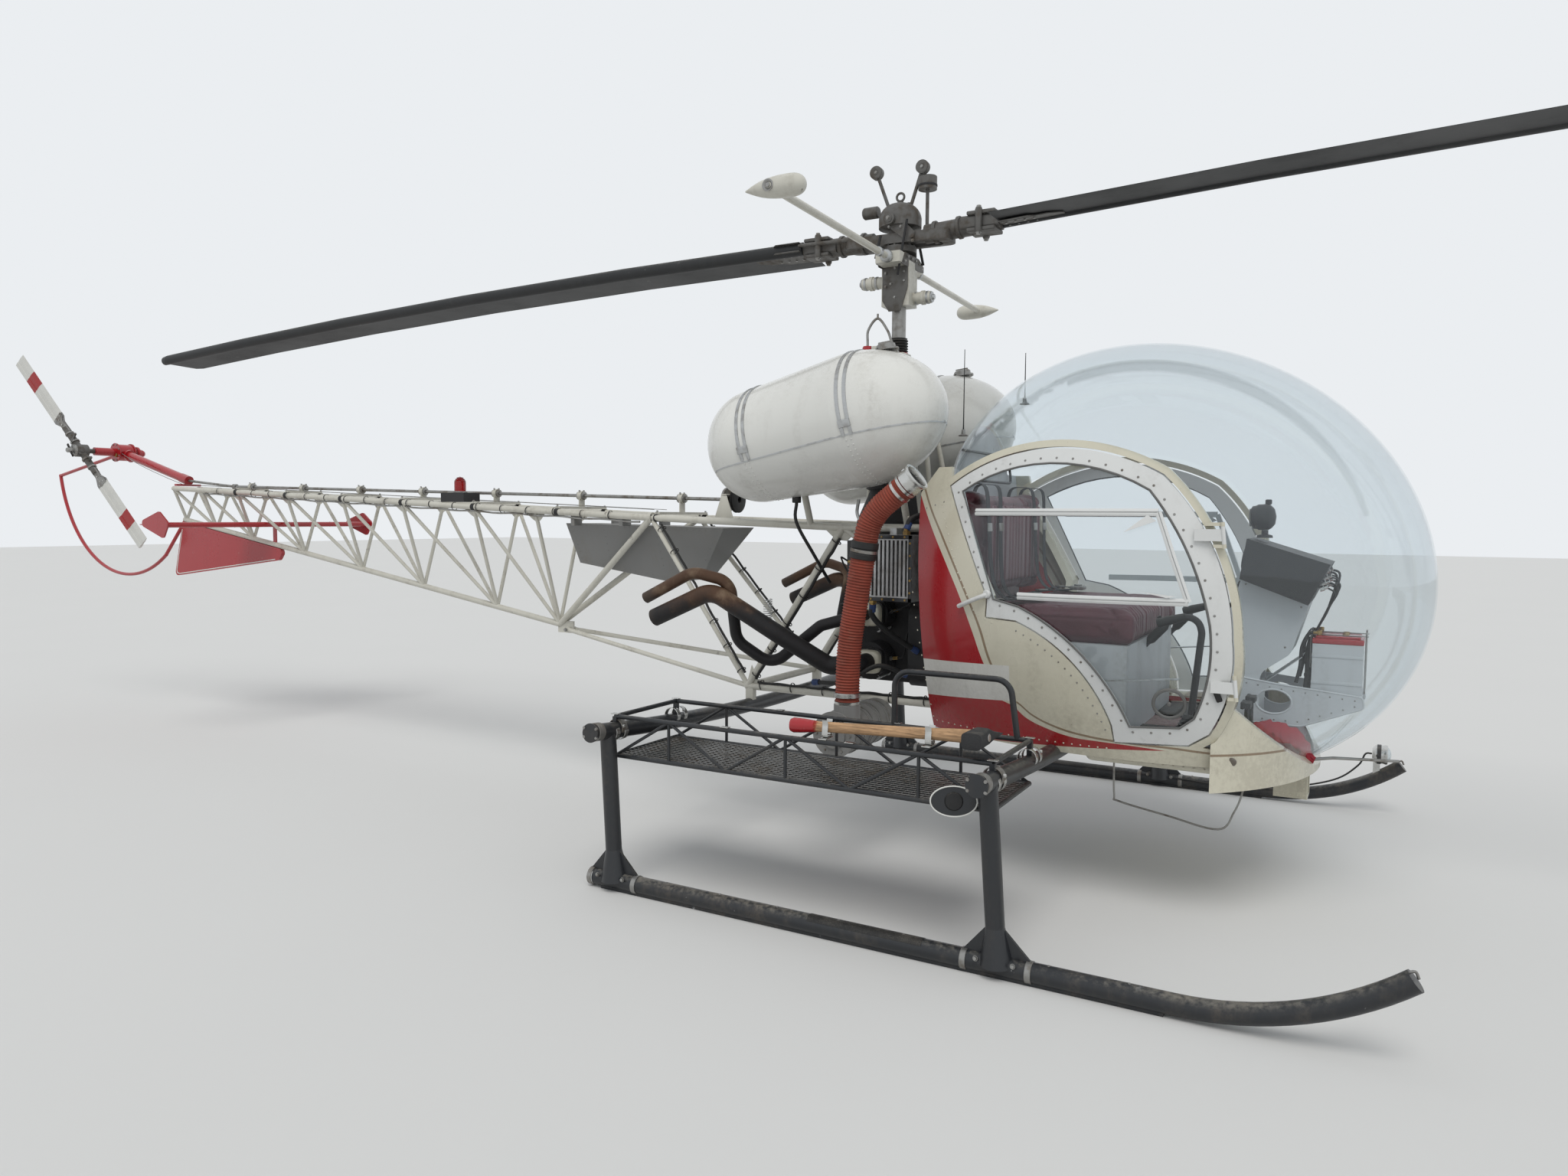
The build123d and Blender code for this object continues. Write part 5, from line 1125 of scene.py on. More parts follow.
def tail_spot(r, out, across=0.0):
    """A place on the tail rotor: along the blades, out along the shaft and across the blades."""
    y = out * cos(TAIL_FLAP) + r * sin(TAIL_FLAP)
    along_blade = r * cos(TAIL_FLAP) - out * sin(TAIL_FLAP)
    x = along_blade * cos(TAIL_TURN) + across * sin(TAIL_TURN)
    z = across * cos(TAIL_TURN) - along_blade * sin(TAIL_TURN)
    return at(TAIL_HUB[0] + x, TAIL_HUB[1] + y, TAIL_HUB[2] + z)


def strap(path, across, width, thick=0.0022):
    """A flat strap laid along a path, its width along one direction."""
    across = Vector(across).normalized() * width / 2
    path = [Vector(p) for p in path]
    loops = []
    for i, spot in enumerate(path):
        way = (path[min(i + 1, len(path) - 1)] - path[max(i - 1, 0)]).normalized()
        up = way.cross(across).normalized() * thick
        loops.append([spot - across, spot - across * 0.92 + up, spot + across * 0.92 + up,
            spot + across, spot + across * 0.92 - up * 0.3, spot - across * 0.92 - up * 0.3])
    return skinned(loops)


def ring_form(inner, outer, height, edge=0.001, steps=32):
    """A flat ring with softened outer rims, standing on Z = 0."""
    return hollow([(inner, 0), (outer - edge, 0), (outer, edge), (outer, height - edge),
        (outer - edge, height), (inner, height)], steps)


def ties(piece, path, step, radius, width=0.012):
    """Small bands round a bundle, at even steps along its path."""
    band = ring_form(radius * 0.8, radius, width, 0.0006, 12)
    for spot, way in spaced(path, step)[1:-1]:
        piece.add(band, placed(spot - way * width / 2, way))


def squared(share, power):
    """A cosine or sine raised to a power below one, which turns a circle into a softened square."""
    return copysign(abs(share) ** power, share)


def crowned(width, height, depth, side=4.0, rings=5, steps=40):
    """A low cover with rounded corners whose top curves in, standing on Z = 0."""
    loops = []
    for i in range(rings + 1):
        rise = sin(0.5 * pi * i / rings)
        shrink = 0.8 + 0.2 * cos(0.5 * pi * i / rings)
        loops.append([(0.5 * width * shrink * squared(u, 2 / side), 0.5 * height * shrink
            * squared(v, 2 / side), depth * rise) for u, v in turns(steps)])
    return skinned(loops)


# How the pads are sewn: where the pleats start along a pad, how far they keep from a seam between
# two places, and the widths and depths of the seams, the rolls and the piping
PLEAT_START, PLEAT_MARGIN = 0.13, 0.035
SPLIT_WIDTH, SPLIT_DEPTH = 0.007, 0.016
ROLL_WIDTH = 0.006
PIPING_DROP, PIPING_WIDTH, PIPING_DEPTH = 0.035, 0.0045, 0.004
PAD_VOXEL = 0.0065
SWELL_LIMIT = 0.02
CLOTH_STEPS = 20
CLOTH_PRESSURE = 4.0


def share(value, full):
    """How much of a full amount a value reaches, from 0 to 1."""
    return min(max(value / full, 0.0), 1.0)


def bell(gap, width):
    """A soft peak of 1 where the gap is 0."""
    return exp(-(gap / width) ** 2)


def seat_pad(look, node, face):
    """One long pad that faces along X (0) or Z (2): swollen by air pressure, then sewn."""
    source = frame["nodes"][node].data
    bm = bmesh.new()
    bm.from_mesh(source)
    bmesh.ops.remove_doubles(bm, verts=bm.verts, dist=1e-5)
    low = [min(v.co[i] for v in bm.verts) for i in range(3)]
    high = [max(v.co[i] for v in bm.verts) for i in range(3)]
    middle = Vector([(a + b) / 2 for a, b in zip(low, high)])
    half = Vector([(b - a) / 2 for a, b in zip(low, high)])
    for v in bm.verts:
        v.co = middle + Vector([(v.co[i] - middle[i]) * (1 - 0.01 / half[i]) for i in range(3)])
    mesh = bpy.data.meshes.new(f"{node}_pad")
    bm.to_mesh(mesh)
    bm.free()
    pad = dressed(f"{node}_pad", mesh, "vinyl")
    even = pad.modifiers.new("remesh", "REMESH")
    even.mode, even.voxel_size = "VOXEL", PAD_VOXEL
    keep_shape(pad)
    swell(pad)
    across = 2 * half.y / look.places
    top = middle[face] + half[face]
    other, front = (2, 0.86) if face == 0 else (0, 1.2)
    pad.data.update()
    normals = [v.normal.copy() for v in pad.data.vertices]
    for v, normal in zip(pad.data.vertices, normals):
        along = (v.co[other] - low[other]) / (high[other] - low[other])
        turned_up = max(normal.z, normal.x) if face == 2 else normal[face]
        facing = share(turned_up - 0.25, 0.4)
        seam = (v.co.y - low[1]) / across
        gap = abs(seam - round(seam)) * across
        split = bell(gap, SPLIT_WIDTH) if 0.5 < seam < look.places - 0.5 else 0.0
        pleat = 2 * abs((v.co.y - low[1] - across / 2) / look.pleat_step % 1.0 - 0.5)
        channel = 1.0 - sqrt(1.0 - 0.97 * pleat * pleat)
        inside = share(along - PLEAT_START, 0.02) * share(front - along, 0.02)
        cross = min(abs(along - PLEAT_START), abs(along - front)) * (high[other] - low[other])
        sewn = channel * inside * share(gap - PLEAT_MARGIN, 0.01)
        roll = bell(cross, ROLL_WIDTH)
        sink = facing * max(sewn * look.pleat_depth, roll * look.pleat_depth * 1.2)
        sink = max(sink, split * SPLIT_DEPTH)
        piping = bell(v.co[face] - (top - PIPING_DROP), PIPING_WIDTH) * (1 - facing)
        v.co -= normal * (sink + piping * PIPING_DEPTH)
    pad.data.shade_smooth()
    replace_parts(pad, node)


def keep_shape(pad):
    """The evaluated mesh becomes the pad's own."""
    made = bpy.data.meshes.new_from_object(pad.evaluated_get(bpy.context.evaluated_depsgraph_get()))
    pad.modifiers.clear()
    pad.data = made


def swell(pad):
    """Blow the pad up a little, and keep each point near where it was."""
    before = [v.co.copy() for v in pad.data.vertices]
    cloth = pad.modifiers.new("cloth", "CLOTH")
    cloth.settings.use_pressure = True
    cloth.settings.uniform_pressure_force = CLOTH_PRESSURE
    cloth.settings.effector_weights.gravity = 0.0
    cloth.settings.quality = 4
    cloth.point_cache.frame_start = 1
    cloth.point_cache.frame_end = CLOTH_STEPS
    for step in range(1, CLOTH_STEPS + 1):
        bpy.context.scene.frame_set(step)
    keep_shape(pad)
    bpy.context.scene.frame_set(1)
    for v, start in zip(pad.data.vertices, before):
        move = v.co - start
        if move.length > SWELL_LIMIT:
            v.co = start + move * (SWELL_LIMIT / move.length)


def seat_straps():
    """Shoulder and lap straps of the outer places."""
    webs, metal = pieces(2)
    for middle in (-0.32, 0.32):
        for side in SIDES:
            y = middle + side * 0.085
            path = [at(0.452, y, 1.5), at(0.47, y, 1.567), at(0.52, y, 1.576), at(0.566, y, 1.56),
                at(0.578, y - side * 0.01, 1.46), at(0.582, y - side * 0.015, 1.36),
                at(0.588, y - side * 0.02, 1.25), at(0.604, y - side * 0.03, 1.16),
                at(0.65, y - side * 0.04, 1.112), at(0.73, y - side * 0.055, 1.108)]
            webs.add(strap(flowing(path, 4), (0, 1, 0), 0.045))
            lap = [at(0.585, middle + side * 0.16, 1.1), at(0.64, middle + side * 0.15, 1.112),
                at(0.7, middle + side * 0.1, 1.116), at(0.752, middle + side * 0.03, 1.118)]
            webs.add(strap(flowing(lap, 4), (0.75, side * 0.55, 0), 0.048))
            metal.add(brick((0.03, 0.052, 0.006), 0.002), spot_at(0.64, middle + side * 0.15, 1.117,
                (0, 0, 1), (1, side * 0.7, 0)))
            metal.add(brick((0.052, 0.034, 0.005), 0.002), spot_at(0.5835, y - side * 0.012, 1.4,
                (1, 0, 0.05), (0, 1, 0)))
        metal.add(brick((0.06, 0.07, 0.018), 0.005), spot_at(0.765, middle, 1.122))
        metal.add(rimmed(0.018, 0.008, 0.002), spot_at(0.765, middle, 1.13))
    webs.done("seat_straps", "webbing")
    metal.done("strap_buckles", "steel")


class HELI_OT_seats(bpy.types.Operator):
    """The bench's padded cushion and back, with pleats, and the straps over them"""
    bl_idname = "heli.seats"
    bl_label = "Seats"

    def execute(self, context):
        look = context.scene.heli_seat
        seat_pad(look, "seat_cushion", 2)
        seat_pad(look, "seat_back", 0)
        seat_straps()
        return {"FINISHED"}


def add_dial(rims, faces, marks, glass, spot, out, up, radius, reading):
    """One dial: rim, face, marks, needle and glass."""
    rims.add(hollow([(radius - 0.004, -0.004), (radius - 0.004, 0.001), (radius - 0.002, 0.005),
        (radius + 0.004, 0.005), (radius + 0.0055, 0.003), (radius + 0.0055, -0.0004)], 40),
        placed(spot, out))
    base = spot - out * 0.0044
    faces.add(rimmed(radius - 0.001, 0.001, 0.0003, 40), placed(base, out))
    side = out.cross(up)
    for k in range(20):
        turn = radians(-140 + 280 * k / 19)
        way = up * cos(turn) + side * sin(turn)
        long = 0.006 if k % 4 == 0 else 0.0035
        marks.add(brick((long, 0.0011, 0.0005), 0.0001, 1),
            placed(base + out * 0.0012 + way * (radius - 0.0085 - long / 2), out, way))
    way = up * cos(reading) + side * sin(reading)
    marks.add(plate([(-0.006, -0.0012), (radius - 0.014, -0.0004), (radius - 0.014, 0.0004),
        (-0.006, 0.0012)], 0.0008), placed(base + out * 0.0022, out, way))
    marks.add(rimmed(0.0032, 0.0012, 0.0003, 16), placed(base + out * 0.0018, out))
    glass.add(rimmed(radius - 0.0042, 0.0008, 0.0002, 32), placed(spot + out * 0.0005, out))


def compass():
    """The compass that stands on the panel."""
    spot = at(1.565, -0.01, 1.372)
    body = Piece()
    body.add(turned([(0, 0), (0.03, 0), (0.028, 0.01), (0.012, 0.014), (0.012, 0.03), (0, 0.03)],
        24), placed(spot - UP * 0.005))
    body.add(turned([(0, -0.052), (0.034, -0.05), (0.044, -0.044), (0.046, -0.03), (0.05, -0.024),
        (0.05, 0.012), (0.044, 0.022), (0.03, 0.034), (0.0, 0.04)], 40),
        placed(spot + UP * 0.076, (1, 0, 0.05)))
    body.add(rimmed(0.012, 0.02, 0.003, 20), placed(spot + Vector((0.01, 0, 0.124))))
    body.done("compass_case", "plastic")
    Piece().add(turned([(0.0, -0.0505), (0.03, -0.0515), (0.03, -0.0525), (0.0, -0.0585)], 32),
        placed(spot + UP * 0.076, (1, 0, 0.05))).done("compass_glass", "clear")
    trim = Piece()
    trim.add(ring_form(0.03, 0.0355, 0.004, 0.001),
        placed(spot + UP * 0.076 - Vector((0.0555, 0, 0.003)), (1, 0, 0.05)))
    for sy in SIDES:
        trim.add(rivet(0.003, 0.6, 10), placed(spot + Vector((-0.03, sy * 0.036, 0.04)),
            (-1, 0, -0.1)))
    trim.done("compass_trim", "steel")


def console_trim():
    """Screws and a cover plate on the pedestal, and the looms that run from the panel."""
    screws = Piece()
    for sy in SIDES:
        for x, z in ((1.49, 1.09), (1.515, 1.19), (1.71, 1.11), (1.66, 0.955), (1.5, 0.88),
                (1.5, 0.74), (1.5, 0.64), (1.56, 0.64), (1.56, 0.78)):
            screws.add(rivet(0.0042, 0.5, 10), spot_at(x, sy * 0.1201, z, (0, sy, 0)))
    for z in (0.65, 0.72, 0.8):
        for sy in SIDES:
            screws.add(rivet(0.0042, 0.5, 10), spot_at(1.5753, sy * 0.1, z, (1, 0, 0)))
    screws.done("console_screws", "steel")
    door = Piece()
    door.add(plate([(-0.1, -0.085), (0.1, -0.085), (0.1, 0.085), (-0.1, 0.085)], 0.002, 0.0006),
        placed(at(1.627, 0.0, 0.886) + Vector((0.026, 0, -0.022)), (0.42, 0, -0.5), (0, 1, 0)))
    loom, wires, plugs = pieces(3)
    panel_front = Vector((1.772, 0, 1.2))
    for i, y in enumerate((-0.15, -0.105, -0.058, -0.015, 0.03, 0.072, 0.118, 0.155)):
        start = at(panel_front.x + 0.004 + 0.004 * (i % 3), y, 1.185 + 0.018 * (i % 4))
        plugs.add(turned([(0, -0.006), (0.011, -0.006), (0.011, 0.008), (0.008, 0.01),
            (0.008, 0.022), (0, 0.024)], 16), placed(start, (0.9, 0, 0.35)))
        bend = [start + Vector((0.015, 0, 0.006)), start + Vector((0.045, 0.01, -0.02)),
            at(1.795, y * 0.6, 1.1), at(1.765, y * 0.35, 1.03), at(1.745, y * 0.22, 0.985)]
        wires.wire(bend, 0.0032 + 0.0012 * (i % 2), 2)
    trunk = [at(1.745, -0.02, 0.99), at(1.735, -0.03, 0.93), at(1.738, -0.06, 0.86),
        at(1.735, -0.07, 0.8)]
    loom.wire(trunk, 0.012)
    ties(loom, flowing(trunk, 6), 0.05, 0.0135)
    wires.done("panel_wires", "rubber")
    plugs.done("panel_plugs", "bright")
    loom.done("panel_loom", "rubber")
    door.done("console_cover", "pale_grey")


def battery_trim():
    """Lid, posts, leads, rods and ribs of the battery box."""
    x0, x1, top = 1.752, 1.92, 0.975
    lid = Piece()
    lid.add(brick((0.172, 0.22, 0.02), 0.004), spot_at((x0 + x1) / 2, 0, top + 0.01))
    lid.add(brick((0.15, 0.19, 0.01), 0.003), spot_at((x0 + x1) / 2, 0, top + 0.024))
    lid.done("battery_lid", "red")
    posts, leads, nuts = pieces(3)
    for sy in SIDES:
        spot = at(1.772, sy * 0.07, top + 0.028)
        posts.add(rimmed(0.01, 0.02, 0.002, 16), placed(spot))
        posts.add(brick((0.03, 0.018, 0.01), 0.002), placed(spot + Vector((-0.006, 0, 0.01))))
        run = [spot + Vector((-0.02, 0, 0.01)), at(1.735, sy * 0.072, top + 0.03),
            at(1.715, sy * 0.078, top - 0.02), at(1.712, sy * 0.09, 0.885), at(1.7, sy * 0.1, 0.82)]
        leads.wire(run, 0.0065)
        for x in (x0 - 0.008, x1 + 0.008):
            nuts.bar([at(x, sy * 0.06, 0.792), at(x, sy * 0.06, top + 0.042)], 0.003)
            nuts.add(brick((0.006, 0.026, 0.012), 0.002), spot_at(x, sy * 0.06, top + 0.04))
        nuts.add(brick((0.2, 0.016, 0.003), 0.001), spot_at((x0 + x1) / 2, sy * 0.06, top + 0.031))
    for i in range(3):
        posts.add(rimmed(0.012, 0.006, 0.002, 16), spot_at(1.86, -0.055 + 0.055 * i, top + 0.029))
    posts.done("battery_posts", "brass")
    leads.done("battery_leads", "rubber")
    nuts.done("battery_rods", "steel")
    straps = Piece()
    for z in (0.83, 0.93):
        straps.add(brick((0.17, 0.002, 0.012), 0.0006),
            *(spot_at((x0 + x1) / 2, sy * 0.109, z) for sy in SIDES))
    straps.done("battery_ribs", "pale_grey")


def shelf_trim():
    """Turned lips, a flanged hole and rivets on the shelf's side plates."""
    outline = [(1.469, 0.835), (1.648, 0.812), (1.924, 0.786), (1.93, 0.746), (1.722, 0.659),
        (1.538, 0.661)]
    lips, rivets = pieces(2)
    for sy in SIDES:
        y = sy * 0.1228
        edge = [at(x, y, z) for x, z in outline]
        lips.bar(rounded(edge, 0.012, 4), 0.0042, 2)
        hole = [at(1.627 + 0.063 * u, y, 0.745 + 0.047 * v) for u, v in turns(32)]
        lips.bar(hole, 0.0045, 2, True)
        for line in (((1.49, 0.815), (1.648, 0.796), (1.9, 0.772)),
                ((1.55, 0.677), (1.715, 0.675), (1.9, 0.75))):
            row(rivets, rivet(0.0032, 0.5), [(x, sy * 0.1255, z) for x, z in line], 0.04,
                (0, sy, 0))
    lips.done("shelf_lips", "pale_grey")
    rivets.done("shelf_rivets", "steel")


class HELI_OT_instruments(bpy.types.Operator):
    """Dials, switches, compass, console screws, battery leads and the nose shelf's fittings"""
    bl_idname = "heli.instruments"
    bl_label = "Instruments"

    def execute(self, context):
        low, high = Vector((1.499, 0, 1.2123)), Vector((1.52, 0, 1.366))
        up = (high - low).normalized()
        out = Vector((-up.z, 0, up.x))
        rims, faces, marks, glass = pieces(4)
        for i, y in enumerate((-0.142, -0.048, 0.048, 0.142)):
            spot = at(*(low + (high - low) * 0.5)) + Vector((0, y, 0))
            add_dial(rims, faces, marks, glass, spot, out, up, 0.034, 0.4 + 1.3 * i)
            for sy in SIDES:
                for share in (0.12, 0.88):
                    rims.add(rivet(0.0035, 0.5, 10),
                        placed(at(*(low + (high - low) * share)) + Vector((0, y + sy * 0.036, 0)),
                        out))
        slope_low, slope_high = Vector((1.4615, 0, 1.084)), Vector((1.4995, 0, 1.211))
        climb = (slope_high - slope_low).normalized()
        toward = Vector((-climb.z, 0, climb.x))
        for row, share in enumerate((0.24, 0.68)):
            for i in range(3):
                y = -0.076 + 0.076 * i
                spot = at(*(slope_low + (slope_high - slope_low) * share)) + Vector((0, y,
                    0)) + toward * 0.005
                add_dial(rims, faces, marks, glass, spot, toward, climb, 0.024, 0.9 + 0.8 * i + row)
        switches = Piece()
        for i in range(7):
            y = -0.093 + 0.031 * i
            spot = at(*(slope_low + (slope_high - slope_low) * 0.03)) + Vector((0, y, 0))
            switches.add(rimmed(0.006, 0.005, 0.001, 12), placed(spot, toward))
            switches.bar([spot, spot + (toward + up * 0.6) * 0.018], [0.0018, 0.0028])
        rims.done("dial_rims", "plastic")
        faces.done("dial_faces", "rubber")
        marks.done("dial_marks", "white")
        glass.done("dial_glass", "clear")
        switches.done("console_switches", "bright")
        compass()
        console_trim()
        battery_trim()
        shelf_trim()
        return {"FINISHED"}


class HELI_OT_controls(bpy.types.Operator):
    """Grips and boots of the sticks, pedal treads, collective levers and the floor's fittings"""
    bl_idname = "heli.controls"
    bl_label = "Flight controls"

    def execute(self, context):
        grips, boots, levers, treads = pieces(4)
        for y in (0.3, -0.3):
            path = [at(1.262, y, 1.049), at(1.248, y, 1.045), at(1.236, y, 1.041),
                at(1.226, y, 1.038)]
            grips.bar([at(1.33, y, 1.069), at(1.3, y, 1.06), *path],
                [0.0142, 0.0165, 0.0185, 0.0165, 0.019, 0.0165], 6)
            grips.add(brick((0.016, 0.01, 0.012), 0.003),
                spot_at(1.232, y + 0.006, 1.06, (-0.4, 0, 1)))
            rings = [(0.0, 0.0)]
            for i in range(7):
                r = 0.062 - 0.0062 * i
                rings += [(r, 0.012 * i), (r + 0.004, 0.012 * i + 0.006)]
            boots.add(turned([*rings, (0.018, 0.092), (0.0, 0.092)], 32), spot_at(1.352, y, 0.6046))
            boots.add(ring_form(0.04, 0.072, 0.004, 0.001), spot_at(1.352, y, 0.6046))
            lever_y = y + 0.215
            run = [at(0.98, lever_y, 0.615), at(1.02, lever_y, 0.7), at(1.12, lever_y, 0.9),
                at(1.2, lever_y, 0.99)]
            levers.bar(rounded(run, 0.05), 0.011, 4)
            grips.bar([at(1.155, lever_y, 0.94), at(1.165, lever_y, 0.951),
                at(1.215, lever_y, 1.007), at(1.225, lever_y, 1.018)], [0.012, 0.019, 0.019, 0.012],
                6)
            for sy in (-0.075, 0.075):
                for i in range(4):
                    treads.bar([at(1.5425, y + sy - 0.03, 0.7585 + 0.005 * i),
                        at(1.5425, y + sy + 0.03, 0.7585 + 0.005 * i)], 0.0016, 2)
                treads.add(brick((0.012, 0.074, 0.026), 0.003), spot_at(1.548, y + sy, 0.765))
                levers.bar([at(1.56, y + sy, 0.64), at(1.585, y + sy * 0.4, 0.625),
                    at(1.6, y, 0.62)], 0.006)
        grips.done("control_grips", "rubber")
        boots.done("stick_boots", "rubber")
        levers.done("control_levers", "black")
        treads.done("pedal_treads", "rubber")
        mats, screws = pieces(2)
        for y in (0.3, -0.3):
            mats.add(brick((0.3, 0.34, 0.008), 0.003), spot_at(1.3, y, 0.6085))
        for x in (1.18, 1.28, 1.38, 1.48):
            for y in (-0.52, -0.1, 0.1, 0.52):
                screws.add(rivet(0.004, 0.5), spot_at(x, y, 0.604))
        mats.done("floor_mats", "rubber")
        screws.done("floor_screws", "steel")
        ledge = Piece()
        ledge.add(plate([(-0.295, -0.016), (0.0, -0.016), (0.0, 0.016), (-0.295, 0.016)], 0.004,
            0.001), *(spot_at(1.355, side * 0.575, 0.868, (-0.1, 0, 1), (1, 0, 0.1))
            for side in SIDES))
        ledge.done("sill_ledges", "aluminium")
        return {"FINISHED"}


def cylinder_tops():
    """Rocker covers, push rod tubes and barrel nuts of the six cylinders."""
    covers, bolts, tubes_in, heads = pieces(4)
    cover = crowned(0.138, 0.106, 0.026)
    for z in CYLINDERS:
        for side in SIDES:
            covers.add(cover, spot_at(0, side * ROCKER_Y, z, (0, side, 0)))
            covers.add(rimmed(0.012, 0.008, 0.002, 16), spot_at(0.0, side * 0.3255, z + 0.012,
                (0, side, 0)))
            for u, v in turns(6, 0.5):
                spot = at(0.064 * u, side * ROCKER_Y, z + 0.05 * v)
                bolts.add(bolt(0.0048, 0.0055), placed(spot, (0, side, 0)))
            for x in (-0.04, 0.04):
                tubes_in.bar([at(x * 1.2, side * 0.168, z - 0.06), at(x, side * 0.272, z - 0.072)],
                    0.0095)
                tubes_in.add(ring_form(0.009, 0.014, 0.008, 0.001, 16),
                    spot_at(x * 1.15, side * 0.171, z - 0.061, (0, side, 0)))
            for u, v in turns(8, 0.5):
                heads.add(bolt(0.005, 0.007), spot_at(0.074 * u, side * 0.1703, z + 0.074 * v,
                    (0, side, 0)))
    covers.done("rocker_covers", "cream")
    bolts.done("rocker_bolts", "steel")
    tubes_in.done("pushrod_tubes", "aluminium")
    heads.done("barrel_nuts", "steel")


def plug_leads():
    """Spark plugs, two to a cylinder, and their leads to the magnetos."""
    plugs, leads, sleeves = pieces(3)
    for i, z in enumerate(CYLINDERS):
        for side in SIDES:
            for sx in SIDES:
                spot = at(sx * 0.083, side * 0.238, z + 0.012)
                way = Vector((sx, side * 0.25, 0.15)).normalized()
                plugs.add(turned([(0, -0.004), (0.01, -0.004), (0.01, 0.008), (0.0065, 0.01),
                    (0.0065, 0.02), (0, 0.02)], 6), placed(spot, way))
                sleeves.add(rimmed(0.0075, 0.026, 0.002, 14), placed(spot + way * 0.018, way))
                mag = at(0.285, side * (0.075 + 0.02 * i), 1.035 + 0.006 * i)
                run = [spot + way * 0.04, spot + way * 0.075 + UP * 0.01,
                    at(sx * 0.12 + 0.06, side * (0.262 + 0.01 * i), z * 0.5 + 0.55),
                    at(0.215, side * (0.235 + 0.008 * i), 1.06 + 0.02 * i), mag]
                leads.wire(run, 0.0042, 2)
    plugs.done("spark_plugs", "steel")
    sleeves.done("plug_sleeves", "brass")
    leads.done("plug_leads", "rubber")


def oil_cooler():
    """Core as black sheets of painted shade, crimped fins, rims and unions of the oil cooler, and
    its hoses.
    """
    (x0, x1), (y0, y1), (z0, z1) = (0.06, 0.3), (-0.52, -0.43), (1.09, 1.365)
    core, fins, rim, unions = pieces(4)
    # Painted shade: two black sheets set inside the core stand for its shaded depth behind the
    # fins.
    for y in (y0 + 0.0285, y1 - 0.0285):
        core.add(brick((x1 - x0 - 0.05, 0.0008, z1 - z0 - 0.05), 0.0002, 1),
            spot_at((x0 + x1) / 2, y, (z0 + z1) / 2))
    step = (x1 - x0 - 0.044 - 0.009) / 10
    for i in range(11):
        x = x0 + 0.022 + step * i
        crimp = [at(x + (0.0012 if k % 2 else 0.0078), y0 + 0.012, z0 + 0.024 + (z1 - z0 - 0.048)
            * k / 44) for k in range(45)]
        fins.bar(crimp, 0.0009, 1)
    for y in (y0 - 0.002, y1 + 0.002):
        out = (0, -1 if y < y1 else 1, 0)
        frame_line = [at(x0 + 0.008, y, z0 + 0.008), at(x1 - 0.008, y, z0 + 0.008),
            at(x1 - 0.008, y, z1 - 0.008), at(x0 + 0.008, y, z1 - 0.008)]
        for a, b in zip(frame_line, frame_line[1:] + frame_line[:1]):
            rim.add(brick(((b - a).length + 0.016, 0.016, 0.004), 0.001),
                placed((a + b) / 2, out, b - a))
        for spot, _ in spaced(frame_line, 0.052, True):
            unions.add(bolt(0.0038, 0.004), placed(spot + Vector(out) * 0.002, out))
    for x, z in ((x0 + 0.045, z0), (x1 - 0.045, z1)):
        way = (0, 0, -1 if z == z0 else 1)
        unions.add(turned([(0, 0), (0.017, 0), (0.017, 0.014), (0.013, 0.016), (0.013, 0.03),
            (0, 0.03)], 6), spot_at(x, (y0 + y1) / 2, z, way))
    core.done("cooler_core_shade", "rubber")
    fins.done("cooler_fins", "bright")
    rim.done("cooler_rim", "black")
    unions.done("cooler_unions", "brass")
    hoses = Piece()
    low = [at(x0 + 0.045, -0.475, z0 - 0.022), at(0.1, -0.465, 1.02), at(0.14, -0.4, 0.95),
        at(0.19, -0.34, 0.9), at(0.235, -0.295, 0.86)]
    high = [at(x1 - 0.045, -0.475, z1 + 0.024), at(0.265, -0.45, 1.43), at(0.3, -0.385, 1.44),
        at(0.335, -0.3, 1.35), at(0.33, -0.24, 1.15), at(0.3, -0.2, 1.05)]
    across = [at(-0.22, -0.385, 0.7), at(-0.05, -0.42, 0.72), at(0.1, -0.405, 0.8),
        at(0.2, -0.33, 0.76)]
    for run, r in ((low, 0.0125), (high, 0.0125), (across, 0.01)):
        hoses.wire(run, r, 4, 8)
    hoses.done("oil_hoses", "rubber")
    ends = Piece()
    for run in (low, high, across):
        for a, b in ((run[0], run[1]), (run[-1], run[-2])):
            way = (b - a).normalized()
            ends.add(turned([(0, -0.004), (0.015, -0.004), (0.015, 0.014), (0.0135, 0.016),
                (0.0135, 0.03), (0, 0.03)], 16), placed(a, way))
    ends.done("hose_ends", "blue")


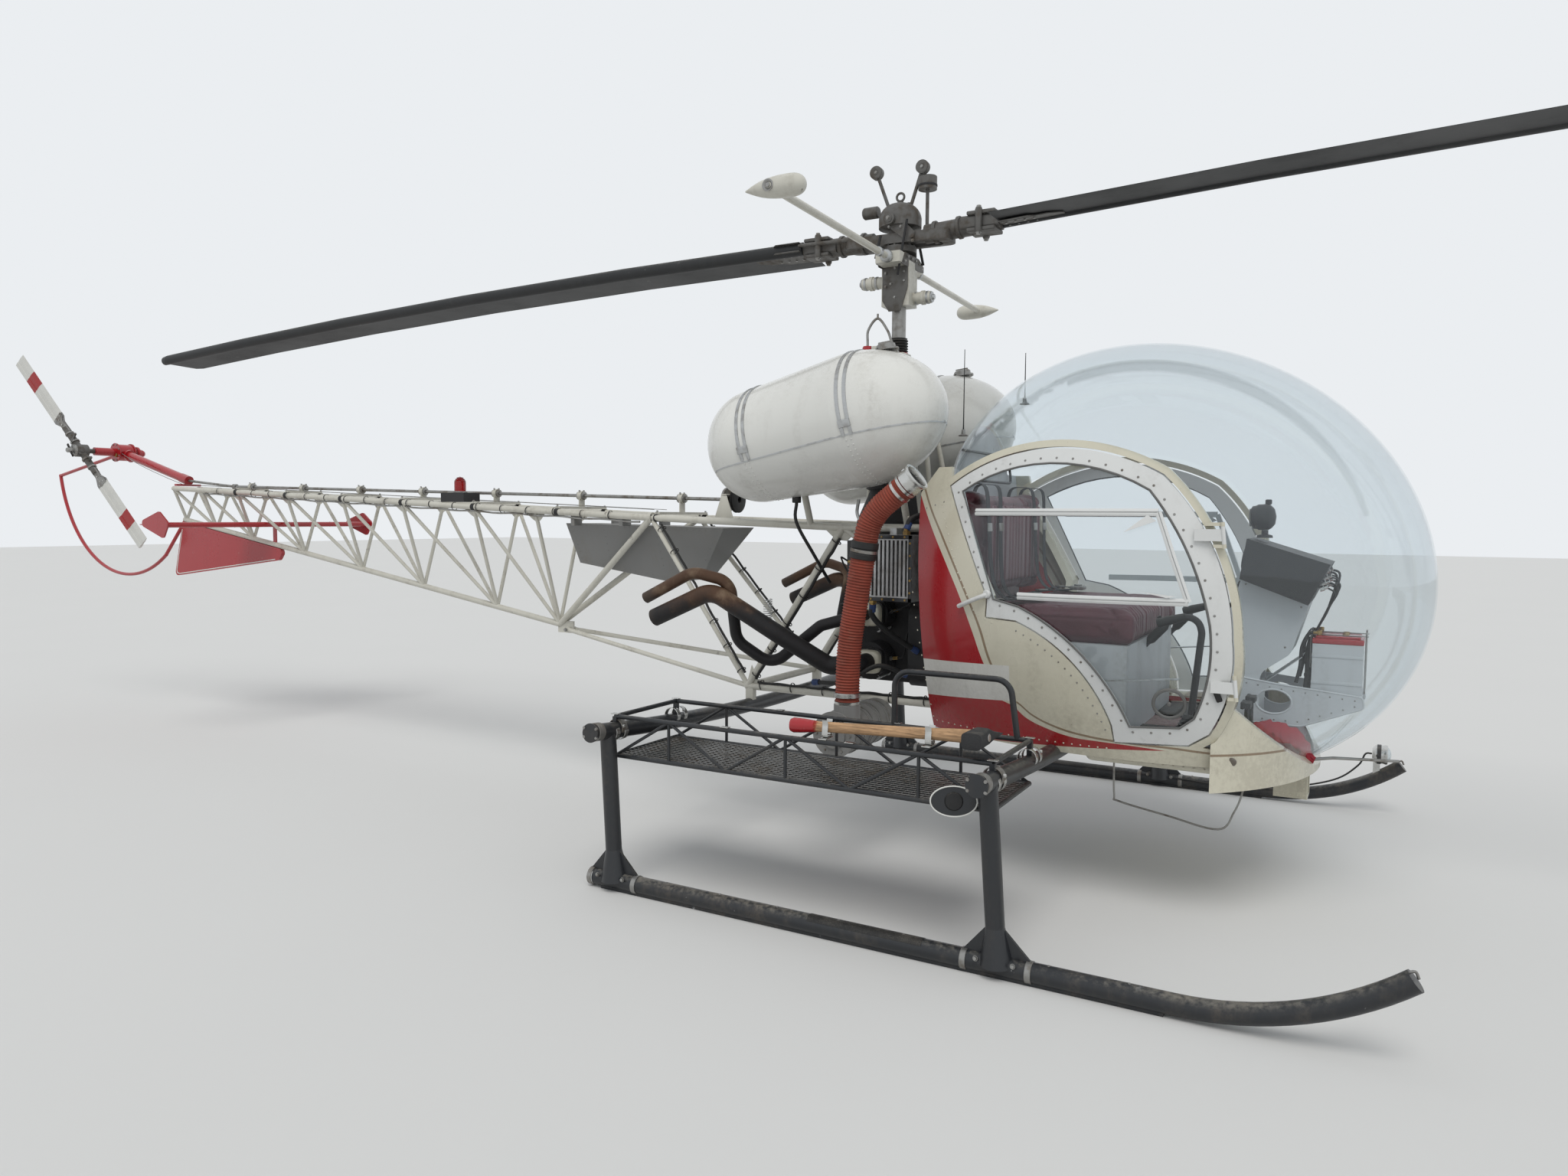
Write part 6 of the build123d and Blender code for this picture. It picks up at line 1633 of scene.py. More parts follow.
def control_rods():
    """Control rods up to the rotor, the swash plate and the mast's boot"""
    rods, wraps, ends = pieces(3)
    for start, end in (((0.335, -0.265, 0.7), (0.105, -0.135, 1.975)),
            ((0.335, -0.205, 0.7), (0.145, -0.06, 1.975)),
            ((0.335, 0.265, 0.7), (0.105, 0.135, 1.975)),
            ((-0.33, 0.25, 0.72), (-0.13, 0.06, 1.975))):
        a, b = at(*start), at(*end)
        way = (b - a).normalized()
        rods.bar([a + way * 0.05, a + way * 0.08, b - way * 0.08, b - way * 0.05],
            [0.006, 0.0115, 0.0115, 0.006], 4)
        wraps.bar([a + way * 0.14, a + way * 0.3], 0.0122, 4)
        wraps.bar([a + way * 0.36, a + way * 0.39], 0.0122, 4)
        for spot, turn in ((a, 1), (b, -1)):
            ends.bar([spot, spot + way * turn * 0.055], 0.0055)
            ends.add(rimmed(0.012, 0.018, 0.003, 16), placed(spot - Vector((0, 0.009, 0)),
                (0, 1, 0)))
    rods.done("control_rods", "frame_white")
    wraps.done("rod_tape", "rubber")
    ends.done("rod_ends", "steel")
    swash = Piece()
    swash.add(hollow([(0.046, -0.015), (0.092, -0.015), (0.096, -0.01), (0.096, 0.006),
        (0.088, 0.012), (0.06, 0.018), (0.05, 0.04), (0.046, 0.04)], 40), spot_at(0, 0, 1.985))
    swash.add(turned([(0.04, 0.0), (0.082, 0.0), (0.086, 0.004), (0.086, 0.018), (0.056, 0.024),
        (0.044, 0.05), (0.044, 0.075), (0.036, 0.075), (0.036, 0.0)], 40), spot_at(0, 0, 2.01))
    for k in range(3):
        turn = radians(55 + 120 * k)
        arm = at(0.105 * cos(turn), 0.105 * sin(turn), 1.985)
        swash.add(brick((0.06, 0.024, 0.018), 0.004), placed(arm, UP, (cos(turn), sin(turn), 0)))
        swash.add(rimmed(0.012, 0.028, 0.003, 16),
            placed(arm + Vector((0.028 * cos(turn), 0.028 * sin(turn), -0.014))))
    swash.done("swash_plate", "steel")
    boot, rings = pieces(2)
    fold = [(0.0325, 2.19)]
    for i in range(5):
        fold += [(0.0445, 2.195 + 0.012 * i), (0.0385, 2.201 + 0.012 * i)]
    boot.add(turned([*fold, (0.04, 2.254), (0.0325, 2.254)], 40), spot_at(0, 0, 0))
    for i in range(4):
        z = 2.13 + 0.0155 * i
        rings.add(turned([(0.0325, z), (0.0445, z + 0.001), (0.047, z + 0.006), (0.0445, z + 0.011),
            (0.0325, z + 0.012)], 40), spot_at(0, 0, 0))
    boot.done("mast_boot", "rubber", "main_rotor")
    rings.done("mast_boot_rings", "red", "main_rotor")


def frame_looms():
    """Wires and fuel pipes tied along the frame's tubes"""
    cable, bands, pipes = pieces(3)
    for side in SIDES:
        w = side * FRAME_Y
        corners = {"boom": (-1.235, side * 0.215, 1.428), "top": (-0.11, w, FRAME_TOP),
            "low": (-0.6, w, FRAME_LOW), "front_low": (FRAME_FRONT, w, FRAME_LOW),
            "front_top": (FRAME_FRONT, w, FRAME_TOP)}
        for a, b, shift, r in (("boom", "low", (0.016, 0, 0.012), 0.0062),
                ("top", "low", (0.019, side * 0.01, -0.006), 0.0075),
                ("front_low", "front_top", (-0.02, side * 0.006, 0), 0.007),
                ("low", "front_low", (0, side * 0.008, 0.0215), 0.006)):
            start, end = at(*corners[a]) + Vector(shift), at(*corners[b]) + Vector(shift)
            way = end - start
            path = [start + way * (0.06 + 0.88 * i / 24)
                + Vector((0, side * 0.0022 * sin(2.3 * i), 0.0022 * cos(1.9 * i)))
                for i in range(25)]
            cable.bar(path, r, 2)
            for spot, line in spaced([start + way * 0.08, start + way * 0.92], 0.155):
                hub = spot - Vector(shift) * 0.5
                bands.add(ring_form(0.0215, 0.0235, 0.005, 0.0005, 20),
                    placed(hub - line * 0.0025, line))
    for side in SIDES:
        path = [at(-0.05, side * 0.3, 1.515), at(-0.05, side * 0.305, 1.44),
            at(0.02, side * 0.29, 1.36), at(0.1, side * 0.26, 1.24), at(0.22, side * 0.245, 1.1)]
        pipes.wire(path, 0.0075, 3, 8)
    coil = [at(-0.47 + 0.02 * cos(i * 0.7), -0.372 + 0.02 * sin(i * 0.7), 0.93 + 0.0011 * i)
        for i in range(120)]
    pipes.bar(coil, 0.0018, 2)
    cable.done("frame_cables", "rubber")
    bands.done("cable_ties", "rubber")
    pipes.done("fuel_pipes", "aluminium")
    gussets = Piece()
    for side in SIDES:
        w = side * FRAME_Y
        for (x, z), spread in (((-0.11, FRAME_TOP), ((-0.1, 0), (-0.035, -0.055), (0.02, -0.06),
                (0.09, 0))), ((FRAME_FRONT, FRAME_TOP), ((-0.1, 0), (-0.03, -0.03), (0, -0.1),
                (0, 0))), ((-0.6, FRAME_LOW), ((0.02, 0.1), (0.05, 0.04), (0.1, 0), (-0.01, 0.0)))):
            gussets.add(plate(spread, 0.004, 0.0012), spot_at(x, w, z, (0, -1, 0), (1, 0, 0)))
    gussets.done("frame_gussets", "frame_white")


def gear_case():
    """Covers, starter and magneto, shaft coupling with its hanger, and the blower's bands."""
    rims, bolts, bodies = pieces(3)
    for y, z, r in ((-0.18, 0.82, 0.088), (0.18, 0.82, 0.088), (-0.1, 0.975, 0.062),
            (0.12, 0.975, 0.055)):
        rims.add(hollow([(r * 0.35, 0), (r * 0.4, 0.004), (r * 0.86, 0.004), (r * 0.9, 0.0)], 32),
            spot_at(CASE_X, y, z, (1, 0, 0)))
        for u, v in turns(8):
            bolts.add(bolt(0.0042, 0.005), spot_at(CASE_X, y + 0.92 * r * u, z + 0.92 * r * v,
                (1, 0, 0)))
    for y in (-0.235, 0.235):
        bodies.add(turned([(0, -0.06), (0.034, -0.06), (0.038, -0.052), (0.038, 0.04),
            (0.03, 0.048), (0.012, 0.05), (0, 0.056)], 24), spot_at(0.24, y, 1.105, (1, 0, 0)))
        bodies.add(brick((0.03, 0.05, 0.06), 0.006), spot_at(0.215, y, 1.075))
    rims.done("gear_case_covers", "pale_cast")
    bolts.done("gear_case_bolts", "steel")
    bodies.done("starter_magneto", "cast")
    pulley = Piece()
    pulley.add(hollow([(0.016, -0.012), (0.05, -0.012), (0.066, -0.009), (0.058, -0.002),
        (0.066, 0.006), (0.05, 0.01), (0.016, 0.01)], 40),
        spot_at(-0.868, 0, 1.5207, (1, 0, -0.02)))
    pulley.done("shaft_coupling", "rubber")
    hanger = Piece()
    for sy in SIDES:
        hanger.add(plate([(-0.06, -0.115), (-0.016, 0.01), (0.016, 0.01), (0.06, -0.115)], 0.004,
            0.001), spot_at(-0.905, sy * 0.072, 1.53, (0, sy, 0), (1, 0, 0)))
    hanger.add(brick((0.03, 0.15, 0.006), 0.002), spot_at(-0.905, 0, 1.545))
    for sy in SIDES:
        hanger.bar([at(-0.905, sy * 0.072, 1.42), at(-0.905, sy * 0.2, 1.412)], 0.01)
    hanger.done("coupling_hanger", "frame_white")
    fan = Piece()
    for i in range(5):
        y = -0.76 + 0.083 * i
        fan.add(ring_form(0.0905, 0.0925, 0.01, 0.001, 40),
            spot_at(0.07, y + 0.02, 0.56, (0, 1, 0)))
    for u, v in turns(6):
        fan.add(bolt(0.004, 0.004), spot_at(0.07 + 0.075 * u, -0.7605, 0.56 + 0.075 * v,
            (0, -1, 0)))
    fan.done("blower_bands", "steel")


class HELI_OT_engine(bpy.types.Operator):
    """Rocker covers, leads, hoses, cooler core, control rods and looms of the engine bay"""
    bl_idname = "heli.engine"
    bl_label = "Engine bay"

    def execute(self, context):
        cylinder_tops()
        plug_leads()
        oil_cooler()
        control_rods()
        frame_looms()
        gear_case()
        return {"FINISHED"}


def rotor_head():
    """Eye bolt, bearing caps, bolts, links and collars of the rotor head."""
    steel, bolts, dark = pieces(3)
    steel.add(turned([(0.012, 0), (0.014, 0.004), (0.014, 0.012), (0.0, 0.014)], 20),
        placed(spun(0, 0, 2.857)))
    eye = [spun(0.018 * u, 0, 2.889 + 0.018 * v) for u, v in turns(20)]
    steel.bar(eye, 0.0055, 3, True)
    for u, v in turns(12):
        bolts.add(bolt(0.0055, 0.007), placed(spun(0.088 * u, 0.088 * v, 2.793), (u, v, 0.9)))
        bolts.add(bolt(0.0055, 0.007), placed(spun(0.066 * u, 0.066 * v, 2.6625)))
    for s in SIDES:
        cap = spun(s * 0.01, s * 0.112, 2.768)
        out = Vector((0, s, 0))
        steel.add(turned([(0, 0), (0.026, 0), (0.026, 0.007), (0.018, 0.01), (0.018, 0.014),
            (0.0, 0.016)], 28), placed(cap, out))
        bolts.add(bolt(0.008, 0.008), placed(cap + out * 0.014, out))
        arm = [spun(-s * 0.092, s * 0.0845, 2.668), spun(-s * 0.035, s * 0.0845, 2.735),
            spun(s * 0.02, s * 0.0845, 2.74)]
        for spot in arm:
            bolts.add(bolt(0.0062, 0.007), placed(spot, out))
        steel.bar([spun(-s * 0.088, s * 0.05, 2.69), spun(-s * 0.088, s * 0.092, 2.69)], 0.012, 4)
        dark.bar([spun(s * 0.055, s * 0.1, 2.7), spun(s * 0.075, s * 0.106, 2.6)], 0.0065)
        dark.bar([spun(-s * 0.07, s * 0.098, 2.76), spun(-s * 0.03, s * 0.102, 2.52)], 0.0055)
    for x, z in ((-0.117, 3.011), (0.105, 3.008)):
        for s in SIDES:
            out = Vector((0, s, 0))
            steel.add(turned([(0.01, 0), (0.012, 0.0015), (0.025, 0.0015), (0.0285, 0)], 28),
                placed(spun(x, s * 0.0142, z), out))
            bolts.add(bolt(0.007, 0.006), placed(spun(x, s * 0.0142, z), out))
    for x, z in ((-0.045, 2.842), (0.042, 2.842)):
        steel.add(rimmed(0.016, 0.016, 0.003, 20), placed(spun(x, 0, z), (x * 0.5, 0, 1)))
    steel.add(turned([(0, -0.04), (0.022, -0.04), (0.027, -0.034), (0.027, 0.03), (0.022, 0.036),
        (0, 0.036)], 28), placed(spun(-0.14, 0.0, 2.835), (1, 0, 0)))
    dark.add(turned([(0.0428, 0.012), (0.044, 0.014), (0.044, 0.02), (0.0428, 0.022)], 32),
        placed(spun(0.129, 0, 2.905)))
    steel.add(turned([(0.0, 0.0), (0.038, 0.0), (0.041, 0.002), (0.0, 0.006)], 32),
        placed(spun(0.129, 0, 2.96)))
    for s in SIDES:
        for k in range(4):
            x = s * (0.1 + 0.035 * k)
            bolts.add(bolt(0.006, 0.008), placed(spun(x, 0.0505, 2.69), (0, 1, 0)),
                placed(spun(x, -0.0505, 2.69), (0, -1, 0)))
        for r in (0.165, 0.275):
            z = blade_line(s * r)
            steel.add(ring_form(0.0425, 0.05, 0.016, 0.002, 32),
                placed(spun(s * r, 0, z), (s, 0, 0.04 + s * tan(ROTOR_TILT))))
    steel.done("head_details", "rotor", "main_rotor")
    bolts.done("head_bolts", "steel", "main_rotor")
    dark.done("head_links", "cast", "main_rotor")


def mixing_bar():
    """Mixing levers, collars and the marked weights of the stabilizer bar."""
    marks, plates_, ends, bolts = pieces(4)
    for s in SIDES:
        spot = spun(0, s * 1.242, BAR_HEIGHT)
        out = Vector((0, s, 0))
        marks.add(turned([(0.012, 0.032), (0.02, 0.034), (0.022, 0.0385), (0.018, 0.0395),
            (0.012, 0.036)], 28), placed(spot, out))
        marks.add(rimmed(0.009, 0.006, 0.002, 16), placed(spot + out * 0.036, out))
        collar = spun(0, s * 0.165, BAR_HEIGHT)
        ends.add(turned([(0.0152, -0.014), (0.026, -0.014), (0.028, -0.008), (0.028, 0.008),
            (0.022, 0.016), (0.0152, 0.018)], 28), placed(collar, out))
        ends.add(turned([(0.0152, 0.0), (0.02, 0.002), (0.02, 0.02), (0.0152, 0.024)], 24),
            placed(spun(0, s * 0.24, BAR_HEIGHT), out))
        face = plate([(-0.13, -0.03), (-0.09, 0.028), (0.07, 0.028), (0.128, 0.002),
            (0.128, -0.024), (0.04, -0.03)], 0.006, 0.0015)
        plates_.add(face, placed(spun(s * 0.062, 0, BAR_HEIGHT), (s, 0, 0), (0, 1, 0)))
        for y, z in ((-0.105, -0.015), (-0.07, 0.012), (-0.02, 0.012), (0.03, 0.012),
                (0.075, 0.008), (0.11, -0.01)):
            bolts.add(bolt(0.0055, 0.006), placed(spun(s * 0.0652, y, BAR_HEIGHT + z), (s, 0, 0)))
        low = plate([(-0.062, -0.15), (-0.062, 0.0), (0.062, 0.0), (0.062, -0.095), (0.03, -0.2),
            (-0.03, -0.2)], 0.005, 0.0015)
        plates_.add(low, placed(spun(0, s * 0.055, BAR_HEIGHT - 0.022), (0, s, 0), (1, 0, 0)))
        for x, z in ((-0.045, -0.05), (0.045, -0.05), (-0.045, -0.11), (0.045, -0.09), (0.0, -0.03),
                (0.0, -0.16), (-0.02, -0.1)):
            bolts.add(bolt(0.0055, 0.006), placed(spun(x, s * 0.0577, BAR_HEIGHT + z), (0, s, 0)))
    for s, (x, z) in zip((-1, 1), ((-0.112, 2.509), (0.098, 2.434))):
        way = Vector((1 if x > 0 else -1, 0, 0))
        tip = spun(x * 1.5, s * 0.02, z)
        ends.add(turned([(0, 0), (0.024, 0), (0.024, 0.006), (0.014, 0.008), (0.012, 0.016),
            (0, 0.016)], 28), placed(tip, way))
        ends.add(ring_form(0.0272, 0.0295, 0.01, 0.001, 32), placed(tip - way * 0.02, way),
            placed(tip - way * 0.075, way))
    marks.done("weight_marks", "steel", "main_rotor")
    plates_.done("mixing_levers", "rotor", "main_rotor")
    ends.done("bar_collars", "aluminium", "main_rotor")
    bolts.done("mixing_bolts", "steel", "main_rotor")


def blade_roots():
    """Doubler plates and bolts at the roots of the blades"""
    plates_, bolts, lugs = pieces(3)
    pitch = radians(6.0)
    for s in SIDES:
        for level in SIDES:
            for (near, far, half), thick in (((0.475, 0.74, 0.055), 0.0045),
                    ((0.475, 0.66, 0.08), 0.003)):
                outline = [(near, -half), (far - 0.06, -half), (far, -half * 0.35),
                    (far, half * 0.35), (far - 0.06, half), (near, half)]
                loops = []
                for lift in (0.0, thick):
                    ring = []
                    for r, c in outline:
                        z = blade_line(s * r) + level * (0.0175 + lift) + c * sin(pitch)
                        ring.append(spun(s * r, c * s, z))
                    loops.append(ring)
                plates_.add(skinned(loops))
            for r in (0.5, 0.54, 0.58, 0.62):
                for c in (-0.03, 0.03):
                    z = blade_line(s * r) + level * 0.0212 + c * sin(pitch)
                    bolts.add(bolt(0.0065, 0.007), placed(spun(s * r, c * s, z), (0, 0, level)))
        z = blade_line(s * 0.385)
        for c in (-0.06, 0.06):
            lugs.add(turned([(0, -0.052), (0.013, -0.052), (0.016, -0.046), (0.016, 0.046),
                (0.013, 0.052), (0, 0.052)], 20), placed(spun(s * 0.385, c, z)))
            bolts.add(bolt(0.011, 0.01), placed(spun(s * 0.385, c, z + 0.052)),
                placed(spun(s * 0.385, c, z - 0.052), (0, 0, -1)))
        lugs.add(brick((0.13, 0.118, 0.018), 0.006), placed(spun(s * 0.395, 0, z + 0.036),
            (0, 0, 1), (1, 0, s * 0.04)), placed(spun(s * 0.395, 0, z - 0.036), (0, 0, 1),
            (1, 0, s * 0.04)))
        drag = [spun(s * 0.22, s * 0.062, blade_line(s * 0.22) + 0.01),
            spun(s * 0.48, s * 0.075, blade_line(s * 0.48) + 0.012)]
        lugs.bar([drag[0], drag[0].lerp(drag[1], 0.1), drag[0].lerp(drag[1], 0.9), drag[1]],
            [0.006, 0.0095, 0.0095, 0.006], 4)
    plates_.done("blade_doublers", "rotor", "main_rotor")
    bolts.done("blade_root_bolts", "steel", "main_rotor")
    lugs.done("blade_root_lugs", "rotor", "main_rotor")


def mast_hoop():
    """The wire hoop and the small red cap beside the mast"""
    hoop, cap, base = pieces(3)
    path = [at(-0.1, HOOP_Y, 2.12), at(-0.1, HOOP_Y, 2.22), at(-0.097, HOOP_Y, 2.283),
        at(-0.051, HOOP_Y, 2.331), at(-0.003, HOOP_Y, 2.275), at(0.02, HOOP_Y, 2.22),
        at(0.061, HOOP_Y, 2.16)]
    hoop.wire(path, 0.0058, 4, 8)
    hoop.add(rimmed(0.0045, 0.024, 0.001, 12), spot_at(-0.051, HOOP_Y, 2.328))
    cap.add(turned([(0, 0), (0.024, 0), (0.024, 0.03), (0.02, 0.038), (0, 0.042)], 24),
        spot_at(-0.1, HOOP_Y, 2.172))
    base.add(brick((0.084, 0.06, 0.04), 0.006), spot_at(-0.028, HOOP_Y, 2.186))
    base.add(brick((0.23, 0.09, 0.012), 0.004), spot_at(-0.02, HOOP_Y, 2.16))
    for x in (-0.11, 0.08):
        base.bar([at(x, HOOP_Y, 2.16), at(x * 0.9, -0.16, 2.05)], 0.008)
    hoop.done("mast_hoop", "steel")
    cap.done("hoop_cap", "red")
    base.done("hoop_base", "frame_white")


class HELI_OT_rotor(bpy.types.Operator):
    """Bolts, caps, levers, collars, blade root plates and weights of the main rotor"""
    bl_idname = "heli.rotor"
    bl_label = "Main rotor"

    def execute(self, context):
        rotor_head()
        mixing_bar()
        blade_roots()
        mast_hoop()
        return {"FINISHED"}


def boom_tubes(x):
    """Left upper, right upper and lower tube centres at one station."""
    def between(start_x, start, end):
        return start + (end - start) * (x - start_x) / (BOOM_END_X - start_x)

    half, top, low = between(-1.25, 0.215, 0.09), between(-1.25, 1.428, 1.612), between(-2.05,
        0.825, 1.386)
    return Vector((x, half, top)), Vector((x, -half, top)), Vector((x, 0.0, low))


def shaft_z(x):
    """Height of the tail rotor's drive shaft."""
    (x0, z0), (x1, z1) = SHAFT_START, SHAFT_END
    return z0 + (z1 - z0) * (x - x0) / (x1 - x0)


def boom_joints():
    """Gussets at the frames, control cables, a loom, bearing caps and clamps along the boom."""
    webs, cables, bands, caps, bolts = pieces(5)
    frames = (-2.05, -2.53, -3.14, -3.7, -4.27, -4.82, -5.24)
    for x in frames:
        left, right, low = boom_tubes(x)
        for spot, sy in ((left, 1), (right, -1)):
            inward = (low - spot).normalized()
            for s in SIDES:
                shape = [(0.0, 0.012), (s * 0.07, 0.014), (s * 0.03, 0.05), (0.0, 0.07)]
                normal = Vector((1, 0, 0)).cross(inward).normalized()
                turn = Matrix((Vector((1, 0, 0)), inward, normal)).transposed().to_4x4()
                webs.add(plate(shape if s > 0 else shape[::-1], 0.003, 0.0008),
                    Matrix.Translation(at(*spot)) @ turn)
    for sy in SIDES:
        path = []
        for i in range(40):
            x = -1.3 - 4.2 * i / 39
            left, right, low = boom_tubes(x)
            spot = left if sy > 0 else right
            path.append(at(x, spot.y - sy * 0.026, spot.z - 0.014 + 0.0016 * sin(2.1 * i)))
        cables.bar(path, 0.0032, 2)
    loom = []
    for i in range(60):
        x = -1.32 - 3.9 * i / 59
        left, right, low = boom_tubes(x)
        loom.append(at(x, right.y - 0.004 * cos(1.7 * i), right.z - 0.0245 - 0.003 * sin(1.3 * i)))
    cables.bar(loom, 0.0052, 2)
    for spot, way in spaced(loom, 0.2)[1:-1]:
        bands.add(ring_form(0.0215, 0.0232, 0.005, 0.0005, 20),
            placed(spot + Vector((0, 0, 0.0235)), way))
    for sy in SIDES:
        rope = [at(-1.35 - 4.23 * i / 20, sy * (0.055 - 0.025 * i / 20), 1.47 + 0.17 * i / 20)
            for i in range(21)]
        cables.bar(rope, 0.0016, 1)
    for x in (-1.211, -1.887, -2.527, -3.136, -3.704, -4.271, -4.823):
        z = shaft_z(x)
        for s in SIDES:
            caps.add(turned([(0.0105, 0), (0.021, 0), (0.0225, 0.002), (0.0225, 0.008),
                (0.016, 0.011), (0.0105, 0.011)], 24),
                spot_at(x + s * 0.0131, 0, z, (s, 0, -0.02 * s)))
        for sy in SIDES:
            bolts.add(bolt(0.005, 0.006), spot_at(x, sy * 0.018, z + 0.0245))
            left, right, low = boom_tubes(x)
            foot = left if sy > 0 else right
            bolts.add(bolt(0.0055, 0.007), spot_at(x, foot.y, foot.z + 0.0315))
            bands.add(ring_form(0.0172, 0.0195, 0.026, 0.0008, 24),
                spot_at(x - 0.013, foot.y, foot.z, (1, 0, 0)))
    for sy in SIDES:
        for u, v in turns(4, 0.5):
            bolts.add(bolt(0.0045, 0.006), spot_at(-1.2395, sy * 0.215 + 0.019 * u, 1.428 + 0.019
                * v, (1, 0, 0)))
        bolts.add(bolt(0.009, 0.01), spot_at(-1.975, sy * 0.04, 0.8, (0, sy, 0)))
    webs.done("boom_gussets", "frame_white")
    cables.done("boom_cables", "steel")
    bands.done("boom_clamps", "rubber")
    caps.done("bearing_caps", "steel")
    bolts.done("boom_bolts", "steel")


def boom_box():
    """Rivets seated on the tapering box under the boom, and the beacon's lens and collar"""
    rivets = Piece()
    skin = BVHTree.FromObject(frame["nodes"]["boom_box"], bpy.context.evaluated_depsgraph_get())
    outline = [(-1.842, 1.385), (-1.812, 1.195), (-1.228, 1.108), (-1.062, 1.136), (-0.905, 1.365)]
    for sy in SIDES:
        lines = [spaced([at(px, 0, pz) for px, pz in outline], 0.036, True)]
        for px in (-1.62, -1.28):
            lines.append(spaced([at(px, 0, 1.36), at(px, 0, 1.18)], 0.036))
        for line in lines:
            for spot, _ in line:
                hit, normal, _, _ = skin.ray_cast(spot + Vector((0, sy, 0)), Vector((0, -sy, 0)))
                if hit:
                    rivets.add(rivet(0.0034, 0.5),
                        placed(hit, normal if normal.y * sy > 0 else -normal))
    rivets.done("box_rivets", "grey")
    lens_piece, trim = pieces(2)
    spot = at(-2.7, -0.115, 1.5625)
    grooves = [(0.0, 0.095)]
    for i in range(9):
        z = 0.088 - 0.0085 * i
        r = 0.0335 if i > 2 else (0.02, 0.028, 0.032)[i]
        grooves += [(r, z), (r - 0.0012, z - 0.004)]
    lens_piece.add(turned([*grooves, (0.0335, 0.004), (0.0, 0.004)], 32), placed(spot))
    trim.add(ring_form(0.03, 0.041, 0.01, 0.002, 32), placed(spot))
    for sx in SIDES:
        for sy in SIDES:
            trim.add(bolt(0.0045, 0.004), placed(spot + Vector((sx * 0.08, sy * 0.05, 0.0))))
    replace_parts(lens_piece.done("beacon_lens", "beacon"), "beacon")
    trim.done("beacon_collar", "steel")


def tail_surfaces():
    """Edge line and rivets of the fin, and the rivet lines of the stabilizer"""
    line, rivets, ribs = pieces(3)
    for sy in SIDES:
        path = [at(x, sy * 0.0128, z) for x, z in ((-5.641, 1.318), (-5.735, 0.988),
            (-4.575, 1.126))]
        line.bar(rounded(path, 0.05, 6), 0.0035, 2)
        for seam in (((-5.62, 1.34), (-4.52, 1.185)), ((-5.2, 1.3), (-5.24, 1.06)),
                ((-4.85, 1.24), (-4.88, 1.12))):
            row(rivets, rivet(0.003, 0.5), [(x, sy * 0.0131, z) for x, z in seam], 0.045,
                (0, sy, 0))
    for sy in SIDES:
        for y in (0.12, 0.28, 0.44, 0.6, 0.72):
            for level, tilt in ((1, 0.055), (-1, -0.055)):
                rib = [(-4.6, sy * y, 1.362 + level * 0.0172),
                    (-4.84, sy * y, 1.362 + level * 0.0045)]
                row(ribs, rivet(0.0028, 0.5), rib, 0.03, (-tilt, 0, level))
    line.done("fin_line", "white")
    rivets.done("fin_rivets", "red")
    ribs.done("stabilizer_rivets", "red")


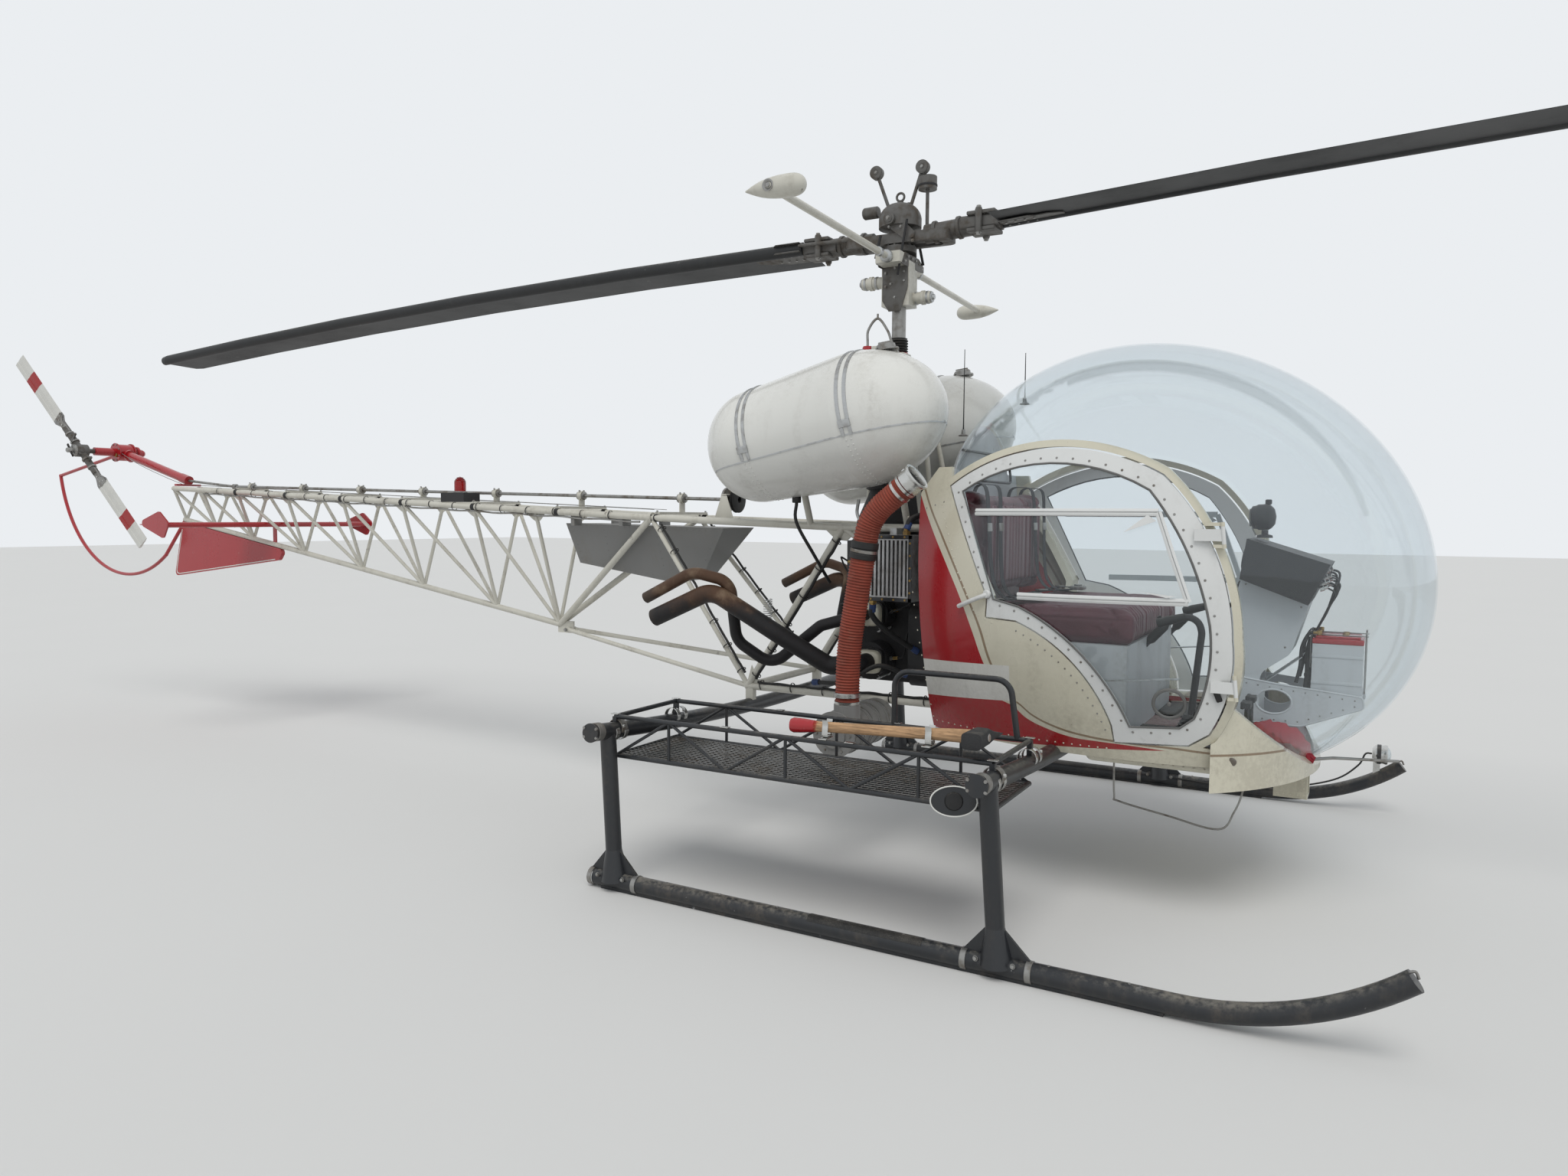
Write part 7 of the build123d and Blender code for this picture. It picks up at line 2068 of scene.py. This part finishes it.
def tail_fittings():
    """Fittings of the tail gearbox and of the tail rotor."""
    steel, bolts, links, plates_ = pieces(4)
    x, y, z = TAIL_HUB
    for side in SIDES:
        out = Vector((0, side, 0))
        for u, v in turns(8, 0.5):
            bolts.add(bolt(0.005, 0.006), spot_at(x + 0.062 * u, side * 0.06, z + 0.062 * v, out))
    steel.add(turned([(0.018, 0), (0.046, 0), (0.05, 0.004), (0.05, 0.014), (0.036, 0.02),
        (0.03, 0.042), (0.018, 0.044)], 32), spot_at(x, 0.09, z, (0, 1, 0)))
    steel.add(turned([(0, 0), (0.024, 0), (0.028, 0.006), (0.02, 0.02), (0, 0.024)], 28),
        spot_at(x, 0.133, z, (0, 1, 0)))
    bolts.done("tail_box_bolts", "steel")
    steel.done("tail_box_cover", "red")
    gauge_, cables = pieces(2)
    gauge_.add(rimmed(0.016, 0.012, 0.002, 20), spot_at(x + 0.02, -0.06, z - 0.02, (0, -1, 0)))
    gauge_.done("oil_sight", "brass")
    for sy in SIDES:
        run = [at(-5.58, sy * 0.03, 1.64), at(-5.8, sy * 0.04, 1.7), at(-6.1, sy * 0.045, 1.79),
            at(-6.33, sy * 0.048, 1.88)]
        cables.wire(run, 0.002, 1)
    cables.done("tail_cables", "steel")
    hub, hub_bolts = pieces(2)
    for s in SIDES:
        for r, wide in ((0.075, 0.032), (0.15, 0.03)):
            way = (tail_spot(s * (r + 0.01), 0) - tail_spot(s * r, 0)).normalized()
            hub.add(ring_form(0.0245, wide, 0.014, 0.002, 28), placed(tail_spot(s * r, 0), way))
        outline = [(0.172, -0.024), (0.262, -0.024), (0.292, -0.05), (0.322, -0.05), (0.322, 0.05),
            (0.292, 0.05), (0.262, 0.024), (0.172, 0.024)]
        for level in (0.0085, -0.0085):
            plates_.add(skinned([[tail_spot(s * r, level + lift, c * s) for r, c in outline]
                for lift in (-0.0012, 0.0012)]))
            direction = (tail_spot(s * 0.2, level * 5) - tail_spot(s * 0.2, 0)).normalized()
            for r in (0.185, 0.215, 0.245):
                hub_bolts.add(bolt(0.0062, 0.007), placed(tail_spot(s * r, level * 1.15, 0.0),
                    direction))
            for r, c in ((0.305, -0.03), (0.305, 0.03), (0.29, 0.0)):
                hub_bolts.add(bolt(0.0045, 0.005), placed(tail_spot(s * r, level * 1.15, c),
                    direction))
        links.bar([tail_spot(s * 0.052, -0.062, 0.048), tail_spot(s * 0.11, -0.01, 0.052)], 0.005)
        links.add(brick((0.06, 0.016, 0.012), 0.003), placed(tail_spot(s * 0.11, -0.006, 0.034),
            (0, 1, 0), tail_spot(0, 0, 0.1) - tail_spot(0, 0, 0)))
    axis = Vector((0, -1, 0))
    middle = at(x, y, z)
    hub.add(turned([(0.0, 0.098), (0.014, 0.098), (0.018, 0.092), (0.018, 0.06), (0.04, 0.056),
        (0.044, 0.05), (0.044, 0.04), (0.0, 0.04)], 32), placed(middle, axis))
    for s in SIDES:
        links.add(brick((0.115, 0.016, 0.01), 0.003), placed(middle + axis * 0.072, axis,
            tail_spot(0.1, 0) - tail_spot(0, 0)))
    hub.done("tail_hub_rings", "steel", "tail_rotor")
    hub_bolts.done("tail_hub_bolts", "bright", "tail_rotor")
    plates_.done("tail_blade_plates", "steel", "tail_rotor")
    links.done("tail_pitch_links", "rotor", "tail_rotor")


class HELI_OT_boom(bpy.types.Operator):
    """Gussets, cables, caps and rivets of the boom, beacon lens and the tail rotor's fittings"""
    bl_idname = "heli.boom"
    bl_label = "Boom and tail"

    def execute(self, context):
        boom_joints()
        boom_box()
        tail_surfaces()
        tail_fittings()
        return {"FINISHED"}


def skid_fittings():
    """Bolts, bands, caps and treads of the skids and cross tubes."""
    caps, bolts, plugs = pieces(3)
    for side in SIDES:
        y = side * SKID_Y
        for foot_x, top_x in zip(FOOT_X, RACK_X):
            for sx in SIDES:
                for sy in SIDES:
                    bolts.add(bolt(0.007, 0.008), spot_at(foot_x + sx * 0.06, y + sy * 0.0335,
                        0.058, (0, sy, 0.2)))
                caps.add(ring_form(0.0322, 0.0352, 0.02, 0.001, 32),
                    spot_at(foot_x + sx * 0.105 - 0.01, y, 0.038, (1, 0, 0)))
            for u, v in turns(4, 0.5):
                bolts.add(bolt(0.006, 0.007), spot_at(top_x + 0.04 * u, side * 1.4785, 0.625 + 0.04
                    * v * 0.6, (0, side, 0)))
            plugs.add(turned([(0, 0), (0.0335, 0), (0.0365, 0.002), (0.0365, 0.007), (0.0, 0.0085)],
                32), spot_at(top_x, side * 1.4755, 0.624, (0, side, 0.08)))
            caps.add(ring_form(0.0323, 0.035, 0.034, 0.001, 32), spot_at(top_x, side * 1.3, 0.6165,
                (0, side, 0.06)), spot_at(top_x, side * 1.43, 0.6215, (0, side, 0.06)))
        plugs.add(rimmed(0.0325, 0.006, 0.002, 32), spot_at(-0.64, y, 0.038, (-1, 0, 0)))
        for k in range(9):
            bolts.add(rivet(0.005, 0.5, 10), spot_at(-0.55 + 0.24 * k, y, 0.0702))
        hoop = [at(2.06, y, 0.255), at(2.085, y, 0.268), at(2.095, y, 0.25)]
        caps.wire(hoop, 0.004, 3, 5)
    caps.done("gear_clamps", "steel")
    bolts.done("gear_bolts", "steel")
    plugs.done("tube_caps", "black")
    tread = Piece()
    for side in SIDES:
        loops = []
        for i in range(13):
            x = 0.3 + 0.035 * i
            loops.append([at(x, side * SKID_Y + 0.0323 * sin(a), 0.038 + 0.0323 * cos(a))
                for a in [radians(-58 + 116 * k / 10) for k in range(11)]]
                + [at(x, side * SKID_Y + 0.0334 * sin(a), 0.038 + 0.0334 * cos(a))
                for a in [radians(58 - 116 * k / 10) for k in range(11)]])
        tread.add(skinned(loops))
    tread.done("skid_treads", "rubber")


def rack_fittings():
    """Wire mesh and clamps of the cargo rack, and the oval disc at its end."""
    wires, clamps, edge, boss = pieces(4)
    x0, x1, y0, y1, z = *RACK_X, *RACK_Y, 0.5145
    runs = []
    for i in range(61):
        x = x0 + (x1 - x0) * i / 60
        runs.append(([at(x, y0, z), at(x, y1, z)], 0.0014))
    for i in range(17):
        y = y0 + (y1 - y0) * i / 16
        runs.append(([at(x0, y, z + 0.0018), at(x1, y, z + 0.0018)], 0.0014))
    wires.add(tubes(runs, 1))
    wires.done("tray_mesh", "steel")
    for y in RACK_Y:
        for x in (x0, x1):
            clamps.add(ring_form(0.0325, 0.035, 0.022, 0.001, 32),
                spot_at(x, y - 0.036, 0.6065, (0, 1, -0.045)),
                spot_at(x, y + 0.014, 0.6045, (0, 1, -0.045)))
            clamps.add(bolt(0.006, 0.008), spot_at(x + 0.036, y, 0.63, (1, 0, 0)))
        for i in range(4):
            x = x0 + (x1 - x0) * i / 3
            clamps.add(brick((0.034, 0.02, 0.003), 0.001), spot_at(x, y, 0.6738))
    clamps.done("rack_clamps", "bright")
    spot = at(0.815, -1.38, 0.54)
    normal = Vector((0.45, -1, 0.1)).normalized()
    along = Vector((1, 0.45, 0)).normalized()
    across = normal.cross(along)
    rim = [spot + normal * 0.0075 + along * (0.074 * u) + across * (0.048 * v) for u,
        v in turns(48)]
    edge.bar(rim, 0.0024, 2, True)
    edge.done("disc_edge", "white")
    boss.add(turned([(0, 0), (0.03, 0), (0.026, 0.006), (0.012, 0.008), (0, 0.008)], 32),
        placed(spot + normal * 0.007, normal))
    boss.done("disc_boss", "rubber")


def rescue_axe():
    """The axe on the rack: oval handle, red grip, head, wedge and spring clips."""
    y = AXE_Y
    grip, head, edge, clips = pieces(4)

    def station(share, wide, high):
        middle = at(AXE_FOOT[0], y, AXE_FOOT[1]).lerp(at(AXE_HEAD[0], y, AXE_HEAD[1]), share)
        return [middle + Vector((0, wide * u, high * v)) for u, v in turns(24)]

    grip.add(skinned([station(*knot) for knot in ((0.0, 0.016, 0.021), (0.012, 0.019, 0.026),
        (0.07, 0.017, 0.024), (0.16, 0.013, 0.0185), (0.45, 0.0125, 0.0185), (0.75, 0.0135, 0.02),
        (0.9, 0.0145, 0.023), (1.0, 0.0145, 0.0235))]))
    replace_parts(grip.done("axe_handle", "timber"), "rack_axe")
    tip = Piece()
    tip.add(skinned([station(*knot) for knot in ((-0.004, 0.017, 0.0225), (0.0, 0.0185, 0.0235),
        (0.012, 0.0205, 0.0272), (0.065, 0.019, 0.0255), (0.13, 0.0153, 0.0208),
        (0.131, 0.013, 0.018))]))
    tip.done("axe_grip", "red")
    loops = []
    for dy, long, thick in ((-0.09, 0.03, 0.024), (-0.088, 0.033, 0.027), (-0.045, 0.032, 0.0275),
            (-0.02, 0.029, 0.0285), (0.02, 0.029, 0.027), (0.048, 0.036, 0.014),
            (0.078, 0.043, 0.006), (0.0945, 0.046, 0.0012)):
        loops.append([at(0.872 + long * squared(u, 0.45), y + dy, AXE_HEAD[1] + thick
            * squared(v, 0.45)) for u, v in turns(24)])
    head.add(skinned(loops))
    head.done("axe_head", "cast")
    edge.add(rimmed(0.013, 0.004, 0.001, 16), spot_at(0.899, y, 0.738, (1, 0, 0.05)))
    edge.done("axe_wedge", "bright")
    for x in (0.32, 0.7):
        middle = at(x, y, AXE_FOOT[1] + (AXE_HEAD[1] - AXE_FOOT[1]) * (x - AXE_FOOT[0])
            / (AXE_HEAD[0] - AXE_FOOT[0]))
        for s in SIDES:
            path = [middle + Vector((0, s * 0.004, -0.036)), middle + Vector((0, s * 0.018, -0.03)),
                middle + Vector((0, s * 0.018, -0.008)), middle + Vector((0, s * 0.0155, 0.012)),
                middle + Vector((0, s * 0.019, 0.026))]
            clips.add(strap(flowing(path, 5), (1, 0, 0), 0.022, 0.0012))
        clips.add(brick((0.03, 0.062, 0.004), 0.001), placed(middle + Vector((0, -0.008, -0.037))))
        clips.add(bolt(0.004, 0.004), placed(middle + Vector((0, 0, -0.0335))))
    clips.done("axe_clips", "bright")


def landing_light():
    """Bezel, reflector, domed glass, band and cable of the landing light."""
    bezel, glass, bracket, cable = pieces(4)
    middle = at(2.02, SKID_Y, LAMP_Z)
    way = Vector((1, 0, 0))
    bezel.add(hollow([(0.04, -0.01), (0.0462, -0.01), (0.0475, -0.004), (0.0475, 0.003),
        (0.044, 0.006), (0.04, 0.003)], 48), placed(middle, way))
    bezel.add(turned([(0.01, -0.026), (0.022, -0.024), (0.034, -0.012), (0.04, -0.002),
        (0.0395, -0.002), (0.033, -0.013), (0.021, -0.0255), (0.01, -0.0275)], 48),
        placed(middle, way))
    bezel.add(rimmed(0.006, 0.016, 0.002, 16), placed(middle - way * 0.026, way))
    glass.add(turned([(0, 0.022), (0.014, 0.0205), (0.026, 0.016), (0.035, 0.009), (0.04, 0.001),
        (0.0385, 0.001), (0.0335, 0.008), (0.025, 0.0145), (0.013, 0.0188), (0, 0.0202)], 48),
        placed(middle, way))
    bezel.done("light_bezel", "bright")
    glass.done("light_glass", "clear")
    for s in SIDES:
        bracket.add(bolt(0.007, 0.008), spot_at(1.985, SKID_Y + s * 0.0445, LAMP_Z, (0, s, 0)))
    bracket.add(ring_form(0.0455, 0.048, 0.018, 0.001, 40), spot_at(1.98, SKID_Y, LAMP_Z, way))
    bracket.done("light_band", "black")
    run = [at(1.958, SKID_Y, LAMP_Z), at(1.93, 1.372, 0.285), at(1.9, 1.366, 0.225),
        at(1.8, 1.352, 0.145), at(1.6, 1.345, 0.085), at(1.3, 1.3445, 0.05),
        at(1.05, 1.3445, 0.055)]
    cable.wire(run, 0.0042, 3, 8)
    cable.done("light_cable", "rubber")


class HELI_OT_gear(bpy.types.Operator):
    """Clamps, bolts and treads of the skids, the rack's mesh, the rescue axe and landing light"""
    bl_idname = "heli.gear"
    bl_label = "Landing gear"

    def execute(self, context):
        skid_fittings()
        rack_fittings()
        rescue_axe()
        landing_light()
        return {"FINISHED"}


def nose_cloth():
    """The red cloth bundled in the foot of the bubble"""
    bm = bmesh.new()
    top = flowing([at(1.56, -0.15, 0.658), at(1.615, -0.15, 0.676), at(1.675, -0.15, 0.668),
        at(1.738, -0.15, 0.63), at(1.78, -0.15, 0.552)], 12)
    low = flowing([at(1.552, -0.185, 0.628), at(1.6, -0.19, 0.596), at(1.655, -0.19, 0.568),
        at(1.715, -0.185, 0.545), at(1.772, -0.165, 0.53)], 12)
    rows = []
    for i, (a, b) in enumerate(zip(top, low)):
        u = i / (len(top) - 1)
        row = []
        for k in range(19):
            v = k / 18
            puff = 0.03 * sin(pi * v) * (0.35 + 0.65 * sin(pi * u) ** 0.6)
            fold = 0.0042 * sin(31.0 * u + 5.0 * v) + 0.003 * sin(53.0 * u - 9.0
                * v) + 0.0022 * sin(17.0 * v + 12.0 * u)
            row.append(bm.verts.new(a.lerp(b, v) + Vector((fold * 0.4, -puff + fold, fold * 0.5))))
        rows.append(row)
    for a, b in zip(rows, rows[1:]):
        for k in range(18):
            bm.faces.new((a[k], b[k], b[k + 1], a[k + 1]))
    bmesh.ops.recalc_face_normals(bm, faces=bm.faces)
    mesh = bpy.data.meshes.new("nose_cloth")
    bm.to_mesh(mesh)
    bm.free()
    mesh.shade_smooth()
    sheet = dressed("nose_cloth", mesh, "red_cloth")
    thick = sheet.modifiers.new("thickness", "SOLIDIFY")
    thick.thickness = 0.0016


def rear_wall():
    """Rivets and a bent rail on the cabin's rear wall"""
    bolts, vents = pieces(2)
    for y in (-0.46, -0.3, 0.3, 0.46):
        for z in (0.7, 0.95, 1.25, 1.6):
            bolts.add(rivet(0.004, 0.5), spot_at(0.3872, y, z, (-1, 0, 0)))
    bolts.done("bulkhead_rivets", "steel")
    frame_line = [at(0.43, y, z) for y, z in ((-0.36, 1.6), (0.36, 1.6), (0.3, 1.72), (-0.3, 1.72))]
    vents.bar(rounded(frame_line, 0.04, 5), 0.006)
    vents.done("bulkhead_rail", "black")


def side_fittings():
    """A toggle and a plug on the skin of each side, below the doors' front edge"""
    toggle = Piece()
    for side in SIDES:
        spot = on_side(1.5, 0.84, side, 0.006)
        out = off_side(1.5, 0.84, side)
        toggle.add(brick((0.046, 0.02, 0.014), 0.004), placed(spot, out, (0.4, 0, -1)))
    toggle.done("door_toggles", "rubber")
    cap = Piece()
    for side in SIDES:
        spot, out = on_side(1.54, 0.6, side, -0.001), off_side(1.54, 0.6, side)
        cap.add(turned([(0, 0), (0.017, 0), (0.018, 0.003), (0.013, 0.006), (0, 0.006)], 24),
            placed(spot, out))
    cap.done("skin_plugs", "steel")


class HELI_OT_nose(bpy.types.Operator):
    """Aerials, nose rods, belly rivets, scoop, rear wall trim and the red cloth in the bubble"""
    bl_idname = "heli.nose"
    bl_label = "Nose and antennas"

    def execute(self, context):
        whips, feet, wire, rivets = pieces(4)
        for x, z in ((0.283, 2.2), (0.535, 2.18)):
            base_z = 1.815 if x < 0.4 else 1.955
            y = 0.1 if x < 0.4 else 0.2
            whips.bar([at(x, y, base_z), at(x, y, base_z + 0.05), at(x, y, z)],
                [0.0042, 0.0028, 0.0016])
            feet.add(turned([(0, 0), (0.022, 0), (0.022, 0.004), (0.01, 0.01), (0.008, 0.03),
                (0, 0.03)], 24), spot_at(x, y, base_z - 0.006))
        whips.done("whip_aerials", "rubber")
        feet.done("aerial_feet", "steel")
        path = [at(1.531, -0.1, 0.497), at(1.531, -0.1, 0.391), at(1.5, -0.1, 0.29),
            at(1.443, -0.1, 0.213), at(1.25, -0.1, 0.24), at(1.059, -0.1, 0.273),
            at(1.04, -0.1, 0.3), at(1.035, -0.1, 0.498)]
        wire.wire(path, 0.004, 3, 8)
        rod_ = [at(1.7, -0.15, 0.53), at(1.837, -0.15, 0.557), at(2.049, -0.15, 0.57)]
        wire.bar(rod_, [0.0065, 0.0058, 0.005], 4)
        wire.done("nose_rods", "steel")
        for y in (-0.28, -0.14, 0.0, 0.14, 0.28):
            row(rivets, rivet(0.0032, 0.5), [(1.02, y, 0.4995), (1.44, y, 0.4995)], 0.035,
                (0, 0, -1))
        for s in (-1, 1):
            flank = [(1.03, s * 0.4305, 0.52), (1.43, s * 0.4305, 0.52)]
            row(rivets, rivet(0.0032, 0.5), flank, 0.035, (0, s, 0))
        rivets.done("belly_rivets", "cream")
        scoop = Piece()
        for s in (-1, 1):
            corner = [(1.645, s * 0.0603, 0.38), (1.74, s * 0.0603, 0.38), (1.74, s * 0.0603, 0.48)]
            row(scoop, rivet(0.003, 0.5), corner, 0.024, (0, s, 0))
        lip = [at(1.7505, y, z) for y, z in ((-0.0585, 0.3675), (0.0585, 0.3675), (0.0585, 0.49),
            (-0.0585, 0.49))]
        scoop.bar(lip, 0.0026, 2, True)
        for k in range(7):
            scoop.add(brick((0.002, 0.11, 0.004), 0.0008, 1), spot_at(1.742, 0, 0.38 + 0.016 * k,
                (0.4, 0, 1)))
        scoop.done("scoop_trim", "cream")
        nose_cloth()
        rear_wall()
        side_fittings()
        return {"FINISHED"}


# The sky as it is seen and mirrored, and as it lights; the key light; and the camera of the
# photograph: its place from the mast axis, its yaw, pitch and roll in degrees, and its focal
# length in millimetres
SKY_SEEN, SKY_LIGHT = (0.83, 0.855, 0.88), (0.93, 0.965, 1.0)
KEY_COLOUR, KEY_WAY = (1.0, 0.98, 0.95), (-0.25, 0.55, -1.0)
CAMERA_SPOT = (1.9736, -4.5069, 1.4407)
CAMERA_TURN = (119.706, -3.918, 0.346)
CAMERA_LENS = 24.153


class HELI_OT_stage(bpy.types.Operator):
    """Pale floor, soft light and the camera"""
    bl_idname = "heli.stage"
    bl_label = "Stage"

    def execute(self, context):
        look = context.scene.heli_stage
        scene = context.scene
        bm = bmesh.new()
        bmesh.ops.create_grid(bm, x_segments=2, y_segments=2, size=look.floor / 2)
        mesh = bpy.data.meshes.new("floor")
        bm.to_mesh(mesh)
        bm.free()
        s = Shader("pale_floor")
        shade = s.mix(s.noise(0.7, 5.0) * 0.25, (0.66, 0.66, 0.65), (0.6, 0.6, 0.59))
        mesh.materials.append(s.finish(base_color=shade, roughness=0.9))
        floor = bpy.data.objects.new("floor", mesh)
        scene.collection.objects.link(floor)
        scene.world = world = bpy.data.worlds.new("even_sky")
        s = Shader("even_sky", world)
        rays = s.node("ShaderNodeLightPath").outputs
        seen = s.math("MAXIMUM", Value(s, rays["Is Camera Ray"]), Value(s, rays["Is Glossy Ray"]))
        light, pale = (s.value("ShaderNodeBackground", 0, None, {0: (*colour, 1.0), 1: strength})
            for colour, strength in ((SKY_LIGHT, look.sky), (SKY_SEEN, 1.0)))
        choice = s.value("ShaderNodeMixShader", 0, None, {0: seen, 1: light, 2: pale})
        s.node("ShaderNodeOutputWorld", None, {0: choice})
        key = bpy.data.lights.new("soft_key", "SUN")
        key.energy = look.key
        key.angle = radians(35.0)
        key.color = KEY_COLOUR
        lamp = bpy.data.objects.new("soft_key", key)
        lamp.rotation_euler = Vector(KEY_WAY).to_track_quat("-Z", "Y").to_euler()
        lamp.visible_glossy = False
        scene.collection.objects.link(lamp)
        camera = bpy.data.cameras.new("camera")
        camera.lens = CAMERA_LENS
        camera.sensor_width = 36.0
        camera.clip_end = 300.0
        eye = bpy.data.objects.new("camera", camera)
        yaw, pitch, roll = (radians(turn) for turn in CAMERA_TURN)
        ahead = Vector((cos(pitch) * cos(yaw), cos(pitch) * sin(yaw), sin(pitch)))
        right = Vector((sin(yaw), -cos(yaw), 0.0))
        up = right.cross(ahead)
        right, up = right * cos(roll) + up * sin(roll), up * cos(roll) - right * sin(roll)
        stance = Matrix((right, up, -ahead)).transposed().to_4x4()
        eye.matrix_world = Matrix.Translation(at(*CAMERA_SPOT)) @ stance
        scene.collection.objects.link(eye)
        scene.camera = eye
        scene.view_settings.view_transform = "Standard"
        return {"FINISHED"}


OPERATORS = [HELI_OT_stage, HELI_OT_finishes, HELI_OT_cabin_trim, HELI_OT_intake_hose,
    HELI_OT_tanks, HELI_OT_seats, HELI_OT_instruments, HELI_OT_controls, HELI_OT_engine,
    HELI_OT_rotor, HELI_OT_boom, HELI_OT_gear, HELI_OT_nose]
LOOKS = {"heli_paint": PaintLook, "heli_cabin": CabinLook, "heli_hose": HoseLook,
    "heli_seat": SeatLook, "heli_stage": StageLook}


class HELI_PT_panel(bpy.types.Panel):
    """Lists the steps that dress the helicopter"""
    bl_idname = "HELI_PT_panel"
    bl_label = "Helicopter"
    bl_space_type = "VIEW_3D"
    bl_region_type = "UI"
    bl_category = "Helicopter"

    def draw(self, context):
        for operator in OPERATORS:
            self.layout.operator(operator.bl_idname)


def register():
    for kind in (*LOOKS.values(), *OPERATORS, HELI_PT_panel):
        bpy.utils.register_class(kind)
    for name, kind in LOOKS.items():
        setattr(bpy.types.Scene, name, PointerProperty(type=kind))


def unregister():
    for name in LOOKS:
        delattr(bpy.types.Scene, name)
    for kind in (HELI_PT_panel, *reversed(OPERATORS), *reversed(list(LOOKS.values()))):
        bpy.utils.unregister_class(kind)


def main():
    register()
    for operator in OPERATORS:
        group, step = operator.bl_idname.split(".")
        getattr(getattr(bpy.ops, group), step)()


if __name__ == "__main__":
    main()
